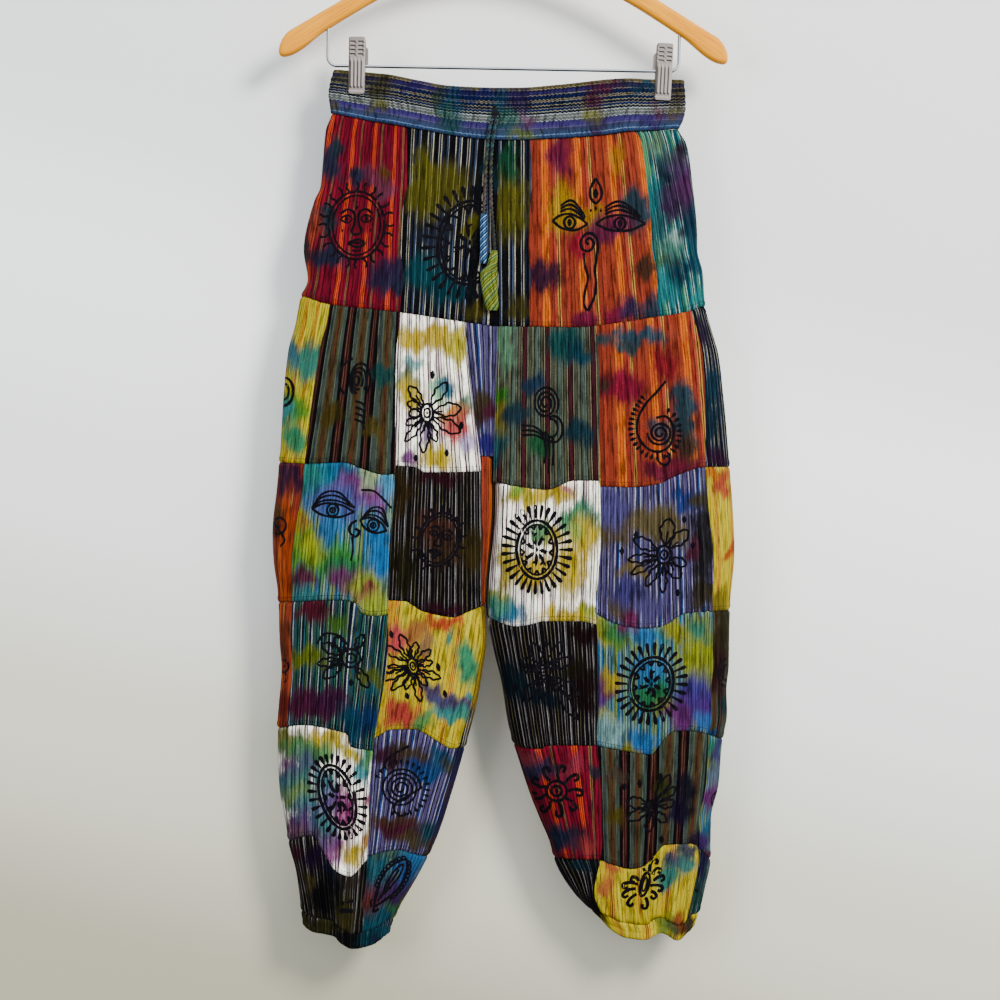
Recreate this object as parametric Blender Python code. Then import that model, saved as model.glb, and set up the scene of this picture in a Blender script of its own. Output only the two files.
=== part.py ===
"""Patchwork harem trousers, hung by the waistband from a wooden clip hanger.

The origin is the seat of the hanger's hook, where the rail goes. +Z is up and the front faces -Y.
Tables are in millimetres: x runs to the right as seen from the front, and drop is the distance
below the hook's seat.
"""

import math

import bmesh
import bpy
import numpy as np
from mathutils import Matrix, Vector

MM = 0.001

# The cloth
CLOTH_WALL = 1.4
BAND_PROUD, BAND_WALL = 0.6, 2.4
CUFF_WALL, CUFF_HEIGHT = 2.4, 15.0
SEAM_GAP = 0.4
BAND_GATHERS, BAND_RELIEF = 80, 0.9
BAND_EVEN_DROP, BAND_MIDDLE_DROP = 230.0, 220.0  # where the gathers are spaced, and where x is read
# The share of the gathers' relief at the band's top, at its three channels and at its foot
BAND_RELIEF_ROWS = [0.6, 1.0, 1.0, 1.0, 0.2]
CLIP_FLAT_WIDTH, CLIP_FLAT_SHARE = 14.0, 1.2  # each clip's jaws press the gathers flat
CUFF_GATHER_RELIEF, TIER_GATHER_RELIEF = 0.8, 1.3
CUFF_RELIEF_ROWS = [1.0, 1.0, 0.6]
TIER_GATHER_START = 0.35  # the share of the ankle tier's height above its gathers

# The hanger
WOOD_THICKNESS, WOOD_EDGE_RADIUS = 12.0, 2.5
BAR_RADIUS, BAR_BEND = 1.6, 9.0
HOOK_WIRE_RADIUS, HOOK_INNER_RADIUS = 1.9, 19.0
FIT_GAP = 0.3
CLIP_WIDTH, CLIP_HEIGHT, CLIP_PLATE, CLIP_TUBE_RADIUS = 16.5, 57.0, 1.2, 4.5
JAW_HALF_GAP = 4.2
BAR_DROP = 189.8
# name, x of its centre on the bar, drop of its top edge, lean in degrees
CLIPS = [("clip_left", -146.0, 161.2, 0.0), ("clip_right", 160.6, 162.3, 2.2)]

# The outline of the body of the garment, and of each leg: (drop, x)
BODY_LEFT = [
    (194, -168), (219, -173), (238, -170.5), (254, -176), (292, -178.5), (311, -180), (325, -186),
    (375, -196), (404, -191.5), (422, -198), (450, -203), (475, -209.5), (528, -214), (587, -216.5),
    (607, -218),
]
BODY_RIGHT = [
    (198, 180), (223, 182.6), (238, 180), (247, 176.5), (261, 184), (299, 191), (350, 197),
    (368, 197.5), (390, 203), (424, 206), (450, 213.5), (473, 220.5), (517, 226.5), (585, 233.5),
    (610, 236),
]
LEFT_LEG_OUTSIDE = [
    (587, -216.5), (607, -218), (656, -222), (684, -220.5), (718, -215.5), (766, -213),
    (793, -210.5), (852, -213.5), (886, -212.5), (926, -209), (947, -204), (967, -200.5),
    (995, -192.5), (1023, -187.5), (1070, -182),
]
LEFT_LEG_INSIDE = [
    (578, -3.2), (630, -2.5), (662, -4), (683, -6.3), (701, -7.8), (722, -8.9), (762, -6.8),
    (793, -10.5), (828, -16), (868, -26.2), (909, -37.5), (956, -52), (977, -61), (1011, -78.7),
    (1026, -88), (1049, -98), (1070, -101),
]
RIGHT_LEG_INSIDE = [
    (578, -1.8), (630, -1.1), (662, -2.6), (683, -4.9), (701, -6.4), (722, -7.5), (738, -5.8),
    (768, 0.1), (805, 9.7), (843, 16.4), (886, 30), (913, 39.6), (938, 50), (959, 59.4),
    (983, 67), (1014, 87.4), (1027, 101.6), (1049, 121), (1060, 123),
]
RIGHT_LEG_OUTSIDE = [
    (585, 233.5), (634, 238), (670, 239.7), (726, 236), (781, 236), (807, 234), (832, 235),
    (855, 231), (901, 228), (935, 221), (978, 220.8), (1008, 215), (1036, 207.5), (1060, 200),
]
BODY_MIDDLE_X = -2.5
EVEN_SAMPLES = 121
# Half the depth of the cloth tube from front to back: (drop, half depth)
HALF_DEPTH = [
    (194, 12.5), (255, 12.5), (300, 17), (425, 24), (510, 27.5), (587, 27.5), (657, 30), (727, 27.5),
    (790, 28.5), (855, 24.5), (910, 24.5), (970, 20), (1010, 18), (1040, 13.5), (1070, 12.5),
]
OUTER_ROUND, INNER_ROUND = 0.42, 0.38  # shares of a leg's width that curve round its two sides
SIDE_POWER = 3.5
# How square the crotch end of a leg's section is: (drop, power)
CROTCH_POWER = [(587, 24), (640, 9), (727, SIDE_POWER)]
PINCH_X, PINCH_WIDTH, PINCH_SHARE = (-146.0, 160.6), 28.0, 0.744
PINCH_FADE = [(250, 1.0), (300, 0.6), (400, 0.0)]
CROTCH_CREASE_WIDTH, CROTCH_CREASE_SHARE = 11.0, 0.25
CROTCH_CREASE_FADE = [(500, 0.0), (587, 1.0)]

FOLD_EASE = 4.0  # a fold rises to its full height over 1 / this of its length at each end
# Soft folds: face, x at the top, drop there, x at the foot, drop there, half width, height
FOLDS = [
    ("front", -140, 262, -158, 410, 13, -2.6),
    ("front", -119, 262, -121, 400, 12, 1.8),
    ("front", 152, 262, 172, 415, 13, -2.8),
    ("front", -50, 470, -30, 588, 14, -2.0),
    ("front", 60, 470, 30, 600, 15, -2.2),
    ("front", -160, 640, -135, 735, 14, 2.4),
    ("front", 150, 640, 175, 738, 16, -2.6),
    ("front", -150, 760, -141, 868, 11, 3.0),
    ("front", 160, 770, 172, 860, 12, 3.0),
    ("front", -168, 885, -162, 975, 11, -3.0),
    ("front", 176, 880, 166, 975, 12, 3.2),
    ("front", 186, 975, 164, 1050, 9, -4.0),
    ("front", -143, 985, -141, 1055, 10, 2.6),
    ("back", -110, 262, -130, 410, 14, -2.4),
    ("back", 120, 262, 138, 415, 14, -2.4),
    ("back", -60, 470, -30, 585, 16, -2.4),
    ("back", 70, 470, 34, 585, 16, -2.4),
    ("back", -130, 640, -120, 735, 15, 2.4),
    ("back", 120, 640, 132, 735, 15, 2.4),
    ("back", -120, 860, -126, 980, 13, -3.0),
    ("back", 140, 860, 150, 980, 13, -3.0),
    ("back", -140, 985, -138, 1050, 10, 2.6),
    ("back", 158, 985, 160, 1045, 10, 2.6),
]

BAND_TOP = [
    (-170, 194), (-137, 196.5), (-83, 205.5), (-53, 210), (-13, 211.2), (17, 210.7), (57, 207),
    (117, 200), (152, 198.4), (182, 198),
]
BAND_FOOT = [
    (-172, 237.5), (-85, 253), (-22, 262), (0, 263), (58, 260), (100, 256.3), (135, 251.2), (178, 247),
]
YOKE_FOOT = [
    (-198, 421.5), (-169, 430), (-135, 433.5), (-98, 437), (-33, 445.5), (0, 449), (73, 448.8),
    (110, 444.6), (147, 438.5), (192, 430), (205, 424.5),
]
# Each seam across the front, strip by strip from left to right, because neighbouring strips of
# patches don't meet level: (x, drop)
SEAT_FOOT = [
    [(-216.5, 587), (-190, 588.4), (-150, 586.7), (-130, 593.3), (-110, 598), (-99.5, 597)],
    [(-99.5, 588.8), (-80, 590), (-70, 595), (-47, 594.4), (-14, 592.9)],
    [(-14, 578.2), (-2.5, 578.2)],
    [(-2.5, 603.5), (17, 606.8), (50, 610), (77, 600.7), (102, 600.3)],
    [(102, 605.9), (133, 606.2), (160, 602.3), (176, 595), (206, 585), (233.5, 584)],
]
THIGH_FOOT = [
    [(-215, 726.8), (-151, 722.7), (-136, 725.5), (-132, 734.4), (-117.5, 738), (-104, 736)],
    [(-104, 721.9), (-87, 722.6), (-72, 731.3), (-59, 735), (-40, 737.8), (-22.6, 731.5), (-7.2, 726)],
    [(-7.2, 738.7), (20, 746), (35.6, 743.5), (48, 740.3), (84, 739.6), (101.5, 742.3)],
    [(101.5, 731.3), (112.6, 738), (131, 744), (148, 745.5), (166, 743), (190, 730), (236, 726.5)],
]
KNEE_FOOT = [
    [(-213.5, 851.8), (-186, 847.4), (-155, 851.8), (-143, 855), (-137, 868), (-115.3, 871.2)],
    [(-115.3, 859), (-100, 850), (-78.5, 849.5), (-61.4, 856), (-47.3, 864), (-35, 868.7), (-26, 868)],
    [(0, 862), (30, 866.6), (47.4, 866.8), (53.7, 863.2), (104.5, 862.3)],
    [(104.5, 862.3), (130, 867), (159, 870.3), (166, 861), (179.5, 847), (195, 846.2), (231.4, 855)],
]
CALF_FOOT = [
    [(-200.5, 964.6), (-175, 957.3), (-163, 977), (-154, 991.8), (-140, 997), (-121, 980.2)],
    [(-121, 976.7), (-102, 971), (-91, 969.7), (-76, 973.5), (-61.3, 977.2)],
    [(0, 971), (62, 971), (110.5, 973.7)],
    [(110.5, 976.2), (141, 984.7), (154, 981.4), (163, 971), (173, 960), (200, 958.6), (221, 975)],
]
HEM_LEFT = [
    (-183.5, 1049.3), (-179, 1053), (-153, 1058), (-146, 1065), (-134, 1070), (-114, 1066), (-99, 1056),
]
HEM_RIGHT = [
    (115, 1043), (125, 1049), (135, 1054), (157, 1056), (172, 1049), (190, 1056.4), (202, 1045),
]
STRIP_REACH = 6.0  # a strip's line counts as a leg's own when its middle is this near the leg
BACK_TURN_SHARE = 0.7  # the share of the half depth within which a seam turns from front to back
# How far each seam sags on the back
BACK_SAG = {"seat": 6.0, "thigh": 9.0, "knee": 11.0, "calf": 12.0, "cuff": 7.0, "hem": 7.0}
BACK_CROTCH_DROP = 588.0

# Where the lengthwise seams lie at each level, as x on the front or the back of the ring, or as a
# ring position (0 is the left edge, 3 the right edge), with the columns of the mesh up to the next
BODY_KEYS = [
    # key, face, x at waist, yoke foot, seat foot, columns
    ("middle_back", "back", (BODY_MIDDLE_X, BODY_MIDDLE_X, BODY_MIDDLE_X), 7),
    ("back_left", "back", (-128, -142, -150), 2),
    ("side_left", "ring", (0, 0, 0), 2),
    ("a", "front", (None, -168.5, -190), 5),
    ("b", "front", (-94, -97.7, -99.5), 5),
    ("c", "front", (None, -32, -14), 1),
    ("d", "front", (-6.8, -1.5, BODY_MIDDLE_X), 2),
    ("e_yoke", "front", (26.2, None, None), 4),
    ("e", "front", (None, 94.4, 102), 4),
    ("f_yoke", "front", (134, None, None), 2),
    ("f", "front", (None, 193.5, 208), 2),
    ("side_right", "ring", (3, 3, 3), 2),
    ("back_right", "back", (135, 148, 168), 7),
    ("middle_end", "back", (BODY_MIDDLE_X, BODY_MIDDLE_X, BODY_MIDDLE_X), 0),
]
LEFT_LEG_KEYS = [
    # key, face, x at seat foot, thigh foot, knee foot, calf foot and cuff, columns
    ("back_left", "back", (-150, -150, -152, -148, -154), 2),
    ("side_left", "ring", (0, 0, 0, 0, 0), 2),
    ("a", "front", (-190, -201.5, -203.5, -197.5, -183.5), 5),
    ("b", "front", (-99.5, -104, -115.3, -121, -123.5), 5),
    ("c", "front", (-14, -11, -29, -64, -98), 1),
    ("crotch_front", "ring", (2.88, 2.92, 2.92, 2.92, 2.92), 1),
    ("inseam", "ring", (3, 3, 3, 3, 3), 1),
    ("crotch_back", "ring", (3.12, 3.12, 3.12, 3.12, 3.12), 7),
    ("back_end", "back", (-150, -150, -152, -148, -154), 0),
]
RIGHT_LEG_KEYS = [
    ("back_right", "back", (168, 172, 172, 172, 178), 7),
    ("crotch_back", "ring", (-0.12, -0.12, -0.12, -0.12, -0.12), 1),
    ("inseam", "ring", (0, 0, 0, 0, 0), 1),
    ("d", "ring", (0.06, 0.12, 0.12, 0.12, 0.12), 6),
    ("e", "front", (102, 101.5, 104.5, 110.5, 121), 6),
    ("f", "front", (208, 217.3, 215.6, 208.5, 196.5), 2),
    ("side_right", "ring", (3, 3, 3, 3, 3), 2),
    ("back_end", "back", (168, 172, 172, 172, 178), 0),
]
BODY_LEVELS = ("waist", "yoke", "seat")
LEG_LEVELS = ("seat", "thigh", "knee", "calf", "cuff")
LEVEL_DROP = {
    "waist": 250, "yoke": 437, "seat": 590, "thigh": 732,
    "knee": 858, "calf": 974, "cuff": 1042, "hem": 1052,
}
STRAIGHT_BELOW_SEAT = 22  # the legs' strips first run straight down this far

# Each fabric's ground colour (linear RGB)
FABRICS = {
    "red": (0.30, 0.012, 0.03), "black": (0.012, 0.014, 0.022), "orange": (0.52, 0.10, 0.03),
    "teal": (0.03, 0.20, 0.19), "lemon": (0.80, 0.62, 0.05), "brown": (0.12, 0.08, 0.035),
    "white": (0.80, 0.76, 0.66), "violet": (0.07, 0.06, 0.32), "sky": (0.10, 0.33, 0.42),
    "green": (0.06, 0.09, 0.05), "band": (0.06, 0.09, 0.18), "cord": (0.05, 0.22, 0.20),
}
# name, ring, upper level, first key, last key, rows, fabric
PATCHES = [
    ("yoke_red", "body", 0, "back_left", "b", 5, "red"),
    ("yoke_black_left", "body", 0, "b", "d", 5, "black"),
    ("yoke_black_right", "body", 0, "d", "e_yoke", 5, "black"),
    ("yoke_orange", "body", 0, "e_yoke", "f_yoke", 5, "orange"),
    ("yoke_teal", "body", 0, "f_yoke", "back_right", 5, "teal"),
    ("yoke_back_right", "body", 0, "back_right", "middle_end", 5, "violet"),
    ("yoke_back_left", "body", 0, "middle_back", "back_left", 5, "green"),
    ("seat_side_left", "body", 1, "back_left", "a", 5, "lemon"),
    ("seat_brown", "body", 1, "a", "b", 5, "brown"),
    ("seat_white", "body", 1, "b", "c", 5, "white"),
    ("seat_violet", "body", 1, "c", "d", 5, "violet"),
    ("seat_green", "body", 1, "d", "e", 5, "green"),
    ("seat_orange", "body", 1, "e", "f", 5, "orange"),
    ("seat_side_right", "body", 1, "f", "back_right", 5, "teal"),
    ("seat_back_right", "body", 1, "back_right", "middle_end", 5, "red"),
    ("seat_back_left", "body", 1, "middle_back", "back_left", 5, "brown"),
    ("thigh_left_side", "left_leg", 0, "back_left", "a", 5, "orange"),
    ("thigh_left_outer", "left_leg", 0, "a", "b", 5, "sky"),
    ("thigh_left_inner", "left_leg", 0, "b", "c", 5, "black"),
    ("thigh_left_back", "left_leg", 0, "c", "back_end", 5, "orange"),
    ("thigh_right_back", "right_leg", 0, "back_right", "d", 5, "green"),
    ("thigh_right_inner", "right_leg", 0, "d", "e", 5, "white"),
    ("thigh_right_outer", "right_leg", 0, "e", "f", 5, "violet"),
    ("thigh_right_side", "right_leg", 0, "f", "back_end", 5, "lemon"),
    ("knee_left_side", "left_leg", 1, "back_left", "a", 4, "orange"),
    ("knee_left_outer", "left_leg", 1, "a", "b", 4, "teal"),
    ("knee_left_inner", "left_leg", 1, "b", "c", 4, "lemon"),
    ("knee_left_back", "left_leg", 1, "c", "back_end", 4, "black"),
    ("knee_right_back", "right_leg", 1, "back_right", "d", 4, "white"),
    ("knee_right_inner", "right_leg", 1, "d", "e", 4, "black"),
    ("knee_right_outer", "right_leg", 1, "e", "f", 4, "sky"),
    ("knee_right_side", "right_leg", 1, "f", "back_end", 4, "brown"),
    ("calf_left_side", "left_leg", 2, "back_left", "a", 4, "white"),
    ("calf_left_outer", "left_leg", 2, "a", "b", 4, "white"),
    ("calf_left_inner", "left_leg", 2, "b", "c", 4, "violet"),
    ("calf_left_back", "left_leg", 2, "c", "back_end", 4, "brown"),
    ("calf_right_back", "right_leg", 2, "back_right", "d", 4, "orange"),
    ("calf_right_inner", "right_leg", 2, "d", "e", 4, "red"),
    ("calf_right_outer", "right_leg", 2, "e", "f", 4, "brown"),
    ("calf_right_side", "right_leg", 2, "f", "back_end", 4, "sky"),
    ("ankle_left_side", "left_leg", 3, "back_left", "a", 4, "violet"),
    ("ankle_left_outer", "left_leg", 3, "a", "b", 4, "black"),
    ("ankle_left_inner", "left_leg", 3, "b", "c", 4, "teal"),
    ("ankle_left_back", "left_leg", 3, "c", "back_end", 4, "lemon"),
    ("ankle_right_back", "right_leg", 3, "back_right", "d", 4, "violet"),
    ("ankle_right_inner", "right_leg", 3, "d", "e", 4, "black"),
    ("ankle_right_outer", "right_leg", 3, "e", "f", 4, "lemon"),
    ("ankle_right_side", "right_leg", 3, "f", "back_end", 4, "teal"),
]

# The drawstring: each end's route down the front from the buttonhole, as (x, drop, lift off the cloth)
CORD_RADIUS = 2.0
CORD_SHORT = [
    (-9.6, 243, 0.0), (-12.4, 253, 1.5), (-14.0, 266, 0.6), (-15.2, 290, 0.3), (-15.9, 320, 0.3),
    (-16.4, 338, 0.6),
]
CORD_LONG = [
    (-5.2, 243, 0.0), (-7.4, 253, 1.5), (-9.2, 268, 0.6), (-10.2, 292, 0.3), (-9.4, 325, 0.3),
    (-7.0, 352, 0.4), (-5.2, 374, 1.0),
]
# The rolled cloth tips: (drop, x of the middle, half width, half depth)
TIP_SHORT = [
    (338.5, -16.4, 2.6, 2.6), (343, -16.4, 3.5, 3.2), (365, -16.2, 3.6, 3.2), (385, -16, 3.4, 3.0),
    (388, -16, 2.6, 2.2),
]
TIP_LONG = [
    (374.5, -5.2, 2.8, 2.6), (380, -6.0, 4.2, 3.2), (389, -7.2, 5.2, 3.6), (398, -10.4, 8.6, 3.6),
    (415, -9.2, 8.0, 3.6), (430, -6.8, 6.6, 3.2), (434, -6.6, 5.2, 2.4),
]
TIP_SIDES = 10
CORD_SPACING = 10.0
# Over the band's foot the strings come back to the cloth, ending this far below it, over this length
BAND_STEP_FOOT, BAND_STEP_LENGTH = 6.0, 8.0


def curve(rows):
    """A smooth curve through rows of (position, value) that never overshoots them."""
    at, value = (np.array(column, float) for column in zip(*rows))
    step = np.diff(at)
    rise = np.diff(value) / step
    slope = np.concatenate([rise[:1], np.zeros(len(rise) - 1), rise[-1:]])
    for i in range(1, len(rise)):
        if rise[i - 1] * rise[i] > 0:
            near, far = 2 * step[i] + step[i - 1], step[i] + 2 * step[i - 1]
            slope[i] = (near + far) / (near / rise[i - 1] + far / rise[i])

    def read(position):
        p = np.clip(position, at[0], at[-1])
        i = np.clip(np.searchsorted(at, p, "right") - 1, 0, len(step) - 1)
        h, t = step[i], (p - at[i]) / step[i]
        start = (1 + 2 * t) * (1 - t) ** 2 * value[i] + t * (1 - t) ** 2 * h * slope[i]
        end = t * t * (3 - 2 * t) * value[i + 1] + t * t * (t - 1) * h * slope[i + 1]
        return start + end

    return read


def eased(t):
    t = np.clip(t, 0, 1)
    return t * t * (3 - 2 * t)


HALF_DEPTH_AT, CROTCH_POWER_AT = curve(HALF_DEPTH), curve(CROTCH_POWER)
PINCH_AT, CREASE_AT = curve(PINCH_FADE), curve(CROTCH_CREASE_FADE)
EDGES = {
    "body": (curve(BODY_LEFT), curve(BODY_RIGHT)),
    "left_leg": (curve(LEFT_LEG_OUTSIDE), curve(LEFT_LEG_INSIDE)),
    "right_leg": (curve(RIGHT_LEG_INSIDE), curve(RIGHT_LEG_OUTSIDE)),
}


def side_shapes(ring, drop):
    """The left and right edges of a ring, how far each side's round reaches, and how square it is."""
    left, right = (edge(drop) for edge in EDGES[ring])
    if ring == "body":
        reach = OUTER_ROUND * (BODY_MIDDLE_X - left), OUTER_ROUND * (right - BODY_MIDDLE_X)
        return left, right, reach, (SIDE_POWER, SIDE_POWER)
    crotch = CROTCH_POWER_AT(drop)
    if ring == "left_leg":
        reach = OUTER_ROUND * (right - left), INNER_ROUND * (right - left)
        return left, right, reach, (SIDE_POWER, crotch)
    reach = INNER_ROUND * (right - left), OUTER_ROUND * (right - left)
    return left, right, reach, (crotch, SIDE_POWER)


def folded(x, drop, back):
    """How far the soft folds lift the cloth at a place on the front or the back."""
    lift = 0.0
    for face, top_x, top, foot_x, foot, width, height in FOLDS:
        along = (drop - top) / (foot - top)
        across = (x - (top_x + (foot_x - top_x) * along)) / width
        ends = eased(along * FOLD_EASE + 0.5) * eased((1 - along) * FOLD_EASE + 0.5)
        on_face = back if face == "back" else 1 - back
        lift = lift + height * np.exp(-across * across) * ends * on_face
    return lift


def ring_point(ring, u, drop):
    """x and y on a ring. u runs 0 to 3 along the front, left to right, and 3 to 6 along the back."""
    u = np.mod(u, 6.0)
    back = (u > 3).astype(float)
    v = np.where(u > 3, 6 - u, u)
    left, right, (reach_left, reach_right), (power_left, power_right) = side_shapes(ring, drop)
    turn = np.where(v < 1.5, np.minimum(v, 1), np.minimum(3 - v, 1)) * math.pi / 2
    power = np.where(v < 1.5, power_left, power_right)
    lean = np.cos(turn)
    middle = np.clip(v - 1, 0, 1)
    flat_x = (left + reach_left) * (1 - middle) + (right - reach_right) * middle
    x = flat_x - np.where(v < 1.5, reach_left, -reach_right) * lean
    shape = np.sqrt(np.maximum(1 - lean**power, 0))
    depth = HALF_DEPTH_AT(drop)
    if ring == "body":
        pinch = sum(np.exp(-(((x - clip) / PINCH_WIDTH) ** 4)) for clip in PINCH_X)
        depth = depth * (1 - PINCH_SHARE * PINCH_AT(drop) * np.minimum(pinch, 1))
        crease = np.exp(-(((x - BODY_MIDDLE_X) / CROTCH_CREASE_WIDTH) ** 2))
        depth = depth * (1 - CROTCH_CREASE_SHARE * CREASE_AT(drop) * crease)
    depth = depth + folded(x, drop, back) * shape
    return x, np.where(u > 3, 1, -1) * depth * shape


def ring_frame(ring, u, drop):
    """x, y, the outward normal's two parts and the speed along the ring, at one height."""
    step = 1e-3
    x, y = ring_point(ring, u, drop)
    x1, y1 = ring_point(ring, u + step, drop)
    x0, y0 = ring_point(ring, u - step, drop)
    tx, ty = (x1 - x0) / (2 * step), (y1 - y0) / (2 * step)
    speed = np.hypot(tx, ty)
    return x, y, ty / speed, -tx / speed, speed


def ring_position(ring, face, value, drop):
    """The ring position of an x on the front or the back, or the position itself."""
    if face == "ring":
        return value
    left, right, (reach_left, reach_right), _ = side_shapes(ring, drop)
    if value < left + reach_left:
        v = math.acos(min(1.0, (left + reach_left - value) / reach_left)) * 2 / math.pi
    elif value > right - reach_right:
        v = 3 - math.acos(min(1.0, (value - right + reach_right) / reach_right)) * 2 / math.pi
    else:
        v = 1 + (value - left - reach_left) / (right - reach_right - left - reach_left)
    return v if face == "front" else 6 - v


def evenly(ring, start, end, columns, drop):
    """Ring positions from start to end, evenly spaced along the cloth, or across the front."""
    u = np.linspace(start, end, EVEN_SAMPLES)
    x, y = ring_point(ring, u, np.full_like(u, drop))
    across_front = 0 < start % 6 < end % 6 < 3
    steps = np.abs(np.diff(x)) if across_front else np.hypot(np.diff(x), np.diff(y))
    run = np.concatenate([[0], np.cumsum(steps)])
    return np.interp(np.linspace(0, run[-1], columns + 1), run, u)


def ring_columns(ring, keys, levels):
    """The ring position of every mesh column at each level, and the column where each key lies."""
    table, where = [], {}
    for level, name in enumerate(levels):
        drop = LEVEL_DROP[name]
        known, column = [], 0
        for key, face, places, count in keys:
            where[key] = column
            if places[level] is not None:
                u = ring_position(ring, face, places[level], drop)
                while known and u < known[-1][1]:
                    u += 6
                known.append((column, u))
            column += count
        row = [np.array([known[0][1]])]
        for (c0, u0), (c1, u1) in zip(known, known[1:]):
            row.append(evenly(ring, u0, u1, c1 - c0, drop)[1:])
        table.append(np.concatenate(row))
    return np.array(table), where


def seam_drop(level, ring, u, front_x):
    """The drop of a seam at ring positions. front_x says which strip's own line it follows."""
    x, y = ring_point(ring, u, np.full_like(u, float(LEVEL_DROP[level])))
    left, right = (float(edge(LEVEL_DROP[level])) for edge in EDGES[ring])
    if level == "waist":
        return curve(BAND_FOOT)(x)
    if level == "yoke":
        return curve(YOKE_FOOT)(x)
    if level in ("hem", "cuff"):
        rows = HEM_LEFT if ring == "left_leg" else HEM_RIGHT
        rise = CUFF_HEIGHT if level == "cuff" else 0.0
        strips = [[(place, drop - rise) for place, drop in rows]]
    else:
        strips = {"seat": SEAT_FOOT, "thigh": THIGH_FOOT, "knee": KNEE_FOOT, "calf": CALF_FOOT}[level]
        middles = [(strip[0][0] + strip[-1][0]) / 2 for strip in strips]
        strips = [
            strip for strip, middle in zip(strips, middles)
            if left - STRIP_REACH < middle < right + STRIP_REACH
        ]
    own = min(strips, key=lambda s: max(s[0][0] - front_x, front_x - s[-1][0], 0))
    front = curve(own)(x)
    outer, inner = strips[0][0][1], strips[-1][-1][1]
    if level == "seat" and ring == "left_leg":
        inner = BACK_CROTCH_DROP
    if level == "seat" and ring == "right_leg":
        outer = BACK_CROTCH_DROP
    if level == "seat" and ring == "body":
        on_left = x < BODY_MIDDLE_X
        left_share = (x - left) / (BODY_MIDDLE_X - left)
        right_share = (x - BODY_MIDDLE_X) / (right - BODY_MIDDLE_X)
        half = np.where(on_left, left_share, right_share)
        ends = np.where(on_left, outer, BACK_CROTCH_DROP), np.where(on_left, BACK_CROTCH_DROP, inner)
    else:
        half, ends = (x - left) / (right - left), (outer, inner)
    half = np.clip(half, 0, 1)
    rear = ends[0] + (ends[1] - ends[0]) * half + BACK_SAG[level] * np.sin(math.pi * half)
    depth = float(HALF_DEPTH_AT(LEVEL_DROP[level]))
    turned = eased((y / (BACK_TURN_SHARE * depth) + 1) / 2)
    return front * (1 - turned) + rear * turned


COLUMNS = {
    ring: (*ring_columns(ring, keys, levels), levels)
    for ring, keys, levels in (
        ("body", BODY_KEYS, BODY_LEVELS),
        ("left_leg", LEFT_LEG_KEYS, LEG_LEVELS),
        ("right_leg", RIGHT_LEG_KEYS, LEG_LEVELS),
    )
}


def material(name, color, roughness=0.8, metallic=0.0):
    made = bpy.data.materials.new(name)
    made.use_nodes = True
    shader = made.node_tree.nodes["Principled BSDF"]
    shader.inputs["Base Color"].default_value = (*color, 1)
    shader.inputs["Roughness"].default_value = roughness
    shader.inputs["Metallic"].default_value = metallic
    made.diffuse_color = (*color, 1)
    return made


def placed(name, mesh, collection, color, roughness=0.8, metallic=0.0):
    obj = bpy.data.objects.new(name, mesh)
    collection.objects.link(obj)
    mesh.materials.clear()
    mesh.materials.append(material(name, color, roughness, metallic))
    mesh.shade_smooth()
    mesh.set_sharp_from_angle(angle=math.radians(40))
    return obj


def wall_mesh(name, outer, inner, closed):
    """A wall between two grids of points (rows, columns, 3), in millimetres."""
    rows, columns = outer.shape[:2]
    mesh = bpy.data.meshes.new(name)
    shape = bmesh.new()
    out, into = (
        [[shape.verts.new(Vector(point) * MM) for point in row] for row in grid] for grid in (outer, inner)
    )
    spans = [(c, (c + 1) % columns) for c in range(columns if closed else columns - 1)]
    for r in range(rows - 1):
        for c, d in spans:
            shape.faces.new((out[r][c], out[r + 1][c], out[r + 1][d], out[r][d]))
            shape.faces.new((into[r][c], into[r][d], into[r + 1][d], into[r + 1][c]))
        if not closed:
            shape.faces.new((out[r][0], into[r][0], into[r + 1][0], out[r + 1][0]))
            shape.faces.new((out[r][-1], out[r + 1][-1], into[r + 1][-1], into[r][-1]))
    for c, d in spans:
        shape.faces.new((out[0][c], out[0][d], into[0][d], into[0][c]))
        shape.faces.new((out[-1][c], into[-1][c], into[-1][d], out[-1][d]))
    shape.to_mesh(mesh)
    shape.free()
    return mesh


def columns_at(table, levels, drop):
    """The ring positions of the mesh columns, each at its own drop."""
    at = [LEVEL_DROP[name] for name in levels]
    if levels == LEG_LEVELS:
        at.insert(1, at[0] + STRAIGHT_BELOW_SEAT)
        table = np.insert(table, 1, table[0], axis=0)
    return np.stack([curve(list(zip(at, table[:, c])))(drop[:, c]) for c in range(drop.shape[1])], 1)


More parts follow.
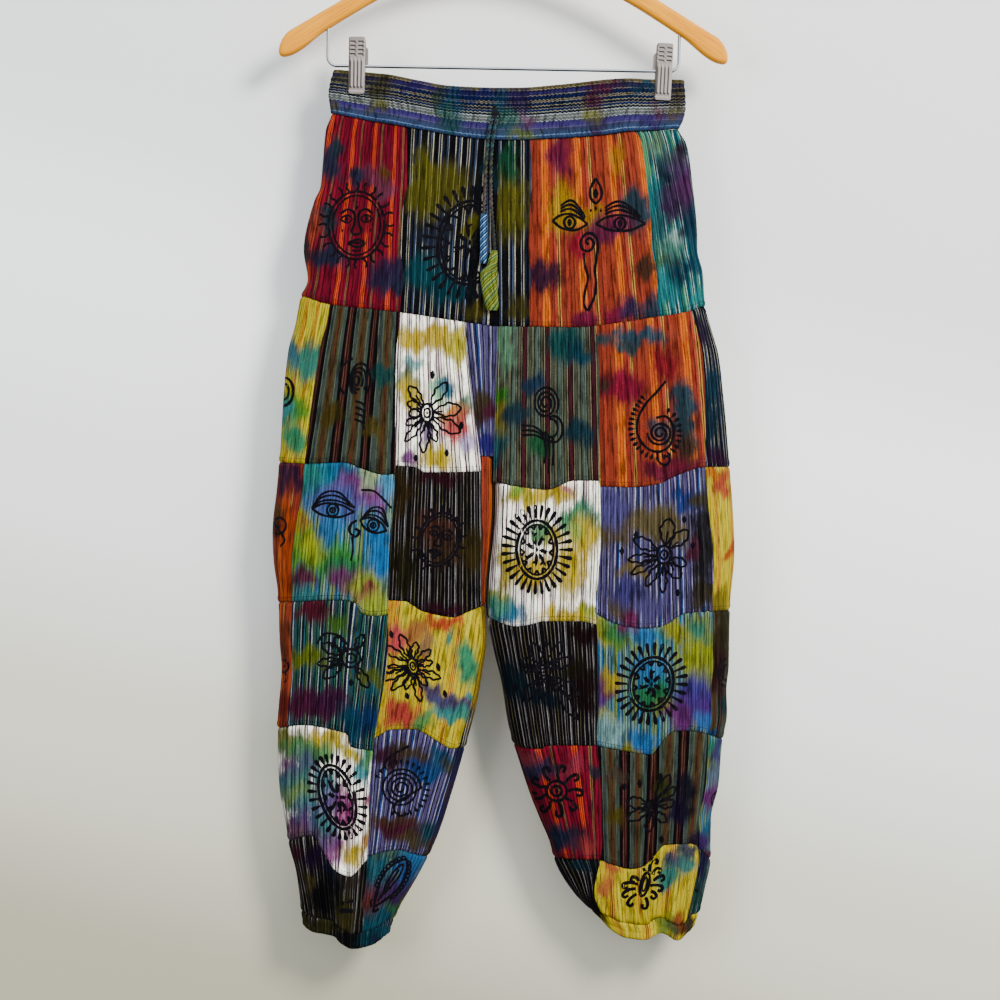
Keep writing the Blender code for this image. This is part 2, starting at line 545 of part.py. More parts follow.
def patch_grids(ring, upper, first, last, rows):
    """The outer and inner points of one patch."""
    table, where, levels = COLUMNS[ring]
    table = table[:, where[first] : where[last] + 1]
    drops = []
    for level in (upper, upper + 1):
        u = table[level]
        x, y = ring_point(ring, u, np.full_like(u, float(LEVEL_DROP[levels[level]])))
        front = x[y < 0]
        drops.append(seam_drop(levels[level], ring, u, front.mean() if len(front) else x.mean()))
    gathered = levels[upper + 1] == "cuff"
    if gathered:
        table = np.stack([halved(row) for row in table])
        drops = [halved(drops[0]), seam_drop("cuff", ring, table[-1], 0)]
    down = np.linspace(0, 1, rows + 1)[:, None]
    drop = (drops[0] + SEAM_GAP / 2) * (1 - down) + (drops[1] - SEAM_GAP / 2) * down
    u = columns_at(table, levels, drop)
    *_, speed = ring_frame(ring, u, drop)
    u[:, 0] += SEAM_GAP / 2 / speed[:, 0]
    u[:, -1] -= SEAM_GAP / 2 / speed[:, -1]
    x, y, nx, ny, _ = ring_frame(ring, u, drop)
    if gathered:
        share = eased((down - TIER_GATHER_START) / (1 - TIER_GATHER_START))
        wave = TIER_GATHER_RELIEF * (-1) ** np.arange(u.shape[1]) * share
        x, y = x + nx * wave, y + ny * wave
        # straight between the columns of the tier above, whose foot this seam meets
        for line in (x[0], y[0]):
            line[1:-1:2] = (line[:-2:2] + line[2::2]) / 2
    outer = np.stack([x, y, -drop], -1)
    inner = np.stack([x - nx * CLOTH_WALL, y - ny * CLOTH_WALL, -drop], -1)
    return outer, inner


def halved(values):
    """The values with each pair's middle put between them."""
    between = (values[:-1] + values[1:]) / 2
    return np.insert(values, np.arange(1, len(values)), between)


def build_patches(collection):
    for name, ring, upper, first, last, rows, fabric in PATCHES:
        outer, inner = patch_grids(ring, upper, first, last, rows)
        placed(name, wall_mesh(name, outer, inner, False), collection, FABRICS[fabric])


def build_band(collection):
    """One elastic casing all round, gathered on its outer face between four stitched channels."""
    columns, rows = 2 * BAND_GATHERS, 4
    u = evenly("body", 0, 6, columns, BAND_EVEN_DROP)[:-1]
    x, _ = ring_point("body", u, np.full_like(u, BAND_MIDDLE_DROP))
    down = np.linspace(0, 1, rows + 1)[:, None]
    drop = curve(BAND_TOP)(x) * (1 - down) + (curve(BAND_FOOT)(x) - SEAM_GAP / 2) * down
    u = np.broadcast_to(u, drop.shape)
    x, y, nx, ny, _ = ring_frame("body", u, drop)
    clipped = sum(np.exp(-(((x - clip) / CLIP_FLAT_WIDTH) ** 2)) for clip in PINCH_X)
    crest = BAND_RELIEF * (np.arange(columns) % 2) * (1 - np.minimum(clipped * CLIP_FLAT_SHARE, 1))
    crest = crest * np.array(BAND_RELIEF_ROWS)[:, None]
    outer = np.stack([x + nx * (BAND_PROUD + crest), y + ny * (BAND_PROUD + crest), -drop], -1)
    depth = BAND_WALL - BAND_PROUD
    inner = np.stack([x - nx * depth, y - ny * depth, -drop], -1)
    placed("waistband", wall_mesh("waistband", outer, inner, True), collection, FABRICS["band"])


def build_cuffs(collection):
    for name, ring, fabric in (
        ("cuff_left", "left_leg", "black"),
        ("cuff_right", "right_leg", "lemon"),
    ):
        table, _, levels = COLUMNS[ring]
        table = np.stack([halved(row)[:-1] for row in table])
        u = table[-1]
        top, foot = seam_drop("cuff", ring, u, 0) + SEAM_GAP / 2, seam_drop("hem", ring, u, 0)
        down = np.array([0.0, 0.5, 1.0])[:, None]
        drop = top * (1 - down) + foot * down
        x, y, nx, ny, _ = ring_frame(ring, columns_at(table, levels, drop), drop)
        crest = CUFF_GATHER_RELIEF * (-1) ** np.arange(len(u)) * np.array(CUFF_RELIEF_ROWS)[:, None]
        outer = np.stack([x + nx * crest, y + ny * crest, -drop], -1)
        inner = np.stack([x - nx * CUFF_WALL, y - ny * CUFF_WALL, -drop], -1)
        placed(name, wall_mesh(name, outer, inner, True), collection, FABRICS[fabric])


def front_of_cloth(x, drop):
    """How far forward the front of the band and yoke lies."""
    u = np.array([ring_position("body", "front", x, drop)])
    _, y = ring_point("body", u, np.array([float(drop)]))
    below_band = drop - float(curve(BAND_FOOT)(x))
    proud = (BAND_PROUD + BAND_RELIEF) * float(eased((BAND_STEP_FOOT - below_band) / BAND_STEP_LENGTH))
    return float(-y[0]) + proud


def smooth_route(points, spacing):
    """Points at about the given spacing on a Catmull-Rom curve through the route."""
    route = [Vector(p) for p in points]
    route = [2 * route[0] - route[1], *route, 2 * route[-1] - route[-2]]
    found = []
    for a, b, c, d in zip(route, route[1:], route[2:], route[3:]):
        steps = max(1, round((c - b).length / spacing))
        bend, twist = 2 * a - 5 * b + 4 * c - d, 3 * b - 3 * c + d - a
        for t in (i / steps for i in range(steps)):
            found.append((2 * b + (c - a) * t + bend * t**2 + twist * t**3) / 2)
    return [*found, route[-2]]


def tube(name, points, radius, collection, color, roughness, metallic, resolution=2):
    """A wire along points in millimetres, as a curve with filled caps."""
    wire = bpy.data.curves.new(name, "CURVE")
    wire.dimensions = "3D"
    spline = wire.splines.new("POLY")
    spline.points.add(len(points) - 1)
    for point, place in zip(spline.points, points):
        point.co = (*(Vector(place) * MM), 1)
    wire.bevel_depth = radius * MM
    wire.bevel_resolution = resolution
    wire.use_fill_caps = True
    obj = bpy.data.objects.new(name, wire)
    wire.materials.append(material(name, color, roughness, metallic))
    collection.objects.link(obj)
    return obj


def build_drawstring(collection):
    for name, route in (("drawstring_short", CORD_SHORT), ("drawstring_long", CORD_LONG)):
        points = [
            (x, -(front_of_cloth(x, drop) + CORD_RADIUS + FIT_GAP + lift), -drop) for x, drop, lift in route
        ]
        tube(name, smooth_route(points, CORD_SPACING), CORD_RADIUS, collection, FABRICS["cord"], 0.85, 0.0)
    for name, rows, fabric, forward in (
        ("tip_short", TIP_SHORT, "violet", 0.6),
        ("tip_long", TIP_LONG, "lemon", 1.0),
    ):
        shape = bmesh.new()
        rings = []
        for drop, x, half_width, half_depth in rows:
            y = -(front_of_cloth(x, drop) + max(CORD_RADIUS, half_depth) + FIT_GAP + forward)
            ring = []
            for angle in (2 * math.pi * i / TIP_SIDES for i in range(TIP_SIDES)):
                across, forwards = half_width * math.cos(angle), half_depth * math.sin(angle)
                ring.append(shape.verts.new(Vector((x + across, y + forwards, -drop)) * MM))
            rings.append(ring)
        for upper, lower in zip(rings, rings[1:]):
            for i in range(TIP_SIDES):
                j = (i + 1) % TIP_SIDES
                shape.faces.new((upper[i], lower[i], lower[j], upper[j]))
        shape.faces.new(rings[0])
        shape.faces.new(rings[-1][::-1])
        bmesh.ops.recalc_face_normals(shape, faces=shape.faces)
        mesh = bpy.data.meshes.new(name)
        shape.to_mesh(mesh)
        shape.free()
        placed(name, mesh, collection, FABRICS[fabric])


# The wooden hanger's outline from its middle to its left tip: (x, drop)
WOOD_TOP = [
    (0, 66), (-35, 69.6), (-75, 80), (-119.6, 99), (-161.7, 123.8), (-205.7, 150.6), (-215.6, 157),
    (-221.5, 165), (-224.3, 174),
]
WOOD_FOOT = [
    (-223.6, 180), (-218.5, 181.5), (-177.2, 154.4), (-126.6, 123.2), (-84.6, 102.5), (-44.8, 90),
    (0, 85),
]
BAR_END_X, BAR_END_DROP, SHANK_END_DROP = 175.6, 144.0, 78.0
WIRE_END_GAP, HOLE_CUTTER_LENGTH = 1.0, 30.0
# The hook's curve, in degrees from +X towards +Z, and its neck below that, as (x, drop)
HOOK_TIP_ANGLE, HOOK_NECK_ANGLE = 215, -38
HOOK_NECK = [(9.97, 37.36), (3.87, 41.46), (0.6, 48.5), (0, 54), (0, SHANK_END_DROP)]
STEEL = ((0.55, 0.56, 0.58), 0.22, 1.0)
WOOD = ((0.62, 0.38, 0.17), 0.35)
SPRING_INSET = 2.0


def meshed(obj, collection):
    """The object's evaluated mesh as a new object of the same name, with its caps welded."""
    bpy.context.view_layer.update()
    graph = bpy.context.evaluated_depsgraph_get()
    mesh = bpy.data.meshes.new_from_object(obj.evaluated_get(graph))
    mesh.transform(obj.matrix_world)
    shape = bmesh.new()
    shape.from_mesh(mesh)
    bmesh.ops.remove_doubles(shape, verts=shape.verts, dist=1e-6)
    shape.to_mesh(mesh)
    shape.free()
    name = obj.name
    bpy.data.objects.remove(obj)
    made = bpy.data.objects.new(name, mesh)
    collection.objects.link(made)
    return made


def cylinder(name, centre, radius, length, axis, collection, sides=16):
    bpy.ops.mesh.primitive_cylinder_add(vertices=sides, radius=radius * MM, depth=length * MM)
    obj = bpy.context.object
    obj.name = name
    turn = Vector((0, 0, 1)).rotation_difference(Vector(axis)).to_matrix().to_4x4()
    obj.data.transform(Matrix.Translation(Vector(centre) * MM) @ turn)
    for holder in obj.users_collection:
        holder.objects.unlink(obj)
    collection.objects.link(obj)
    return obj


def joined(obj, other, operation):
    change = obj.modifiers.new(operation.title(), "BOOLEAN")
    change.operation = operation
    change.object = other
    other.hide_render = True
    other.display_type = "WIRE"


def build_wood(collection, cutters):
    half = [*WOOD_TOP, *WOOD_FOOT[:-1]]
    ring = [*half, (0, WOOD_FOOT[-1][1]), *[(-x, drop) for x, drop in reversed(half[1:])]]
    wood = bpy.data.curves.new("hanger_body", "CURVE")
    wood.dimensions = "2D"
    wood.fill_mode = "BOTH"
    wood.extrude = (WOOD_THICKNESS / 2 - WOOD_EDGE_RADIUS) * MM
    wood.bevel_depth = WOOD_EDGE_RADIUS * MM
    wood.offset = -WOOD_EDGE_RADIUS * MM
    wood.bevel_resolution = 1
    spline = wood.splines.new("POLY")
    spline.points.add(len(ring) - 1)
    for point, (x, drop) in zip(spline.points, ring):
        point.co = (x * MM, -drop * MM, 0, 1)
    spline.use_cyclic_u = True
    obj = bpy.data.objects.new("hanger_body", wood)
    obj.rotation_euler.x = math.pi / 2
    collection.objects.link(obj)
    obj = meshed(obj, collection)
    obj.data.materials.clear()
    obj.data.materials.append(material("hanger_body", *WOOD))
    half_cutter = HOLE_CUTTER_LENGTH / 2
    bar_drop = BAR_END_DROP - WIRE_END_GAP + half_cutter
    shank_drop = SHANK_END_DROP + WIRE_END_GAP - half_cutter
    for name, x, drop, radius in (
        ("bar_hole_left", -BAR_END_X, bar_drop, BAR_RADIUS),
        ("bar_hole_right", BAR_END_X, bar_drop, BAR_RADIUS),
        ("shank_hole", 0, shank_drop, HOOK_WIRE_RADIUS),
    ):
        centre, upright = (x, 0, -drop), (0, 0, 1)
        hole = cylinder(name, centre, radius + FIT_GAP, HOLE_CUTTER_LENGTH, upright, cutters)
        joined(obj, hole, "DIFFERENCE")


def arc(centre, radius, start, end, steps):
    """Points on an arc in the XZ plane, with angles in degrees from +X towards +Z."""
    angles = np.radians(np.linspace(start, end, steps + 1))
    return [(centre[0] + radius * math.cos(a), 0, centre[1] + radius * math.sin(a)) for a in angles]


def build_wires(collection):
    bend, foot = BAR_BEND, -BAR_DROP
    inner = BAR_END_X - bend
    points = [(-BAR_END_X, 0, -BAR_END_DROP)]
    points += arc((-inner, foot + bend), bend, 180, 270, 5)
    points += arc((inner, foot + bend), bend, 270, 360, 5)
    points += [(BAR_END_X, 0, -BAR_END_DROP)]
    tube("hanger_bar", points, BAR_RADIUS, collection, *STEEL)
    radius = HOOK_INNER_RADIUS + HOOK_WIRE_RADIUS
    middle = -HOOK_INNER_RADIUS
    # down from the tip, over the seat, and back under to the shank
    points = arc((0, middle), radius, HOOK_TIP_ANGLE, HOOK_NECK_ANGLE, 18)
    points += [(x, 0, -drop) for x, drop in HOOK_NECK]
    tube("hanger_hook", points, HOOK_WIRE_RADIUS, collection, *STEEL)


def build_clip(name, x, top, lean, collection, cutters):
    """A spring clip: a plate in front, a plate behind, and the spring round the bar between them."""
    plates = []
    for face, side in (("front", -1), ("back", 1)):
        bpy.ops.mesh.primitive_cube_add(size=1)
        plate = bpy.context.object
        plate.name = f"{name}_{face}_plate"
        plate.data.transform(Matrix.Diagonal((*(Vector((CLIP_WIDTH, CLIP_PLATE, CLIP_HEIGHT)) * MM), 1)))
        centre = (x, side * (JAW_HALF_GAP + CLIP_PLATE / 2), -(top + CLIP_HEIGHT / 2))
        plate.data.transform(Matrix.Translation(Vector(centre) * MM))
        for holder in plate.users_collection:
            holder.objects.unlink(plate)
        plates.append(plate)
    front, back = plates
    front.name = name
    collection.objects.link(front)
    cutters.objects.link(back)
    joined(front, back, "UNION")
    centre, along = (x, 0, -BAR_DROP), (1, 0, 0)
    spring_length = CLIP_WIDTH - 2 * SPRING_INSET
    spring = cylinder(f"{name}_spring", centre, CLIP_TUBE_RADIUS, spring_length, along, cutters)
    joined(front, spring, "UNION")
    bore = cylinder(f"{name}_bore", centre, BAR_RADIUS + FIT_GAP, CLIP_WIDTH * 2, along, cutters)
    joined(front, bore, "DIFFERENCE")
    pivot = Matrix.Translation(Vector(centre) * MM)
    turn = pivot @ Matrix.Rotation(math.radians(lean), 4, "Y") @ pivot.inverted()
    for piece in (front, back):
        piece.data.transform(turn)
    front.data.materials.append(material(name, *STEEL))


def main():
    for obj in list(bpy.data.objects):
        bpy.data.objects.remove(obj)
    trousers = bpy.data.collections.new("harem_trousers")
    cutters = bpy.data.collections.new("cutters")
    for collection in (trousers, cutters):
        bpy.context.scene.collection.children.link(collection)
    build_band(trousers)
    build_patches(trousers)
    build_cuffs(trousers)
    build_drawstring(trousers)
    build_wood(trousers, cutters)
    build_wires(trousers)
    for name, x, top, lean in CLIPS:
        build_clip(name, x, top, lean, trousers, cutters)


main()
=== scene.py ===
import math
import random

import bmesh
import bpy
import numpy as np
from mathutils import Matrix, Vector
from mathutils.bvhtree import BVHTree


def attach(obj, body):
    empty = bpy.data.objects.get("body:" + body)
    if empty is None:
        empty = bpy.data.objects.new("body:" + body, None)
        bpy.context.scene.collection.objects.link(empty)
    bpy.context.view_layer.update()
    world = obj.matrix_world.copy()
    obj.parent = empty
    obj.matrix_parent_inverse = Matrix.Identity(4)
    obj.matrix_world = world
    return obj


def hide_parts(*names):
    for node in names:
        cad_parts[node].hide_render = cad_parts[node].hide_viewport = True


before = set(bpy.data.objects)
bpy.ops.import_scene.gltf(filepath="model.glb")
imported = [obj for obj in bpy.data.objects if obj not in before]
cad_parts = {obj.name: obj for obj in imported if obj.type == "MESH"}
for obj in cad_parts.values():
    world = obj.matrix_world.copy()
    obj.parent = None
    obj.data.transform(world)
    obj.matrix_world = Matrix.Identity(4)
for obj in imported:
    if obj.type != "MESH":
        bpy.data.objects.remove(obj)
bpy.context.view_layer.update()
mm = 0.001
print("frame loaded")

# Harem trousers sewn from striped, tie-dyed and block-printed crinkle cotton, on a clip hanger.
# Lengths are in millimetres: x to the right seen from the front, drop downwards from the hook's seat.

view = {"aimX": 4.5, "aimDrop": 621, "distance": 2200, "frameWidth": 1000, "lean": 1.0, "chartMiddle": 500}
leanCos, leanSin = math.cos(math.radians(view["lean"])), math.sin(math.radians(view["lean"]))


# an object at the origin for a mesh, a camera or a light, in the scene
def placed(name, data):
    obj = bpy.data.objects.new(name, data)
    bpy.context.scene.collection.objects.link(obj)
    return obj


def makeCamera():
    lens = bpy.data.cameras.new("frontCamera")
    lens.sensor_width = 36
    lens.lens = lens.sensor_width * view["distance"] / view["frameWidth"]
    camera = placed("frontCamera", lens)
    camera.matrix_world = Matrix((
        (leanCos, -leanSin, 0, view["aimX"] * mm),
        (0, 0, -1, -view["distance"] * mm),
        (leanSin, leanCos, 0, -view["aimDrop"] * mm),
        (0, 0, 0, 1),
    ))
    bpy.context.scene.camera = camera


# Places of dyes and prints are read across and down from a corner above the left shoulder of the
# hanger, and the garment hangs a degree out of true there.
def onGarment(across, down):
    x, y = np.asarray(across, float) - view["chartMiddle"], np.asarray(down, float) - view["chartMiddle"]
    return x * leanCos + y * leanSin + view["aimX"], y * leanCos - x * leanSin + view["aimDrop"]


makeCamera()


def linear(hexColour):
    shares = [int(hexColour[i : i + 2], 16) / 255 for i in (1, 3, 5)]
    return tuple(v / 12.92 if v <= 0.04045 else ((v + 0.055) / 1.055) ** 2.4 for v in shares)


# the cloth's own colour for a swatch judged in the room's light, which pales the light colours
def ownColour(swatch):
    seen = np.array(linear(swatch))
    return tuple(np.minimum(seen / (1 - seen.min()) ** 0.85 / clothLook["light"], 0.93))


# gives a node its inputs: values, or nodes and sockets to link
def feed(tree, node, inputs):
    for key, value in inputs.items():
        value = value.outputs[0] if isinstance(value, bpy.types.Node) else value
        if isinstance(value, bpy.types.NodeSocket):
            tree.links.new(value, node.inputs[key])
        else:
            node.inputs[key].default_value = value


# adds one node with its inputs, a ramp's stops and the node's own settings
def add(tree, kind, inputs=None, stops=(), **settings):
    node = tree.nodes.new(kind)
    for name, value in settings.items():
        setattr(node, name, value)
    for i, (at, colour) in enumerate(stops):
        stop = node.color_ramp.elements[i] if i < 2 else node.color_ramp.elements.new(at)
        stop.position, stop.color = at, (*colour, 1)
    feed(tree, node, inputs or {})
    return node


def startMaterial(name, **shaderValues):
    made = bpy.data.materials.new(name)
    made.use_nodes = True
    shader = made.node_tree.nodes["Principled BSDF"]
    for key, value in shaderValues.items():
        shader.inputs[key.replace("_", " ")].default_value = value
    return made, made.node_tree, shader


# Striped cloth: width in mm and colour of each stripe, over one repeat of the loom's warp
fabrics = {
    # wine and crimson with scarlet and tan yarns
    "red": [
        (3, "#7A0E2C"), (1.2, "#4E0A1E"), (2.6, "#9A1530"), (1, "#560A20"), (1.3, "#F2502A"), (0.8, "#8A1420"),
        (1.3, "#FF5E26"), (0.8, "#8A1420"), (1.2, "#EE5428"), (1.6, "#6A0E24"), (2.6, "#A21832"), (1, "#560A20"),
        (2.6, "#8E1030"), (0.5, "#A87C48"), (0.9, "#3E4030"), (0.5, "#A06E40"), (2.2, "#6E0C26"), (3, "#9C1634"),
        (1, "#4E0A1E"), (2.8, "#86102C"),
    ],
    # black with cream yarns and slate bands
    "black": [
        (3.4, "#0E1016"), (0.9, "#B4B098"), (1.6, "#28324A"), (1.2, "#0D0F15"), (1.4, "#526084"), (1, "#0E1016"),
        (0.9, "#C4BEA6"), (5.4, "#0B0D13"), (0.7, "#9A9A94"), (1.6, "#171D2B"), (0.9, "#BEB48E"), (2.4, "#1C2540"),
        (2.6, "#0D0F16"), (1.8, "#384260"), (0.7, "#9CA0A0"), (3.2, "#0E1016"),
    ],
    # brown black with close pale pin stripes
    "blackPin": [
        (2.9, "#0D0C0F"), (0.8, "#8C8684"), (1.9, "#131217"), (0.6, "#6A6262"), (2.7, "#0B0B0E"), (0.8, "#A6A09E"),
        (0.7, "#1A1719"), (0.6, "#787270"), (3.6, "#0E0D11"), (0.7, "#5E5240"), (2.1, "#121115"), (0.8, "#908A88"),
        (2.6, "#0C0B0E"), (0.7, "#665E3C"), (3.2, "#0F0E12"), (0.6, "#8A7E7A"),
    ],
    # rust twill with pairs of bright orange and single tan yarns
    "orange": [
        (4.2, "#A63F28"), (1, "#74301F"), (4.4, "#B84A2C"), (1.6, "#FF8424"), (0.9, "#C8481E"), (1.7, "#FF7A1E"),
        (0.9, "#C8481E"), (1.6, "#FF8C2C"), (3.6, "#AE3D28"), (1, "#6E2A1E"), (3, "#C6503A"), (0.9, "#DCAC4C"),
        (1.2, "#863822"), (0.9, "#E2B452"), (4.2, "#A03C28"), (1, "#6E2A1E"), (3.2, "#BC4830"),
    ],
    # sea green and petrol with pale yarns
    "teal": [
        (3.5, "#3A8A70"), (1.2, "#84C898"), (2, "#2A6A70"), (1, "#BCD4B8"), (2.5, "#1C5A70"), (1.2, "#14304A"),
        (3, "#2A8C8C"), (1, "#AACCBC"), (2.5, "#193A5A"), (1, "#CCD8C8"), (3.5, "#1E8088"), (1.2, "#123048"),
    ],
    # lemon with green and orange yarns
    "lemon": [
        (3, "#FCE41C"), (0.8, "#98A038"), (2.2, "#FFEC30"), (0.8, "#849438"), (2.4, "#FCDE14"), (1, "#E88628"),
        (1.2, "#F8CC1C"), (1, "#D46428"), (1.2, "#F8C818"), (0.9, "#E08224"), (3, "#FFEA30"), (0.8, "#8C9A3C"),
    ],
    # sunny yellow with tan pin stripes and a triple of brick red
    "yellow": [
        (3.1, "#FFE418"), (0.8, "#CAAA3A"), (3.1, "#FFEA30"), (0.8, "#B8A238"), (3.2, "#FFDE12"), (0.8, "#CEAC3A"),
        (2.6, "#FBD61C"), (0.9, "#CC6424"), (1.1, "#F8CC40"), (0.9, "#C25A22"), (1.1, "#FCD84C"), (0.9, "#CC6626"),
        (3, "#FFE21E"), (0.8, "#CAAA3A"), (3.4, "#FFEE38"), (0.8, "#AEA63C"), (3, "#FFDE12"), (0.8, "#C2A238"),
    ],
    # broad olive and slate bands between black-edged maroon
    "brown": [
        (2.6, "#0B0B0C"), (1.1, "#4C1C1E"), (0.5, "#806048"), (1.7, "#40161A"), (0.5, "#74563F"), (1.1, "#4A1A1C"),
        (3, "#0B0B0C"), (0.6, "#6A7466"), (3.0, "#44504A"), (0.7, "#5E6658"), (2.6, "#504C30"), (1.2, "#543A24"),
        (0.9, "#6A3424"), (1.2, "#543A24"), (2.8, "#545034"), (0.7, "#68705E"), (3.2, "#485650"),
    ],
    # off-white with mauve and umber pin stripes
    "white": [
        (3.6, "#F8F4E0"), (1.6, "#7A5A68"), (1.2, "#E6DCD8"), (1.2, "#4E3C44"), (5.2, "#F8F4E0"), (1.1, "#6A4C58"),
        (1.2, "#D8CCCC"), (1.3, "#7E5C68"), (1.4, "#E4D8D4"), (1.0, "#4A3A40"), (4.6, "#F8F4E0"), (1.2, "#3E3234"),
        (1.8, "#ECE6E0"), (1.1, "#6A4A56"), (3.0, "#F8F4E0"), (0.9, "#6A5C50"),
    ],
    # blue violet with lavender and ink yarns
    "violet": [
        (2.6, "#5E5486"), (0.9, "#15142C"), (1.3, "#625A9A"), (0.7, "#A8A4B8"), (1.2, "#1A1930"), (2.2, "#62588C"),
        (0.8, "#121226"), (1.2, "#6A6494"), (0.7, "#B4B0C0"), (1.8, "#443E6A"), (0.9, "#1A1838"), (1.6, "#33509A"),
        (0.7, "#B4BCD0"), (2.2, "#625890"), (1.0, "#141430"), (0.8, "#7E7894"),
    ],
    # sky blue and pale green with ink yarns
    "sky": [
        (2.0, "#628C92"), (0.9, "#15223A"), (1.4, "#4484A0"), (1.8, "#7E9C6A"), (0.8, "#1A2840"), (2.2, "#8C9E50"),
        (1.0, "#2E74A8"), (1.8, "#2A76B0"), (0.6, "#98B4B0"), (1.5, "#3C84B4"), (1.0, "#182640"), (1.9, "#6C946C"),
        (0.8, "#22303E"), (1.6, "#8CAC98"), (0.8, "#1E3A56"),
    ],
    # grey green with tan, and maroon between cream yarns
    "green": [
        (1.8, "#4C5E54"), (0.6, "#7A8672"), (1, "#181C18"), (2.2, "#625F4A"), (1, "#20201A"), (0.8, "#948A6C"),
        (1, "#141210"), (3.4, "#52222A"), (1, "#141210"), (0.8, "#8C7E62"), (1.9, "#465246"), (0.6, "#66705C"),
        (1, "#1A1E18"), (2.4, "#6A6852"), (1.2, "#222E2A"), (2.0, "#52645A"), (0.6, "#7A806A"),
    ],
    # petrol, ink and pine with pale yarns
    "tealNavy": [
        (2.0, "#22505A"), (0.9, "#0B141E"), (1.4, "#34705C"), (1, "#0D1722"), (0.8, "#9CB0A8"), (2.4, "#10182A"),
        (1.1, "#2E7882"), (0.9, "#0D171F"), (1.8, "#3A5A3C"), (0.8, "#7E9484"), (2.6, "#141C34"), (0.8, "#B4BCB4"),
        (1.4, "#24466A"), (0.9, "#4A5A30"),
    ],
    # cross-striped band: ink and purple above, silver green, violet and blue below
    "band": [
        (4.5, "#6E6440"), (1.2, "#1A1A28"), (1.4, "#A89C6C"), (3.5, "#2A2250"), (5, "#3A2E74"), (1.2, "#15182E"),
        (1.3, "#9C9478"), (8, "#182250"), (1.5, "#B0A680"), (2, "#14141E"), (1.4, "#A09A84"), (5.5, "#15204A"),
        (1.4, "#B0A882"), (4.5, "#121A38"), (1.2, "#8C8878"), (4.5, "#16245A"), (1.6, "#A8A890"), (3.5, "#141C38"),
        (1.8, "#B8C2C0"), (4.5, "#6A7070"), (1.3, "#A8AEAC"), (4.5, "#727876"), (1.8, "#B4BEC2"), (2, "#3A3A62"),
        (5, "#463A80"), (5, "#4E4288"), (1.2, "#6E6A90"), (5, "#42486E"), (6, "#3E5078"), (1.6, "#7A98C4"),
        (4, "#38507E"), (2.5, "#2E4064"),
    ],
    # rolled strips at the ends of the string
    "tipBlue": [
        (1.3, "#1C4A98"), (0.9, "#C0D8E8"), (1.2, "#2E70B8"), (0.7, "#2A2A6A"), (1.5, "#5A98CC"), (0.9, "#122C60"),
    ],
    "tipGreen": [
        (2, "#96A82A"), (0.8, "#28321A"), (1.5, "#A8B844"), (0.7, "#34421C"), (1.5, "#98A634"), (0.8, "#C8CC7A"),
        (1.3, "#7A9A34"), (0.9, "#2A5A50"), (1.3, "#86A86A"),
    ],
}
clothLook = {
    "roughness": 0.9, "specular": 0.05, "sheen": 0.01, "yarnWander": 0.7, "heather": 0.3, "wrinkleWidth": 2.6,
    "wrinkleLength": 24, "wrinkleDepth": 1.2, "yarnDepth": 0.35, "wrinkleShade": 0.6, "light": 3.4,
    "sheenRoughness": 0.6, "bandDye": 0.72,
}


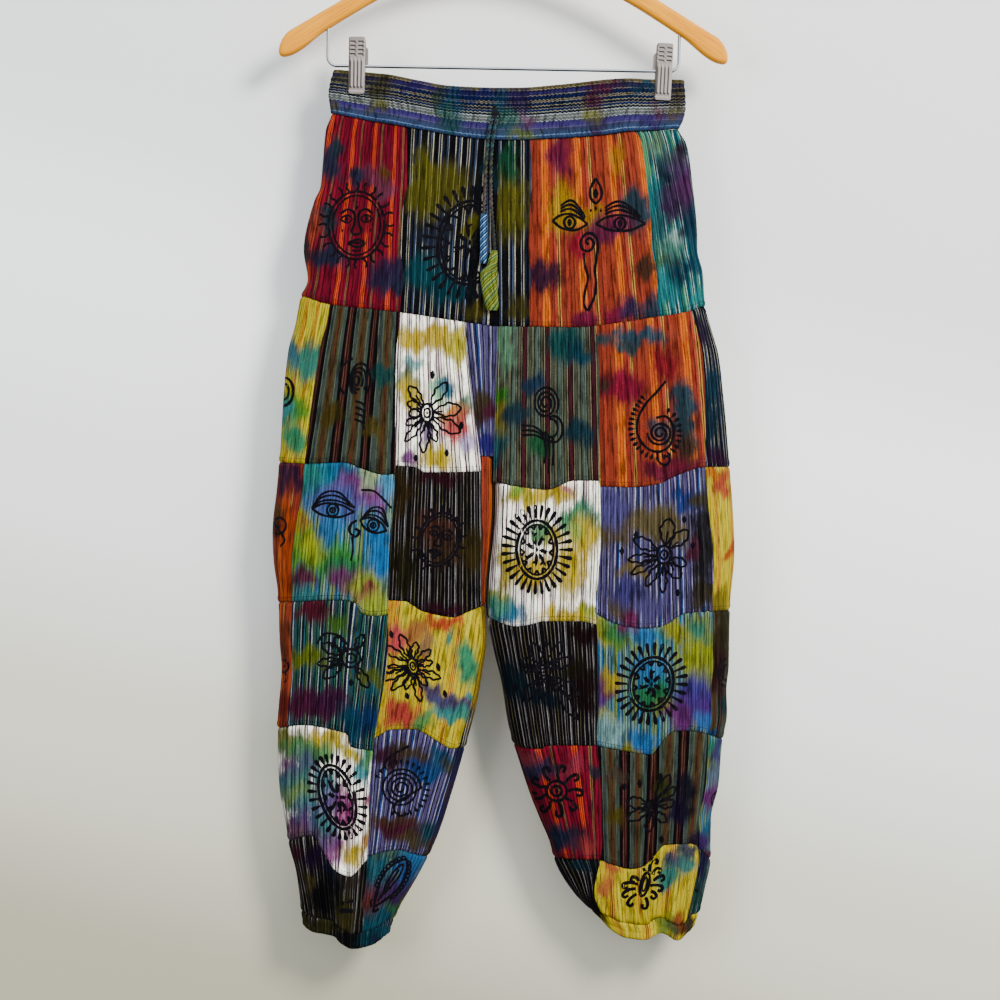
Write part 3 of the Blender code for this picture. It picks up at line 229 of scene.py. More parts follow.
# Crinkle cotton is woven of dyed yarns, then crushed lengthwise: matt, streaky, with fine lengthwise creases
# and a soft edge to each dye cloud; the creases' hollows carry painted shade and their crests a painted highlight
def clothMaterial(name, stripes, stripeAxis=0, wander=clothLook["yarnWander"], slant=0.0):
    made, tree, shader = startMaterial(
        name, Roughness=clothLook["roughness"], Specular_IOR_Level=clothLook["specular"],
        Sheen_Weight=clothLook["sheen"], Sheen_Roughness=clothLook["sheenRoughness"],
    )
    place = add(tree, "ShaderNodeUVMap", uv_map="clothMm")
    parts = add(tree, "ShaderNodeSeparateXYZ", {0: place})
    noises = {}
    for title, scale, detail, roughness in (
        ("drift", (0.16 if stripeAxis else 0.05, 0.03, 1), 2.0, 0.5), ("streaks", (0.5, 0.1, 1), 4.0, 0.65),
        ("yarns", (2.4, 0.45, 1), 2.0, 0.5), ("weave", (1.6, 1.3, 1), 2.0, 0.5),
        ("creases", (1 / clothLook["wrinkleWidth"], 1 / clothLook["wrinkleLength"], 1), 3.0, 0.55),
    ):
        spread = add(tree, "ShaderNodeVectorMath", {0: place, 1: scale}, operation="MULTIPLY")
        inputs = {"Vector": spread, "Scale": 1.0, "Detail": detail, "Roughness": roughness}
        noises[title] = add(tree, "ShaderNodeTexNoise", inputs)
    drift = add(tree, "ShaderNodeMapRange", {0: noises["drift"], 1: 0, 2: 1, 3: -1, 4: 1})
    wandered = {0: drift, 1: wander, 2: parts.outputs[stripeAxis]}
    wandered = add(tree, "ShaderNodeMath", wandered, operation="MULTIPLY_ADD")
    slanted = {0: parts.outputs[1 - stripeAxis], 1: slant, 2: wandered}
    drifted = add(tree, "ShaderNodeMath", slanted, operation="MULTIPLY_ADD")
    repeat = sum(width for width, _ in stripes)
    turns = add(tree, "ShaderNodeMath", {0: drifted, 1: repeat}, operation="DIVIDE")
    share = add(tree, "ShaderNodeMath", {0: turns}, operation="FRACT")
    starts = np.cumsum([0.0, *(width for width, _ in stripes)])
    stops = [(start / repeat, ownColour(colour)) for start, (_, colour) in zip(starts.tolist(), stripes)]
    stripe = add(tree, "ShaderNodeValToRGB", {0: share}, stops)
    stripe.color_ramp.interpolation = "CONSTANT"
    # dye clouds lie over the stripes, which still show through them
    dye = add(tree, "ShaderNodeAttribute", attribute_name="dye")
    streaks = add(tree, "ShaderNodeMapRange", {0: noises["streaks"], 1: 0.25, 2: 0.75, 3: -0.3, 4: 0.3})
    wetted = add(tree, "ShaderNodeMath", {0: dye.outputs["Alpha"], 1: streaks}, operation="ADD")
    edge = {0: wetted, 1: 0.02, 2: 0.94, 3: 0, 4: 0.97}
    amount = add(tree, "ShaderNodeMapRange", edge, interpolation_type="SMOOTHSTEP")
    value = add(tree, "ShaderNodeRGBToBW", {0: stripe})
    through = add(tree, "ShaderNodeMapRange", {0: value, 1: 0.0, 2: 0.1, 3: 0.34, 4: 1.05})
    tinted = add(tree, "ShaderNodeVectorMath", {0: dye, "Scale": through}, operation="SCALE")
    mixed = add(tree, "ShaderNodeMix", {0: amount, 6: stripe, 7: tinted}, data_type="RGBA")
    # heathered yarns, and painted shade in the creases' hollows with a painted highlight on their crests
    light, dark = 1 + clothLook["heather"], 1 - clothLook["heather"]
    yarns = add(tree, "ShaderNodeMapRange", {0: noises["yarns"], 1: 0.3, 2: 0.7, 3: dark, 4: light})
    creases, darkestPaintedShade = noises["creases"], 1 - clothLook["wrinkleShade"]
    hollow = add(tree, "ShaderNodeMapRange", {0: creases, 1: 0.36, 2: 0.52, 3: darkestPaintedShade, 4: 1.12})
    shade = add(tree, "ShaderNodeMath", {0: yarns, 1: hollow}, operation="MULTIPLY")
    shown = add(tree, "ShaderNodeVectorMath", {0: mixed.outputs[2], "Scale": shade}, operation="SCALE")
    bump = {"Strength": 0.8, "Distance": clothLook["wrinkleDepth"] * mm, "Height": creases}
    bump = add(tree, "ShaderNodeBump", bump)
    fine = {"Strength": 0.7, "Distance": clothLook["yarnDepth"] * mm, "Height": noises["weave"], "Normal": bump}
    feed(tree, shader, {"Base Color": shown, "Normal": add(tree, "ShaderNodeBump", fine)})
    return made


clothMaterials = {
    name: clothMaterial(f"crinkleCotton{name[0].upper()}{name[1:]}", stripes)
    for name, stripes in fabrics.items()
    if name not in ("band", "tipBlue", "tipGreen")
}
for name, title, wander, slant in (
    ("band", "shirredCottonBand", 0.9, 0.0), ("tipBlue", "rolledCottonBlue", 0.2, 0.9),
    ("tipGreen", "rolledCottonGreen", 0.3, 0.8),
):
    clothMaterials[name] = clothMaterial(title, fabrics[name], stripeAxis=1, wander=wander, slant=slant)
print("cloth materials made")

# The outline of the garment as it hangs: (drop, x)
outline = {
    "bodyLeft": [
        (194, -168), (219, -173), (238, -170.5), (254, -176), (292, -178.5), (311, -180), (325, -186), (375, -196),
        (404, -191.5), (422, -198), (450, -203), (475, -209.5), (528, -214), (587, -216.5), (607, -218),
    ],
    "bodyRight": [
        (198, 180), (223, 182.6), (238, 180), (247, 176.5), (261, 184), (299, 191), (350, 197), (368, 197.5),
        (390, 203), (424, 206), (450, 213.5), (473, 220.5), (517, 226.5), (585, 233.5), (610, 236),
    ],
    "leftOutside": [
        (587, -216.5), (607, -218), (656, -222), (684, -220.5), (718, -215.5), (766, -213), (793, -210.5),
        (852, -213.5), (886, -212.5), (926, -209), (947, -204), (967, -200.5), (995, -192.5), (1023, -187.5),
        (1070, -182),
    ],
    "leftInside": [
        (578, -3.2), (630, -2.5), (662, -4), (683, -6.3), (701, -7.8), (722, -8.9), (762, -6.8), (793, -10.5),
        (828, -16), (868, -26.2), (909, -37.5), (956, -52), (977, -61), (1011, -78.7), (1026, -88), (1049, -98),
        (1070, -101),
    ],
    "rightInside": [
        (578, -1.8), (630, -1.1), (662, -2.6), (683, -4.9), (701, -6.4), (722, -7.5), (738, -5.8), (768, 0.1),
        (805, 9.7), (843, 16.4), (886, 30), (913, 39.6), (938, 50), (959, 59.4), (983, 67), (1014, 87.4),
        (1027, 101.6), (1049, 121), (1060, 123),
    ],
    "rightOutside": [
        (585, 233.5), (634, 238), (670, 239.7), (726, 236), (781, 236), (807, 234), (832, 235), (855, 231),
        (901, 228), (935, 221), (978, 220.8), (1008, 215), (1036, 207.5), (1060, 200),
    ],
}
hang = {
    "bodyMiddle": -2.5, "outerRound": 0.42, "innerRound": 0.38, "sidePower": 3.5,
    "clipX": (-146.0, 160.6), "pinchWidth": 28.0, "pinchShare": 0.744,
    "creaseWidth": 11.0, "creaseShare": 0.25, "straightBelowSeat": 22, "backCrotchDrop": 588.0,
    "foldEase": 4.0, "stripReach": 6.0, "backTurnShare": 0.7, "sewnReach": 6.0,
}
# Half the depth of the cloth tube from front to back: (drop, half depth)
halfDepth = [
    (194, 12.5), (255, 12.5), (300, 17), (425, 24), (510, 27.5), (587, 27.5), (657, 30), (727, 27.5), (790, 28.5),
    (855, 24.5), (910, 24.5), (970, 20), (1010, 18), (1040, 13.5), (1070, 12.5),
]
# Folds on each face: x at the top, drop there, x at the foot, drop there, half width, height
folds = {
    "front": [
        (-140, 262, -158, 410, 13, -2.6), (-119, 262, -121, 400, 12, 1.8), (152, 262, 172, 415, 13, -2.8),
         (-50, 470, -30, 588, 14, -2.0), (60, 470, 30, 600, 15, -2.2), (-160, 640, -135, 735, 14, 2.4),
         (150, 640, 175, 738, 16, -2.6), (-150, 760, -141, 868, 11, 3.0), (160, 770, 172, 860, 12, 3.0),
         (-168, 885, -162, 975, 11, -3.0), (176, 880, 166, 975, 12, 3.2), (186, 975, 164, 1050, 9, -4.0),
         (-143, 985, -141, 1055, 10, 2.6),
    ],
    "back": [
        (-110, 262, -130, 410, 14, -2.4), (120, 262, 138, 415, 14, -2.4), (-60, 470, -30, 585, 16, -2.4),
         (70, 470, 34, 585, 16, -2.4), (-130, 640, -120, 735, 15, 2.4), (120, 640, 132, 735, 15, 2.4),
         (-120, 860, -126, 980, 13, -3.0), (140, 860, 150, 980, 13, -3.0), (-140, 985, -138, 1050, 10, 2.6),
         (158, 985, 160, 1045, 10, 2.6),
    ],
}
# Narrower folds that only the cloth's face has, in the same columns
fineFolds = {
    "front": [
        (-150, 262, -172, 400, 4, -1.6), (-105, 270, -112, 380, 3.5, -1.0), (-70, 262, -76, 350, 3.5, 1.0),
         (-40, 266, -46, 360, 3, -0.9), (14, 266, 12, 360, 3, 0.9), (60, 262, 64, 330, 3.5, -0.9),
         (120, 256, 150, 400, 4.5, 1.4), (165, 256, 185, 400, 4, -1.8), (-185, 440, -205, 580, 4.5, -1.4),
         (-120, 445, -128, 560, 4, 1.0), (-72, 455, -40, 590, 4, -1.5), (-56, 455, -24, 585, 3.5, 1.3),
         (-36, 452, -12, 590, 3.5, -1.4), (44, 452, 14, 600, 4, -1.4), (70, 450, 36, 604, 4, 1.3),
         (120, 445, 140, 590, 4.5, 1.1), (176, 436, 192, 590, 4, -1.6), (20, 610, 8, 735, 4, -1.4),
         (46, 614, 34, 700, 4.5, 1.0), (-198, 600, -204, 735, 5, -2.2), (-164, 610, -150, 730, 4, 1.2),
         (-40, 606, -30, 730, 4, -1.2), (180, 600, 206, 735, 5, -2.0), (196, 600, 216, 735, 3.5, 1.6),
         (-206, 740, -200, 850, 4, 2.0), (-132, 740, -128, 868, 3.5, -2.0), (-116, 740, -119, 855, 3.5, 1.6),
         (190, 740, 204, 850, 4.5, 1.8), (134, 760, 150, 866, 4, -1.4), (212, 745, 216, 850, 3.5, -2.0),
         (-190, 860, -172, 960, 4.5, -2.0), (-138, 870, -132, 975, 3.5, 1.2), (150, 870, 166, 960, 4, -1.8),
         (186, 865, 190, 960, 4, 2.0), (196, 960, 178, 1040, 4, 3.2), (176, 975, 168, 1046, 3.5, -3.0),
         (-176, 975, -162, 1050, 4, -2.2), (-156, 985, -150, 1052, 3, 1.8), (-122, 980, -126, 1060, 3.5, -1.8),
         (140, 985, 138, 1045, 4, -1.2),
    ],
    "back": [
        (-150, 270, -168, 400, 5, -1.6), (150, 270, 168, 400, 5, -1.6), (-40, 270, -46, 400, 4, 1.2),
         (40, 270, 46, 400, 4, 1.2), (-80, 450, -50, 580, 5, 1.5), (90, 450, 52, 580, 5, 1.5),
         (-170, 600, -160, 735, 5, -1.8), (180, 600, 176, 735, 5, -1.8), (-90, 740, -100, 860, 5, 1.6),
         (110, 740, 128, 860, 5, -1.6), (-150, 860, -150, 975, 4.5, 1.8), (170, 860, 172, 975, 4.5, 1.8),
    ],
}
bandTop = [
    (-170, 194), (-137, 196.5), (-83, 205.5), (-53, 210), (-13, 211.2), (17, 210.7), (57, 207), (117, 200),
    (152, 198.4), (182, 198),
]
# Each seam round the garment strip by strip, because neighbouring strips don't meet level: (x, drop)
seams = {
    "waist": [[
        (-172, 237.5), (-85, 253), (-22, 262), (0, 263), (58, 260), (100, 256.3), (135, 251.2), (178, 247),
    ]],
    "yoke": [[
        (-198, 421.5), (-169, 430), (-135, 433.5), (-98, 437), (-33, 445.5), (0, 449), (73, 448.8), (110, 444.6),
        (147, 438.5), (192, 430), (205, 424.5),
    ]],
    "seat": [
        [(-216.5, 587), (-190, 588.4), (-150, 586.7), (-130, 593.3), (-110, 598), (-99.5, 597)],
        [(-99.5, 588.8), (-80, 590), (-70, 595), (-47, 594.4), (-14, 592.9)],
        [(-14, 578.2), (-2.5, 578.2)],
        [(-2.5, 603.5), (17, 606.8), (50, 610), (77, 600.7), (102, 600.3)],
        [(102, 605.9), (133, 606.2), (160, 602.3), (176, 595), (206, 585), (233.5, 584)],
    ],
    "thigh": [
        [(-215, 726.8), (-151, 722.7), (-136, 725.5), (-132, 734.4), (-117.5, 738), (-104, 736)],
        [(-104, 721.9), (-87, 722.6), (-72, 731.3), (-59, 735), (-40, 737.8), (-22.6, 731.5), (-7.2, 726)],
        [(-7.2, 738.7), (20, 746), (35.6, 743.5), (48, 740.3), (84, 739.6), (101.5, 742.3)],
        [(101.5, 731.3), (112.6, 738), (131, 744), (148, 745.5), (166, 743), (190, 730), (236, 726.5)],
    ],
    "knee": [
        [(-213.5, 851.8), (-186, 847.4), (-155, 851.8), (-143, 855), (-137, 868), (-115.3, 871.2)],
        [(-115.3, 859), (-100, 850), (-78.5, 849.5), (-61.4, 856), (-47.3, 864), (-35, 868.7), (-26, 868)],
        [(0, 862), (30, 866.6), (47.4, 866.8), (53.7, 863.2), (104.5, 862.3)],
        [(104.5, 862.3), (130, 867), (159, 870.3), (166, 861), (179.5, 847), (195, 846.2), (231.4, 855)],
    ],
    "calf": [
        [(-200.5, 964.6), (-175, 957.3), (-163, 977), (-154, 991.8), (-140, 997), (-121, 980.2)],
        [(-121, 976.7), (-102, 971), (-91, 969.7), (-76, 973.5), (-61.3, 977.2)],
        [(0, 971), (62, 971), (110.5, 973.7)],
        [(110.5, 976.2), (141, 984.7), (154, 981.4), (163, 971), (173, 960), (200, 958.6), (221, 975)],
    ],
    "hemLeft": [
        (-183.5, 1049.3), (-179, 1053), (-153, 1058), (-146, 1065), (-134, 1070), (-114, 1066), (-99, 1056),
    ],
    "hemRight": [
        (115, 1043), (125, 1049), (135, 1054), (157, 1056), (172, 1049), (190, 1056.4), (202, 1045),
    ],
}
backSag = {"seat": 6.0, "thigh": 9.0, "knee": 11.0, "calf": 12.0, "cuff": 7.0, "hem": 7.0}
levelDrop = {
    "waist": 250, "yoke": 437, "seat": 590, "thigh": 732,
    "knee": 858, "calf": 974, "cuff": 1042, "hem": 1052,
}
middle = hang["bodyMiddle"]
# Lengthwise seams: key, face, x at each level (or the place round the ring), columns to the next
keys = {
    "body": (("waist", "yoke", "seat"), [
        ("middleBack", "back", (middle, middle, middle), 7), ("backLeft", "back", (-128, -142, -150), 2),
        ("sideLeft", "ring", (0, 0, 0), 2), ("a", "front", (None, -168.5, -190), 5),
        ("b", "front", (-94, -97.7, -99.5), 5), ("c", "front", (None, -32, -14), 1),
        ("d", "front", (-6.8, -1.5, middle), 2), ("eYoke", "front", (26.2, None, None), 4),
        ("e", "front", (None, 94.4, 102), 4), ("fYoke", "front", (134, None, None), 2),
        ("f", "front", (None, 193.5, 208), 2), ("sideRight", "ring", (3, 3, 3), 2),
        ("backRight", "back", (135, 148, 168), 7), ("middleEnd", "back", (middle, middle, middle), 0),
    ]),
    "leftLeg": (("seat", "thigh", "knee", "calf", "cuff"), [
        ("backLeft", "back", (-150, -150, -152, -148, -154), 2), ("sideLeft", "ring", (0, 0, 0, 0, 0), 2),
        ("a", "front", (-190, -201.5, -203.5, -197.5, -183.5), 5),
        ("b", "front", (-99.5, -104, -115.3, -121, -123.5), 5),
        ("c", "front", (-14, -11, -29, -64, -98), 1),
        ("crotchFront", "ring", (2.88, 2.92, 2.92, 2.92, 2.92), 1), ("inseam", "ring", (3, 3, 3, 3, 3), 1),
        ("crotchBack", "ring", (3.12, 3.12, 3.12, 3.12, 3.12), 7),
        ("backEnd", "back", (-150, -150, -152, -148, -154), 0),
    ]),
    "rightLeg": (("seat", "thigh", "knee", "calf", "cuff"), [
        ("backRight", "back", (168, 172, 172, 172, 178), 7),
        ("crotchBack", "ring", (-0.12, -0.12, -0.12, -0.12, -0.12), 1),
        ("inseam", "ring", (0, 0, 0, 0, 0), 1), ("d", "ring", (0.06, 0.12, 0.12, 0.12, 0.12), 6),
        ("e", "front", (102, 101.5, 104.5, 110.5, 121), 6),
        ("f", "front", (208, 217.3, 215.6, 208.5, 196.5), 2), ("sideRight", "ring", (3, 3, 3, 3, 3), 2),
        ("backEnd", "back", (168, 172, 172, 172, 178), 0),
    ]),
}


# a smooth curve through rows of (position, value) that never overshoots them
def curve(rows):
    at, value = (np.array(column, float) for column in zip(*rows))
    step = np.diff(at)
    rise = np.diff(value) / step
    slope = np.concatenate([rise[:1], np.zeros(len(rise) - 1), rise[-1:]])
    for i in range(1, len(rise)):
        if rise[i - 1] * rise[i] > 0:
            near, far = 2 * step[i] + step[i - 1], step[i] + 2 * step[i - 1]
            slope[i] = (near + far) / (near / rise[i - 1] + far / rise[i])

    def read(position):
        p = np.clip(position, at[0], at[-1])
        i = np.clip(np.searchsorted(at, p, "right") - 1, 0, len(step) - 1)
        h, t = step[i], (p - at[i]) / step[i]
        start = (1 + 2 * t) * (1 - t) ** 2 * value[i] + t * (1 - t) ** 2 * h * slope[i]
        return start + t * t * (3 - 2 * t) * value[i + 1] + t * t * (t - 1) * h * slope[i + 1]

    return read


def eased(t):
    t = np.clip(t, 0, 1)
    return t * t * (3 - 2 * t)


edges = {
    "body": (curve(outline["bodyLeft"]), curve(outline["bodyRight"])),
    "leftLeg": (curve(outline["leftOutside"]), curve(outline["leftInside"])),
    "rightLeg": (curve(outline["rightInside"]), curve(outline["rightOutside"])),
}
halfDepthAt = curve(halfDepth)
crotchPowerAt = curve([(587, 24), (640, 9), (727, hang["sidePower"])])
pinchAt = curve([(250, 1.0), (300, 0.6), (400, 0.0)])
creaseAt = curve([(500, 0.0), (587, 1.0)])


def sideShapes(ring, drop):
    left, right = (edge(drop) for edge in edges[ring])
    outer, inner, side = hang["outerRound"], hang["innerRound"], hang["sidePower"]
    if ring == "body":
        return left, right, (outer * (middle - left), outer * (right - middle)), (side, side)
    width = right - left
    if ring == "leftLeg":
        return left, right, (outer * width, inner * width), (side, crotchPowerAt(drop))
    return left, right, (inner * width, outer * width), (crotchPowerAt(drop), side)


def folded(table, x, drop, back):
    lift = 0.0
    for shown, rows in ((1 - back, table["front"]), (back, table["back"])):
        for topX, top, footX, foot, width, height in rows:
            along = (drop - top) / (foot - top)
            across = (x - (topX + (footX - topX) * along)) / width
            ends = eased(along * hang["foldEase"] + 0.5) * eased((1 - along) * hang["foldEase"] + 0.5)
            lift = lift + height * np.exp(-across * across) * ends * shown
    return lift


# x and y on a ring: u runs 0 to 3 along the front, left to right, and 3 to 6 along the back
def ringPoint(ring, u, drop):
    u = np.mod(u, 6.0)
    back = (u > 3).astype(float)
    v = np.where(u > 3, 6 - u, u)
    left, right, (reachLeft, reachRight), (powerLeft, powerRight) = sideShapes(ring, drop)
    turn = np.where(v < 1.5, np.minimum(v, 1), np.minimum(3 - v, 1)) * math.pi / 2
    power = np.where(v < 1.5, powerLeft, powerRight)
    lean = np.cos(turn)
    share = np.clip(v - 1, 0, 1)
    x = (left + reachLeft) * (1 - share) + (right - reachRight) * share
    x = x - np.where(v < 1.5, reachLeft, -reachRight) * lean
    shape = np.sqrt(np.maximum(1 - lean**power, 0))
    depth = halfDepthAt(drop)
    if ring == "body":
        pinch = sum(np.exp(-(((x - clip) / hang["pinchWidth"]) ** 4)) for clip in hang["clipX"])
        depth = depth * (1 - hang["pinchShare"] * pinchAt(drop) * np.minimum(pinch, 1))
        crease = np.exp(-(((x - middle) / hang["creaseWidth"]) ** 2))
        depth = depth * (1 - hang["creaseShare"] * creaseAt(drop) * crease)
    depth = depth + folded(folds, x, drop, back) * shape
    return x, np.where(u > 3, 1, -1) * depth * shape


# x, y, the outward normal's two parts and the speed along the ring, at one height
def ringFrame(ring, u, drop):
    step = 1e-3
    x, y = ringPoint(ring, u, drop)
    x1, y1 = ringPoint(ring, u + step, drop)
    x0, y0 = ringPoint(ring, u - step, drop)
    tx, ty = (x1 - x0) / (2 * step), (y1 - y0) / (2 * step)
    speed = np.hypot(tx, ty)
    return x, y, ty / speed, -tx / speed, speed


def ringPosition(ring, face, value, drop):
    if face == "ring":
        return value
    left, right, (reachLeft, reachRight), _ = sideShapes(ring, drop)
    if value < left + reachLeft:
        v = math.acos(min(1.0, (left + reachLeft - value) / reachLeft)) * 2 / math.pi
    elif value > right - reachRight:
        v = 3 - math.acos(min(1.0, (value - right + reachRight) / reachRight)) * 2 / math.pi
    else:
        v = 1 + (value - left - reachLeft) / (right - reachRight - left - reachLeft)
    return v if face == "front" else 6 - v


# the length run so far at each point of a line, from its steps
def runOf(steps):
    return np.concatenate([[0], np.cumsum(steps)])


# ring positions from start to end, evenly spaced along the cloth, or across the front
def evenly(ring, start, end, columns, drop):
    u = np.linspace(start, end, max(121, columns + 1))
    x, y = ringPoint(ring, u, np.full_like(u, drop))
    acrossFront = 0 < start % 6 < end % 6 < 3
    steps = np.abs(np.diff(x)) if acrossFront else np.hypot(np.diff(x), np.diff(y))
    run = runOf(steps)
    return np.interp(np.linspace(0, run[-1], columns + 1), run, u)


def ringColumns(ring):
    levels, rows = keys[ring]
    table, where = [], {}
    for level, name in enumerate(levels):
        drop = levelDrop[name]
        known, column = [], 0
        for key, face, places, count in rows:
            where[key] = column
            if places[level] is not None:
                u = ringPosition(ring, face, places[level], drop)
                while known and u < known[-1][1]:
                    u += 6
                known.append((column, u))
            column += count
        row = [np.array([known[0][1]])]
        for (c0, u0), (c1, u1) in zip(known, known[1:]):
            row.append(evenly(ring, u0, u1, c1 - c0, drop)[1:])
        table.append(np.concatenate(row))
    return np.array(table), where, levels


cuffHeight = 15.0


# the drop of a seam at ring positions; frontX says which strip's own line it follows
def seamDrop(level, ring, u, frontX):
    x, y = ringPoint(ring, u, np.full_like(u, float(levelDrop[level])))
    left, right = (float(edge(levelDrop[level])) for edge in edges[ring])
    if level in ("waist", "yoke"):
        return curve(seams[level][0])(x)
    if level in ("hem", "cuff"):
        rows = seams["hemLeft" if ring == "leftLeg" else "hemRight"]
        rise = cuffHeight if level == "cuff" else 0.0
        strips = [[(place, drop - rise) for place, drop in rows]]
    else:
        reach = hang["stripReach"]
        strips = [s for s in seams[level] if left - reach < (s[0][0] + s[-1][0]) / 2 < right + reach]
    own = min(strips, key=lambda s: max(s[0][0] - frontX, frontX - s[-1][0], 0))
    front = curve(own)(x)
    outer, inner, crotch = strips[0][0][1], strips[-1][-1][1], hang["backCrotchDrop"]
    if level == "seat" and ring == "leftLeg":
        inner = crotch
    if level == "seat" and ring == "rightLeg":
        outer = crotch
    half, ends = (x - left) / (right - left), (outer, inner)
    if level == "seat" and ring == "body":
        onLeft = x < middle
        half = np.where(onLeft, (x - left) / (middle - left), (x - middle) / (right - middle))
        ends = np.where(onLeft, outer, crotch), np.where(onLeft, crotch, inner)
    half = np.clip(half, 0, 1)
    rear = ends[0] + (ends[1] - ends[0]) * half + backSag[level] * np.sin(math.pi * half)
    turned = eased((y / (hang["backTurnShare"] * float(halfDepthAt(levelDrop[level]))) + 1) / 2)
    return front * (1 - turned) + rear * turned


ringTable = {ring: ringColumns(ring) for ring in keys}


def columnsAt(table, levels, drop):
    at = [levelDrop[name] for name in levels]
    if len(levels) == 5:
        at.insert(1, at[0] + hang["straightBelowSeat"])
        table = np.insert(table, 1, table[0], axis=0)
    return np.stack([curve(list(zip(at, table[:, c])))(drop[:, c]) for c in range(drop.shape[1])], 1)


crinkle = {
    "waves": ((10.5, 0.42), (6.3, 0.30)),
    "tierDip": 1.3, "tierDipWidth": 1.7, "stripDip": 0.8, "stripDipWidth": 1.5,
    "turnedEdge": 0.55, "pucker": 0.5, "puckerWave": 6.4, "puckerReach": 9.0,
    "wall": 1.2, "columnWidth": 1.7, "rowHeight": 4.0, "inset": 0.1, "ankleGather": 1.3, "weaveShift": 11.0,
}


# fine lengthwise crinkles, which wander and come and go
def crinkled(across, drop, seed):
    dice = random.Random(seed)
    lift = 0.0
    for wave, height in crinkle["waves"]:
        sway, start = dice.uniform(24, 60), dice.uniform(0, 6.28)
        turn = 2 * math.pi * (across + 1.3 * np.sin(drop / sway + start)) / wave + 3 * start
        lift = lift + height * np.sin(turn) * (0.6 + 0.4 * np.sin(across / (2.7 * wave) + drop / 70 + start))
    return lift


# name, ring, upper level, first key, last key, fabric
patches = [
    ("yoke_red", "body", 0, "backLeft", "b", "red"),
    ("yoke_black_left", "body", 0, "b", "d", "black"),
    ("yoke_black_right", "body", 0, "d", "eYoke", "black"),
    ("yoke_orange", "body", 0, "eYoke", "fYoke", "orange"),
    ("yoke_teal", "body", 0, "fYoke", "backRight", "teal"),
    ("yoke_back_right", "body", 0, "backRight", "middleEnd", "violet"),
    ("yoke_back_left", "body", 0, "middleBack", "backLeft", "green"),
    ("seat_side_left", "body", 1, "backLeft", "a", "lemon"),
    ("seat_brown", "body", 1, "a", "b", "brown"),
    ("seat_white", "body", 1, "b", "c", "white"),
    ("seat_violet", "body", 1, "c", "d", "violet"),
    ("seat_green", "body", 1, "d", "e", "green"),
    ("seat_orange", "body", 1, "e", "f", "orange"),
    ("seat_side_right", "body", 1, "f", "backRight", "black"),
    ("seat_back_right", "body", 1, "backRight", "middleEnd", "red"),
    ("seat_back_left", "body", 1, "middleBack", "backLeft", "brown"),
]
legStrips = (
    ("left_side", "leftLeg", "backLeft", "a"), ("left_outer", "leftLeg", "a", "b"),
    ("left_inner", "leftLeg", "b", "c"), ("left_back", "leftLeg", "c", "backEnd"),
    ("right_back", "rightLeg", "backRight", "d"), ("right_inner", "rightLeg", "d", "e"),
    ("right_outer", "rightLeg", "e", "f"), ("right_side", "rightLeg", "f", "backEnd"),
)
legCloths = {
    "thigh": ("orange", "sky", "blackPin", "orange", "green", "white", "violet", "yellow"),
    "knee": ("orange", "tealNavy", "yellow", "black", "white", "blackPin", "sky", "brown"),
    "calf": ("white", "white", "violet", "brown", "orange", "red", "brown", "sky"),
    "ankle": ("blackPin", "blackPin", "sky", "yellow", "violet", "blackPin", "yellow", "tealNavy"),
}
for level, (tier, cloths) in enumerate(legCloths.items()):
    for (strip, ring, first, last), cloth in zip(legStrips, cloths):
        patches.append((f"{tier}_{strip}", ring, level, first, last, cloth))
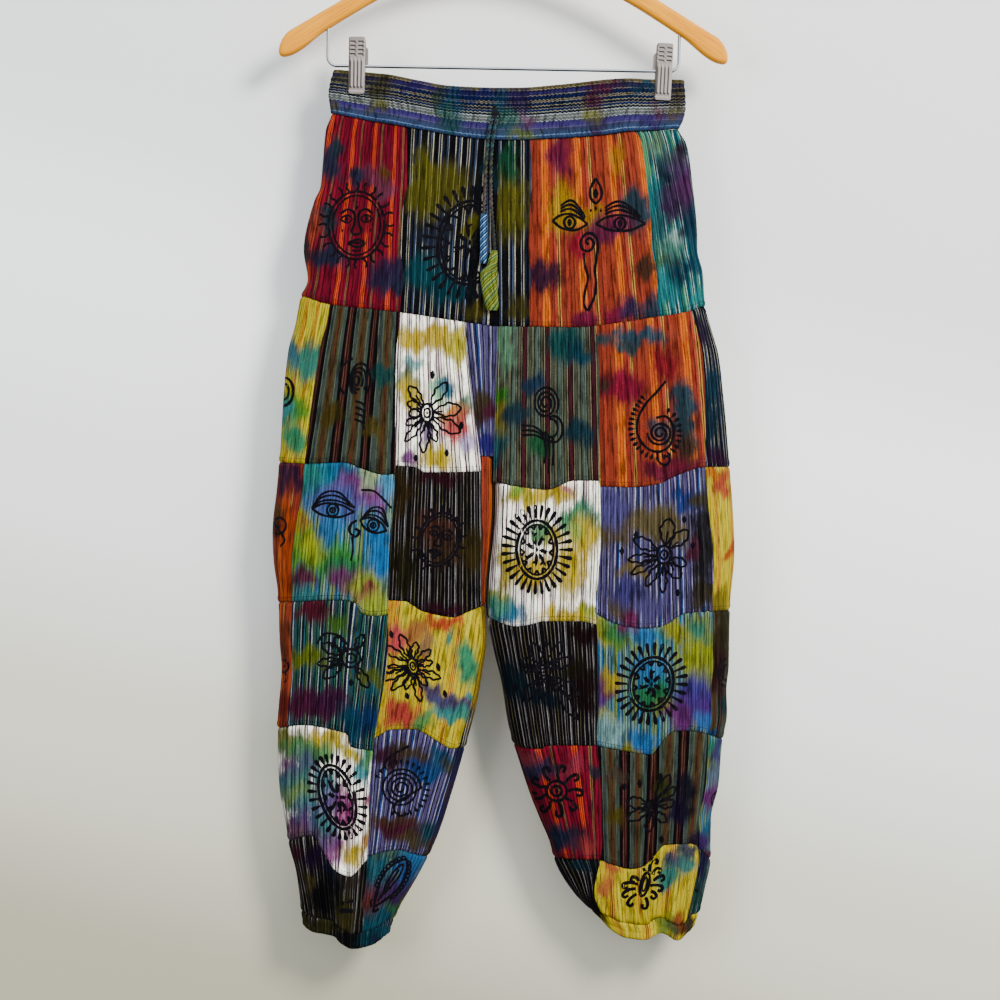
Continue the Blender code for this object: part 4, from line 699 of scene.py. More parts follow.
# Clouds of dye on each patch, one of them painted shade: across, down, half width, half height, colour
dyes = {
    "yoke_red": [
        (330, 165, 10, 14, "#2E3A5C"), (361, 179, 9, 7, "#2E3A5C"), (327, 222, 7, 14, "#2A4A5A"),
        (329, 259, 14, 9, "#2E3A5C"), (389, 277, 16, 14, "#3A2E5C"), (400, 288, 12, 8, "#2E3A5C"),
        (378, 176, 9, 8, "#A8486A"), (386, 176, 5, 5, "#A86A2A"), (384, 192, 8, 8, "#A04A6A"),
        (315, 222, 6, 12, "#C8503A"), (308, 250, 5, 10, "#3A3038"), (411, 270, 6, 10, "#1E5A68"),
        (360, 226, 8, 12, "#B02038"), (335, 150, 4, 8, "#2A4A5A"),
    ],
    "yoke_black_left": [
        (426, 179, 9, 22, "#8A8420"), (452, 189, 14, 18, "#847C22"), (423, 198, 12, 20, "#8A8420"),
        (472, 229, 6, 10, "#8A8420"), (437, 240, 14, 14, "#3A4258"), (423, 275, 16, 14, "#1E6A78"),
        (448, 292, 14, 12, "#1A6070"), (491, 179, 8, 12, "#1A4A58"), (478, 314, 10, 8, "#6A6020"),
    ],
    "yoke_black_right": [
        (508, 209, 16, 26, "#8A8420"), (508, 165, 8, 16, "#1E6A4A"), (517, 309, 8, 12, "#5A5420"),
    ],
    "yoke_orange": [
        (559, 159, 9, 16, "#8E2050"), (545, 277, 15, 13, "#3A1E3C"), (563, 213, 12, 18, "#E0B018"),
        (591, 222, 9, 10, "#D09818"), (617, 161, 6, 14, "#D88A20"), (635, 211, 12, 18, "#1E4A5A"),
        (613, 227, 14, 9, "#8A2A5A"), (598, 237, 10, 8, "#7A2A50"), (576, 246, 8, 12, "#B0203A"),
        (585, 322, 9, 10, "#8A1A4A"), (628, 312, 10, 10, "#3A2A5A"), (613, 320, 7, 9, "#A0204A"),
        (646, 268, 8, 12, "#5A3A2A"), (656, 314, 12, 14, "#2A4A60"),
    ],
    "yoke_teal": [
        (676, 238, 7, 6, "#A8CCC4"), (690, 158, 4, 8, "#B8D4CC"), (691, 202, 6, 14, "#14283E"),
        (663, 206, 7, 8, "#1A3A50"), (694, 264, 6, 10, "#16243E"), (667, 264, 9, 7, "#5A7A3A"),
        (682, 184, 7, 6, "#7A3A78"), (644, 161, 5, 25, "#5FAE7A"), (657, 142, 6, 10, "#7AA080"),
        (665, 170, 8, 14, "#16304A"), (688, 180, 11, 24, "#6A2A6A"), (667, 203, 11, 16, "#4A2A5A"),
        (680, 161, 8, 12, "#5A3A70"), (650, 203, 8, 16, "#1E8A90"), (670, 250, 8, 10, "#5A9A88"),
        (698, 248, 8, 20, "#1E6A86"), (690, 225, 8, 16, "#1A3A56"), (655, 232, 8, 14, "#2A6A70"),
        (674, 275, 10, 14, "#1A3A56"), (665, 290, 8, 14, "#2A9AA0"), (698, 299, 8, 10, "#2AA0A0"),
        (683, 142, 6, 14, "#3A1A30"),
    ],
    "seat_side_left": [
        (310, 363, 16, 14, "#2A8A7A"), (293, 408, 12, 12, "#4AA030"), (285, 413, 8, 10, "#2A9AA0"),
        (296, 439, 12, 10, "#2A9A6A"), (291, 353, 7, 12, "#3A7A90"),
    ],
    "seat_brown": [
        (333, 416, 8, 10, "#6A5A20"), (383, 376, 9, 8, "#2A6A66"), (375, 430, 8, 8, "#7A6A2A"),
    ],
    "seat_white": [
        (413, 341, 14, 9, "#EAC800"), (439, 340, 20, 11, "#E8C400"), (459, 348, 8, 14, "#E4D418"),
        (413, 366, 8, 6, "#88C0C0"), (409, 383, 9, 7, "#2A8A7A"), (411, 396, 9, 14, "#E2C200"),
        (439, 393, 6, 10, "#A0D8A0"), (449, 388, 8, 7, "#2A7A9A"), (464, 409, 6, 10, "#2A8A6A"),
        (452, 416, 10, 8, "#E8C400"), (457, 426, 11, 14, "#E04A4A"), (427, 433, 6, 10, "#8A6AA0"),
        (439, 459, 14, 10, "#EAC800"), (411, 457, 7, 6, "#8A4A90"), (467, 446, 6, 8, "#C0B0D8"),
    ],
    "seat_violet": [
        (481, 408, 8, 14, "#5A4A28"), (490, 414, 6, 8, "#6A2040"), (484, 446, 10, 8, "#3A2F9A"),
    ],
    "seat_green": [
        (505, 341, 6, 30, "#7AB088"), (500, 399, 5, 8, "#4AA02A"), (499, 423, 5, 12, "#C8B41E"),
        (563, 345, 12, 14, "#1E6A6A"), (578, 356, 8, 10, "#1E5A70"), (535, 386, 9, 9, "#2A4A6A"),
        (578, 433, 12, 10, "#1E4A5A"), (538, 446, 10, 10, "#2A7A4A"), (515, 416, 10, 12, "#2A4A5A"),
        (495, 449, 8, 16, "#3A7A80"),
    ],
    "seat_orange": [
        (637, 338, 22, 6, "#2A5A70"), (596, 341, 12, 5, "#3A5A60"), (626, 348, 12, 5, "#3A5A60"),
        (621, 388, 20, 12, "#A01840"), (661, 365, 10, 14, "#A02030"), (604, 386, 6, 6, "#4A3A30"),
        (681, 403, 10, 16, "#1E5060"), (684, 429, 9, 14, "#1E4A58"), (662, 472, 18, 9, "#7A2040"),
        (686, 467, 12, 8, "#8A2040"), (684, 449, 9, 10, "#4A3A30"), (659, 431, 9, 9, "#4A4A58"),
    ],
    "seat_side_right": [
        (701, 333, 6, 14, "#3A2A4A"), (707, 394, 10, 20, "#1A4A66"), (704, 433, 10, 16, "#1A4058"),
        (715, 459, 10, 7, "#4A1A4A"),
    ],
    "thigh_left_side": [
        (291, 479, 12, 14, "#3A1E4A"), (280, 516, 8, 14, "#7A4A20"), (280, 528, 5, 8, "#5A1E1E"),
        (289, 547, 5, 40, "#E05A1E"), (289, 600, 6, 12, "#E0601E"),
    ],
    "thigh_left_outer": [
        (332, 476, 22, 14, "#1E86C0"), (310, 479, 14, 18, "#2A9A90"), (358, 486, 12, 12, "#6A2A80"),
        (352, 489, 14, 10, "#9A2A80"), (375, 495, 12, 10, "#B03A90"), (372, 478, 8, 10, "#B0C890"),
        (387, 483, 6, 14, "#5AB0E0"), (382, 505, 5, 6, "#B048A0"), (340, 502, 22, 14, "#5A6AB8"),
        (298, 522, 9, 10, "#C0C020"), (304, 524, 5, 6, "#C08A30"), (387, 521, 6, 8, "#B8C840"),
        (306, 550, 16, 14, "#6AB030"), (318, 547, 12, 12, "#C8D020"), (333, 528, 8, 18, "#3A8AC8"),
        (340, 561, 16, 14, "#4AA840"), (346, 568, 14, 8, "#2A8A5A"), (382, 550, 10, 30, "#2A8AD8"),
        (346, 577, 10, 8, "#8A3A7A"), (352, 582, 12, 10, "#7A3070"), (307, 577, 10, 8, "#6A2A48"),
        (370, 585, 14, 10, "#B0C030"), (367, 594, 7, 6, "#B03A50"), (370, 588, 5, 4, "#B04A50"),
        (376, 605, 14, 10, "#B8C838"), (306, 597, 12, 8, "#3A8A90"),
    ],
    "thigh_left_inner": [
        (402, 493, 7, 20, "#4A3A1A"), (436, 530, 15, 14, "#6A3E2E"), (448, 552, 12, 12, "#5E4430"),
        (441, 478, 18, 6, "#4A1A2A"), (474, 550, 9, 18, "#5A4A1E"), (441, 610, 16, 6, "#4A142A"),
        (404, 570, 8, 24, "#3A3418"),
    ],
    "thigh_right_inner": [
        (527, 496, 22, 8, "#E8CC00"), (516, 492, 7, 5, "#8AC030"), (554, 491, 16, 8, "#E8C200"),
        (550, 484, 8, 4, "#C84A50"), (567, 488, 3, 3, "#B04A80"), (584, 517, 14, 13, "#1E8A70"),
        (570, 521, 10, 9, "#3AA060"), (586, 537, 10, 16, "#EAC800"), (575, 534, 6, 6, "#7AB848"),
        (550, 535, 8, 8, "#DCC020"), (531, 571, 20, 14, "#E8C200"), (570, 566, 12, 24, "#EAC800"),
        (506, 562, 7, 20, "#DCC020"), (538, 532, 8, 8, "#5AA060"), (497, 598, 12, 8, "#B8C030"),
        (506, 612, 16, 10, "#2A8AB8"), (499, 605, 8, 8, "#3AA080"), (566, 616, 24, 8, "#EAC800"),
        (586, 612, 6, 6, "#B0B828"),
    ],
    "thigh_right_outer": [
        (649, 521, 22, 12, "#86764A"), (618, 532, 8, 8, "#766444"), (670, 530, 12, 14, "#86764A"),
        (632, 569, 12, 6, "#94804A"), (620, 603, 10, 10, "#766648"), (602, 539, 5, 10, "#766444"),
        (613, 509, 12, 14, "#6A62A8"), (625, 591, 14, 10, "#5A52A0"), (649, 607, 14, 10, "#6A60A0"),
        # the tall dark cloud at across 702, down 544 is painted shade in the valley of the fold at the patch's right
        # edge
        (684, 500, 10, 8, "#2A50B0"), (702, 544, 9, 40, "#2E2A28"), (695, 501, 10, 6, "#5A5030"),
        (690, 548, 5, 8, "#6A2A40"), (700, 594, 9, 12, "#4A4228"), (627, 621, 6, 8, "#8A2A60"),
    ],
    "thigh_right_side": [
        (720, 482, 8, 10, "#C04A38"), (709, 473, 7, 6, "#D87A1E"), (729, 550, 4, 7, "#C8501E"),
         (717, 602, 9, 12, "#8A7A20"),
    ],
    "knee_left_side": [(281, 702, 8, 12, "#8A2A20"), (284, 638, 7, 18, "#A0482A")],
    "knee_left_outer": [
        (315, 609, 14, 9, "#7A1E3A"), (309, 656, 16, 8, "#8A9A20"), (370, 678, 10, 9, "#7A8A30"),
        (310, 702, 22, 12, "#6A1A4A"), (333, 699, 14, 10, "#5A1A50"), (355, 722, 10, 16, "#1E5A78"),
        (372, 690, 6, 5, "#2A7A8A"), (340, 626, 8, 8, "#5A8A30"), (370, 717, 8, 12, "#1E4A8A"),
    ],
    "knee_left_inner": [
        (398, 639, 11, 11, "#D84A58"), (416, 629, 10, 9, "#B0703A"), (428, 645, 5, 9, "#A07850"),
        (390, 610, 6, 10, "#E8981E"), (445, 621, 13, 5, "#C84A2A"), (449, 636, 3, 5, "#3A8A78"),
        (467, 662, 9, 16, "#2A9A70"), (401, 713, 14, 11, "#C03A3A"), (424, 719, 6, 8, "#5A9A50"),
        (435, 690, 8, 8, "#4A3A68"), (444, 699, 10, 6, "#4A4A80"), (459, 707, 14, 6, "#4A3A70"),
        (471, 705, 8, 6, "#6A4A80"), (451, 711, 16, 5, "#2A9A98"), (465, 716, 12, 4, "#3AA088"),
        (473, 694, 4, 4, "#3AA0A0"), (382, 656, 5, 16, "#E0901E"),
    ],
    "knee_right_inner": [
        (511, 681, 14, 14, "#12303E"), (545, 696, 14, 8, "#122C3C"), (576, 671, 14, 10, "#2E2816"),
        (583, 633, 10, 8, "#2E1216"), (583, 691, 10, 14, "#2C1418"),
    ],
    "knee_right_outer": [
        (600, 629, 7, 12, "#C8C020"), (621, 636, 14, 8, "#7AA030"), (614, 629, 10, 8, "#3A8A40"),
        (642, 633, 14, 8, "#3A8AD0"), (662, 635, 6, 6, "#2A9AB0"), (626, 622, 6, 8, "#8A2060"),
        (700, 652, 18, 26, "#A8B020"), (673, 629, 10, 8, "#A8A828"), (697, 631, 8, 8, "#3A8A70"),
        (604, 684, 8, 9, "#7A2A60"), (600, 702, 5, 7, "#6A3A90"), (611, 678, 8, 8, "#C8B020"),
        (604, 715, 7, 6, "#C0B828"), (692, 695, 18, 16, "#4A3AA0"), (678, 712, 10, 14, "#7A2A80"),
        (704, 705, 8, 12, "#5A2A90"), (702, 722, 8, 7, "#3A7AC8"), (662, 702, 7, 6, "#B09030"),
        (652, 691, 14, 12, "#2A8A50"), (649, 669, 14, 10, "#3A8AC8"), (607, 729, 14, 12, "#8AB8B8"),
        (642, 741, 10, 10, "#2A80D0"), (628, 750, 8, 5, "#A0A030"),
    ],
    "knee_right_side": [
        (721, 638, 7, 26, "#4A4020"), (716, 672, 6, 20, "#4A1E20"), (724, 705, 5, 10, "#1E4A50"),
        (709, 733, 5, 5, "#2A6AA0"),
    ],
    "calf_left_outer": [
        (286, 736, 12, 10, "#8A8418"), (330, 737, 16, 9, "#E2C200"), (299, 748, 13, 10, "#2A8438"),
        (320, 749, 12, 8, "#4A9448"), (292, 767, 10, 10, "#7A2A78"), (287, 784, 12, 11, "#1E6A86"),
        (305, 763, 10, 11, "#2A4A70"), (303, 781, 10, 10, "#1E7A6A"), (299, 794, 12, 9, "#7A9A1E"),
        (309, 805, 12, 11, "#18788A"), (364, 762, 7, 15, "#1E96A4"), (370, 752, 5, 9, "#5AA84A"),
        (350, 750, 7, 6, "#ECD410"), (329, 779, 10, 12, "#2A8496"), (334, 800, 10, 12, "#5A4A98"),
        (348, 808, 9, 18, "#B03088"), (372, 796, 5, 10, "#982058"), (307, 824, 16, 14, "#4A1670"),
        (296, 833, 10, 12, "#641450"), (327, 825, 9, 12, "#1E8A90"), (334, 850, 9, 13, "#9A3A90"),
        (323, 840, 9, 10, "#5A2A80"), (356, 850, 9, 9, "#E8C400"), (370, 833, 5, 12, "#C0842A"),
        (314, 847, 11, 14, "#180C28"), (298, 847, 8, 13, "#3C0C28"),
    ],
    "calf_left_inner": [
        (405, 753, 22, 9, "#5A4A30"), (386, 753, 10, 9, "#4A1A38"), (418, 765, 10, 7, "#1E4A9A"),
        (431, 772, 10, 8, "#1E5AA0"), (442, 758, 8, 9, "#2A6A9A"), (450, 765, 8, 6, "#5A5A50"),
        (398, 821, 22, 7, "#6A4A30"), (401, 828, 16, 6, "#6A1A3A"), (416, 837, 16, 6, "#6A5830"),
        (431, 830, 10, 9, "#1E5A70"),
    ],
    "calf_right_inner": [
        (537, 768, 18, 8, "#3A3A60"), (525, 763, 8, 7, "#4A4A70"), (525, 755, 8, 6, "#C04A5A"),
        (573, 763, 8, 8, "#C04058"), (561, 834, 14, 10, "#1E3A5A"), (578, 839, 8, 8, "#6A3A5A"),
        (588, 842, 8, 6, "#C84A4A"), (597, 767, 6, 6, "#3A3A50"),
    ],
    "calf_right_outer": [
        (616, 772, 9, 6, "#6A5A4A"), (616, 813, 7, 8, "#7A6A20"), (662, 784, 6, 14, "#4A5020"),
        (678, 808, 9, 12, "#2A1A48"), (686, 784, 10, 10, "#1E1A30"), (695, 835, 8, 8, "#2A1A40"),
    ],
    "calf_right_side": [
        (711, 749, 6, 9, "#2A8A70"), (709, 758, 5, 6, "#90A030"), (717, 753, 4, 10, "#4A3A80"),
        (712, 772, 6, 9, "#6A7A90"), (712, 794, 8, 10, "#7A2A80"), (709, 822, 7, 10, "#2A7AA8"),
        (702, 839, 6, 8, "#4A1A70"), (705, 856, 4, 6, "#6A2040"),
    ],
    "ankle_left_outer": [
        (296, 862, 4, 16, "#5A1030"), (309, 880, 4, 10, "#6A5E30"), (316, 852, 8, 10, "#2A1040"),
        (333, 872, 7, 10, "#141E3A"), (346, 912, 8, 16, "#5A5224"), (350, 878, 8, 6, "#4A4036"),
        (312, 922, 12, 6, "#5A5424"), (325, 895, 12, 18, "#0C0C12"),
    ],
    "ankle_left_inner": [
        (375, 868, 14, 20, "#2A6678"), (398, 850, 18, 6, "#4A6A5A"), (416, 866, 12, 20, "#2A74B0"),
        (404, 872, 6, 14, "#2A5AA8"), (384, 893, 12, 12, "#5A2A58"), (400, 892, 10, 9, "#4A2A6A"),
        (369, 902, 8, 14, "#7A3230"), (394, 909, 4, 5, "#3A8A3A"), (372, 925, 10, 14, "#1E6478"),
        (384, 922, 8, 12, "#1E5A70"), (380, 934, 6, 5, "#2A2A58"),
    ],
    "ankle_right_inner": [(583, 858, 8, 5, "#1E4A5A"), (598, 895, 9, 26, "#0E0D10"), (616, 918, 9, 18, "#0E0D10")],
    "ankle_right_outer": [
        (609, 865, 6, 5, "#C86A3A"), (606, 884, 6, 8, "#C8703A"), (688, 847, 9, 7, "#3A4258"),
        (674, 860, 10, 7, "#4A4A70"), (666, 875, 10, 9, "#2A8A80"), (685, 860, 8, 6, "#3A8A80"),
        (669, 920, 7, 6, "#4A7A40"), (680, 920, 5, 9, "#A8502A"), (678, 930, 8, 6, "#7A3A30"),
        (652, 921, 14, 8, "#E4CC10"),
    ],
    "ankle_right_side": [
        (702, 861, 5, 12, "#2A1A58"), (693, 887, 5, 12, "#2A5A50"), (686, 913, 5, 8, "#2A3A3A"),
    ],
    "waistband": [
        (340, 76, 12, 5, "#6A6430"), (334, 104, 4, 6, "#8A8638"), (379, 86, 12, 12, "#5E5A30"),
        (381, 108, 10, 5, "#8C8A34"), (415, 88, 16, 4, "#3E2A8A"), (439, 104, 4, 14, "#4A5A2A"),
        (453, 102, 10, 16, "#1A5A84"), (449, 124, 9, 12, "#1E6A5C"), (478, 97, 16, 6, "#1A2E7A"),
        (503, 100, 7, 16, "#1A5A80"), (501, 120, 8, 10, "#2A7A6A"), (520, 104, 10, 11, "#3A2668"),
        (526, 122, 8, 6, "#8A5A80"), (511, 125, 6, 8, "#3A7A70"), (523, 137, 11, 5, "#8A9A44"),
        (622, 86, 20, 4, "#5A3A5A"), (593, 101, 9, 9, "#6A2448"), (602, 89, 12, 4, "#7A2A50"),
        (592, 118, 8, 6, "#96962E"), (595, 130, 9, 7, "#4E3A60"), (642, 88, 14, 4, "#1E5A78"),
        (678, 98, 9, 18, "#5E5420"), (675, 117, 8, 5, "#8A7E2C"), (661, 111, 6, 6, "#7A4A60"),
        (662, 131, 9, 5, "#2A7E9A"), (648, 124, 10, 5, "#4A3A88"),
    ],
    # the back patches' dyes where they turn to the front at the legs' inner edges
    "knee_left_back": [(484, 670, 10, 80, "#EAC020")],
    "knee_right_back": [(496, 650, 10, 60, "#141216"), (508, 720, 10, 40, "#141216")],
    "calf_left_back": [(462, 770, 10, 32, "#3E3878"), (444, 830, 10, 30, "#3E3878")],
    "calf_right_back": [(520, 780, 9, 40, "#7A1A26"), (545, 835, 9, 30, "#6A1420")],
    "ankle_left_back": [(424, 860, 12, 22, "#2A74B0"), (408, 890, 10, 18, "#3A2A60"), (396, 912, 8, 12, "#2A6A50")],
    "ankle_right_back": [(562, 870, 12, 20, "#101016"), (585, 905, 12, 18, "#101016")],
    "cuff_left": [
        (320, 925, 18, 8, "#4A4620"), (304, 920, 4, 8, "#5A5428"), (352, 936, 16, 10, "#0E1014"),
        (376, 934, 12, 10, "#1E6478"), (387, 928, 6, 8, "#2A6A84"), (380, 940, 6, 5, "#2A2A58"),
    ],
    "cuff_right": [
        (594, 910, 12, 14, "#0E0E12"), (664, 920, 6, 12, "#7A8A30"), (672, 922, 5, 12, "#3A5A38"),
        (680, 920, 6, 12, "#7A3A24"), (688, 920, 5, 12, "#2A2A28"),
    ],
}
dyes["calf_left_side"] = dyes["calf_left_outer"]
dyes["ankle_left_side"] = dyes["ankle_left_outer"]


# shares from 0 to 1 along a length, closer together near both ends, where the seams sink
def spaced(length, step, ends=(0, 0.8, 1.7, 2.8, 4.4)):
    if length < 3 * ends[-1]:
        return np.linspace(0, 1, max(3, round(length / step)))
    count = max(1, round((length - 2 * ends[-1]) / step))
    between = np.linspace(ends[-1], length - ends[-1], count + 1)
    return np.concatenate([ends[:-1], between, length - np.array(ends[-2::-1])]) / length


# a patch of crinkled cloth: its outer and inner points, and its own width and drop for the weave
def clothGrids(ring, upper, first, last, seed):
    table, where, levels = ringTable[ring]
    table = table[:, where[first] : where[last] + 1]
    fronts = []
    for level in (upper, upper + 1):
        x, y = ringPoint(ring, table[level], np.full(table.shape[1], float(levelDrop[levels[level]])))
        front = x[y < 0]
        fronts.append(front.mean() if len(front) else x.mean())
    width = np.hypot(np.diff(x), np.diff(y)).sum()
    columns = spaced(width, crinkle["columnWidth"]) * (table.shape[1] - 1)
    table = np.stack([np.interp(columns, np.arange(table.shape[1]), row) for row in table])
    top = seamDrop(levels[upper], ring, table[upper], fronts[0])
    foot = seamDrop(levels[upper + 1], ring, table[upper + 1], fronts[1])
    height = float((foot - top).mean())
    down = spaced(height, crinkle["rowHeight"])[:, None]
    drop = (top + crinkle["inset"]) * (1 - down) + (foot - crinkle["inset"]) * down
    u = columnsAt(table, levels, drop)
    x, y, nx, ny, _ = ringFrame(ring, u, drop)
    run = np.concatenate([np.zeros((len(x), 1)), np.cumsum(np.hypot(np.diff(x), np.diff(y)), 1)], 1)
    share = columns / columns[-1]
    # the stripes run straight, and the patch's uneven edges cut across them
    straight = x[:1] * (1 - down) + x[-1:] * down
    across = share * run[:, -1].mean() - (x - straight) * ny
    fromTop, fromFoot = drop - top, foot - drop
    fromSide = np.minimum(run, run[:, -1:] - run)
    back = (y > 0).astype(float)
    lift = crinkled(across, drop, seed) + folded(fineFolds, x, drop, back)
    for away, depth, reach in (
        (fromTop, crinkle["tierDip"], crinkle["tierDipWidth"]),
        (fromFoot, crinkle["tierDip"] * 0.7, crinkle["tierDipWidth"] * 0.7),
        (fromSide, crinkle["stripDip"], crinkle["stripDipWidth"]),
    ):
        lift = lift - depth * np.exp(-((away / reach) ** 2))
    lift = lift + crinkle["turnedEdge"] * np.exp(-(((fromFoot - 4) / 2.5) ** 2))
    dice = random.Random(seed + 70)
    start, sway = dice.uniform(0, 6.28), dice.uniform(14, 25)
    pucker = np.sin(2 * math.pi * (across + 1.5 * np.sin(across / sway)) / crinkle["puckerWave"] + start)
    near = np.exp(-fromTop / crinkle["puckerReach"]) + 0.7 * np.exp(-fromFoot / crinkle["puckerReach"])
    lift = lift + crinkle["pucker"] * pucker * near
    if levels[upper + 1] == "cuff":
        gathers = np.cos(2 * math.pi * columns) * (1 + 0.35 * np.sin(columns * 1.9))
        lift = lift + crinkle["ankleGather"] * gathers * eased((down - 0.35) / 0.65)
    outer = np.stack([x + nx * lift, y + ny * lift, -drop], -1)
    inside = lift - crinkle["wall"]
    inner = np.stack([x + nx * inside, y + ny * inside, -drop], -1)
    return outer, inner, np.stack([across, drop], -1), height


# a wall of cloth between two grids of points, with its weave's place and its dyes
def clothMesh(name, outer, inner, place, dye, closed=False):
    rows, columns = outer.shape[:2]
    across = columns if closed else columns - 1
    wide = place.shape[1]

    def corner(layer, r, c):
        return layer * rows * columns + r * columns + c % columns, r * wide + c

    r, c = (a.ravel() for a in np.meshgrid(np.arange(rows - 1), np.arange(across), indexing="ij"))
    edge, last = np.arange(across), rows - 1
    quads = [
        [corner(0, r, c), corner(0, r + 1, c), corner(0, r + 1, c + 1), corner(0, r, c + 1)],
        [corner(1, r, c), corner(1, r, c + 1), corner(1, r + 1, c + 1), corner(1, r + 1, c)],
    ]
    zero = np.zeros_like(edge)
    quads.append([corner(0, zero, edge), corner(0, zero, edge + 1), corner(1, zero, edge + 1), corner(1, zero, edge)])
    foot = zero + last
    quads.append([corner(0, foot, edge), corner(1, foot, edge), corner(1, foot, edge + 1), corner(0, foot, edge + 1)])
    if not closed:
        up = np.arange(rows - 1)
        side = np.zeros_like(up)
        quads.append([corner(0, up, side), corner(1, up, side), corner(1, up + 1, side), corner(0, up + 1, side)])
        side = side + columns - 1
        quads.append([corner(0, up, side), corner(0, up + 1, side), corner(1, up + 1, side), corner(1, up, side)])
    faces = np.concatenate([np.stack([index for index, _ in quad], -1) for quad in quads])
    spots = np.concatenate([np.stack([spot for _, spot in quad], -1) for quad in quads])
    mesh = bpy.data.meshes.new(name)
    points = np.concatenate([outer.reshape(-1, 3), inner.reshape(-1, 3)]) * mm
    mesh.from_pydata(points.tolist(), [], faces.tolist())
    weave = mesh.uv_layers.new(name="clothMm")
    weave.data.foreach_set("uv", place.reshape(-1, 2)[spots.ravel()].ravel().astype(np.float32))
    paint = mesh.attributes.new("dye", "FLOAT_COLOR", "POINT")
    both = np.concatenate([dye.reshape(-1, 4)] * 2)
    paint.data.foreach_set("color", both.ravel().astype(np.float32))
    mesh.shade_smooth()
    mesh.set_sharp_from_angle(angle=math.radians(62))
    return placed(name, mesh)


# dyes laid over each other, cloud by cloud, with wavering edges; the last number is how much shows
def dyed(clouds, x, drop, seed, onChart=True):
    dice = random.Random(seed)
    a, b, c, d = (dice.uniform(0, 6.28) for _ in range(4))
    wx = x + 2.4 * np.sin(drop / 6.3 + a + np.sin(x / 7)) + 1.5 * np.sin(drop / 2.9 + x / 5 + b)
    wd = drop + 3.0 * np.sin(x / 5.2 + c + np.sin(drop / 9)) + 2.2 * np.sin(x / 2.3 + drop / 9 + d)
    colour = np.zeros((*x.shape, 3))
    shown = np.zeros(x.shape)
    for across, down, rx, ry, hexColour in clouds:
        cx, cd = onGarment(across, down) if onChart else (across, down)
        away = np.hypot((wx - cx) / rx, (wd - cd) / ry)
        own = 0.98 * eased((2.1 - away) / 1.7)
        total = own + shown * (1 - own)
        part = (own / np.maximum(total, 1e-6))[..., None]
        colour = colour * (1 - part) + np.array(ownColour(hexColour)) * part
        shown = total
    return colour, shown


# the dyes that turn up on each cloth where no cloud is charted, as on the back
commonDyes = {
    "red": ("#2E3A5C", "#A8486A", "#2A4A5A", "#C8503A"), "black": ("#7A7420", "#1E5A68", "#3A4258", "#5A1A3A"),
    "blackPin": ("#3A2E18", "#3A1420", "#12303E", "#2E2412"), "orange": ("#8E2050", "#2A5A60", "#C8901E", "#3A1E3C"),
    "teal": ("#16304A", "#6A2A6A", "#8CC0A8", "#2A9AA0"), "lemon": ("#2A8A7A", "#4AA030", "#D8701E", "#3A7A90"),
    "yellow": ("#C84A2A", "#2A9A70", "#E8981E", "#4A4A80"), "brown": ("#6A5A20", "#2A6A66", "#6A2A20", "#2A3A50"),
    "white": ("#F0CC20", "#2A8A7A", "#C8507A", "#7A6AA8"), "violet": ("#5A4A28", "#7A2A60", "#2A50B0", "#2A8A7A"),
    "sky": ("#B8C030", "#8A3A7A", "#2A80D0", "#4AA840"), "green": ("#1E6A6A", "#B0A01E", "#2A4A6A", "#5A1E2A"),
    "tealNavy": ("#7A8A30", "#5A1A50", "#1E5A78", "#1E4A8A"), "band": ("#6A6428", "#3A1A5A", "#1E5A58", "#6A1A2A"),
}


def dyeFor(name, fabric, x, y, drop, seed):
    colour, shown = dyed(dyes.get(name, ()), x, drop, seed)
    dice = random.Random(seed + 31)
    clouds = [
        (
            dice.uniform(x.min(), x.max()), dice.uniform(drop.min(), drop.max()),
            dice.uniform(9, 24), dice.uniform(8, 20), dice.choice(commonDyes[fabric]),
        )
        for _ in range(max(3, round((x.max() - x.min()) * (drop.max() - drop.min()) / 2200)))
    ]
    behindColour, behindShown = dyed(clouds, x, drop, seed + 5, onChart=False)
    behind = eased((y + 6) / 12)
    behind = behind[..., None]
    colour = colour * (1 - behind) + behindColour * behind
    shown = shown * (1 - behind[..., 0]) + behindShown * behind[..., 0]
    if fabric == "band":
        shown = shown * clothLook["bandDye"]
    return np.concatenate([colour, shown[..., None]], -1)


# The drawstring's two ends: each point's x, drop and lift off the cloth, from the buttonhole down
strings = {
    "diameter": 4.0, "spacing": 4.5, "twist": 9.0, "gap": 0.3, "bandProud": 1.5, "stepFoot": 6.0, "stepLength": 8.0,
    "core": 1.3, "ply": 0.5, "fineSpacing": 0.8, "sides": 16,
    "routes": {
        "drawstring_short": [
            (-9.6, 243, 0.0), (-12.4, 253, 1.5), (-14.0, 266, 0.6), (-15.2, 290, 0.3), (-15.9, 320, 0.3),
            (-16.4, 338, 0.6),
        ],
        "drawstring_long": [
            (-5.2, 243, 0.0), (-7.4, 253, 1.5), (-9.2, 268, 0.6), (-10.2, 292, 0.3), (-9.4, 325, 0.3),
            (-7.0, 352, 0.4), (-5.2, 374, 1.0),
        ],
    },
}


def frontOfCloth(x, drop):
    u = np.array([ringPosition("body", "front", x, drop)])
    _, y = ringPoint("body", u, np.array([float(drop)]))
    below = drop - float(curve(seams["waist"][0])(x))
    return float(-y[0]) + strings["bandProud"] * float(eased((strings["stepFoot"] - below) / strings["stepLength"]))


def smoothRoute(points, spacing):
    route = [Vector(p) for p in points]
    route = [2 * route[0] - route[1], *route, 2 * route[-1] - route[-2]]
    found = []
    for a, b, c, d in zip(route, route[1:], route[2:], route[3:]):
        steps = max(1, round((c - b).length / spacing))
        bend, twist = 2 * a - 5 * b + 4 * c - d, 3 * b - 3 * c + d - a
        for t in (i / steps for i in range(steps)):
            found.append((2 * b + (c - a) * t + bend * t**2 + twist * t**3) / 2)
    return [*found, route[-2]]


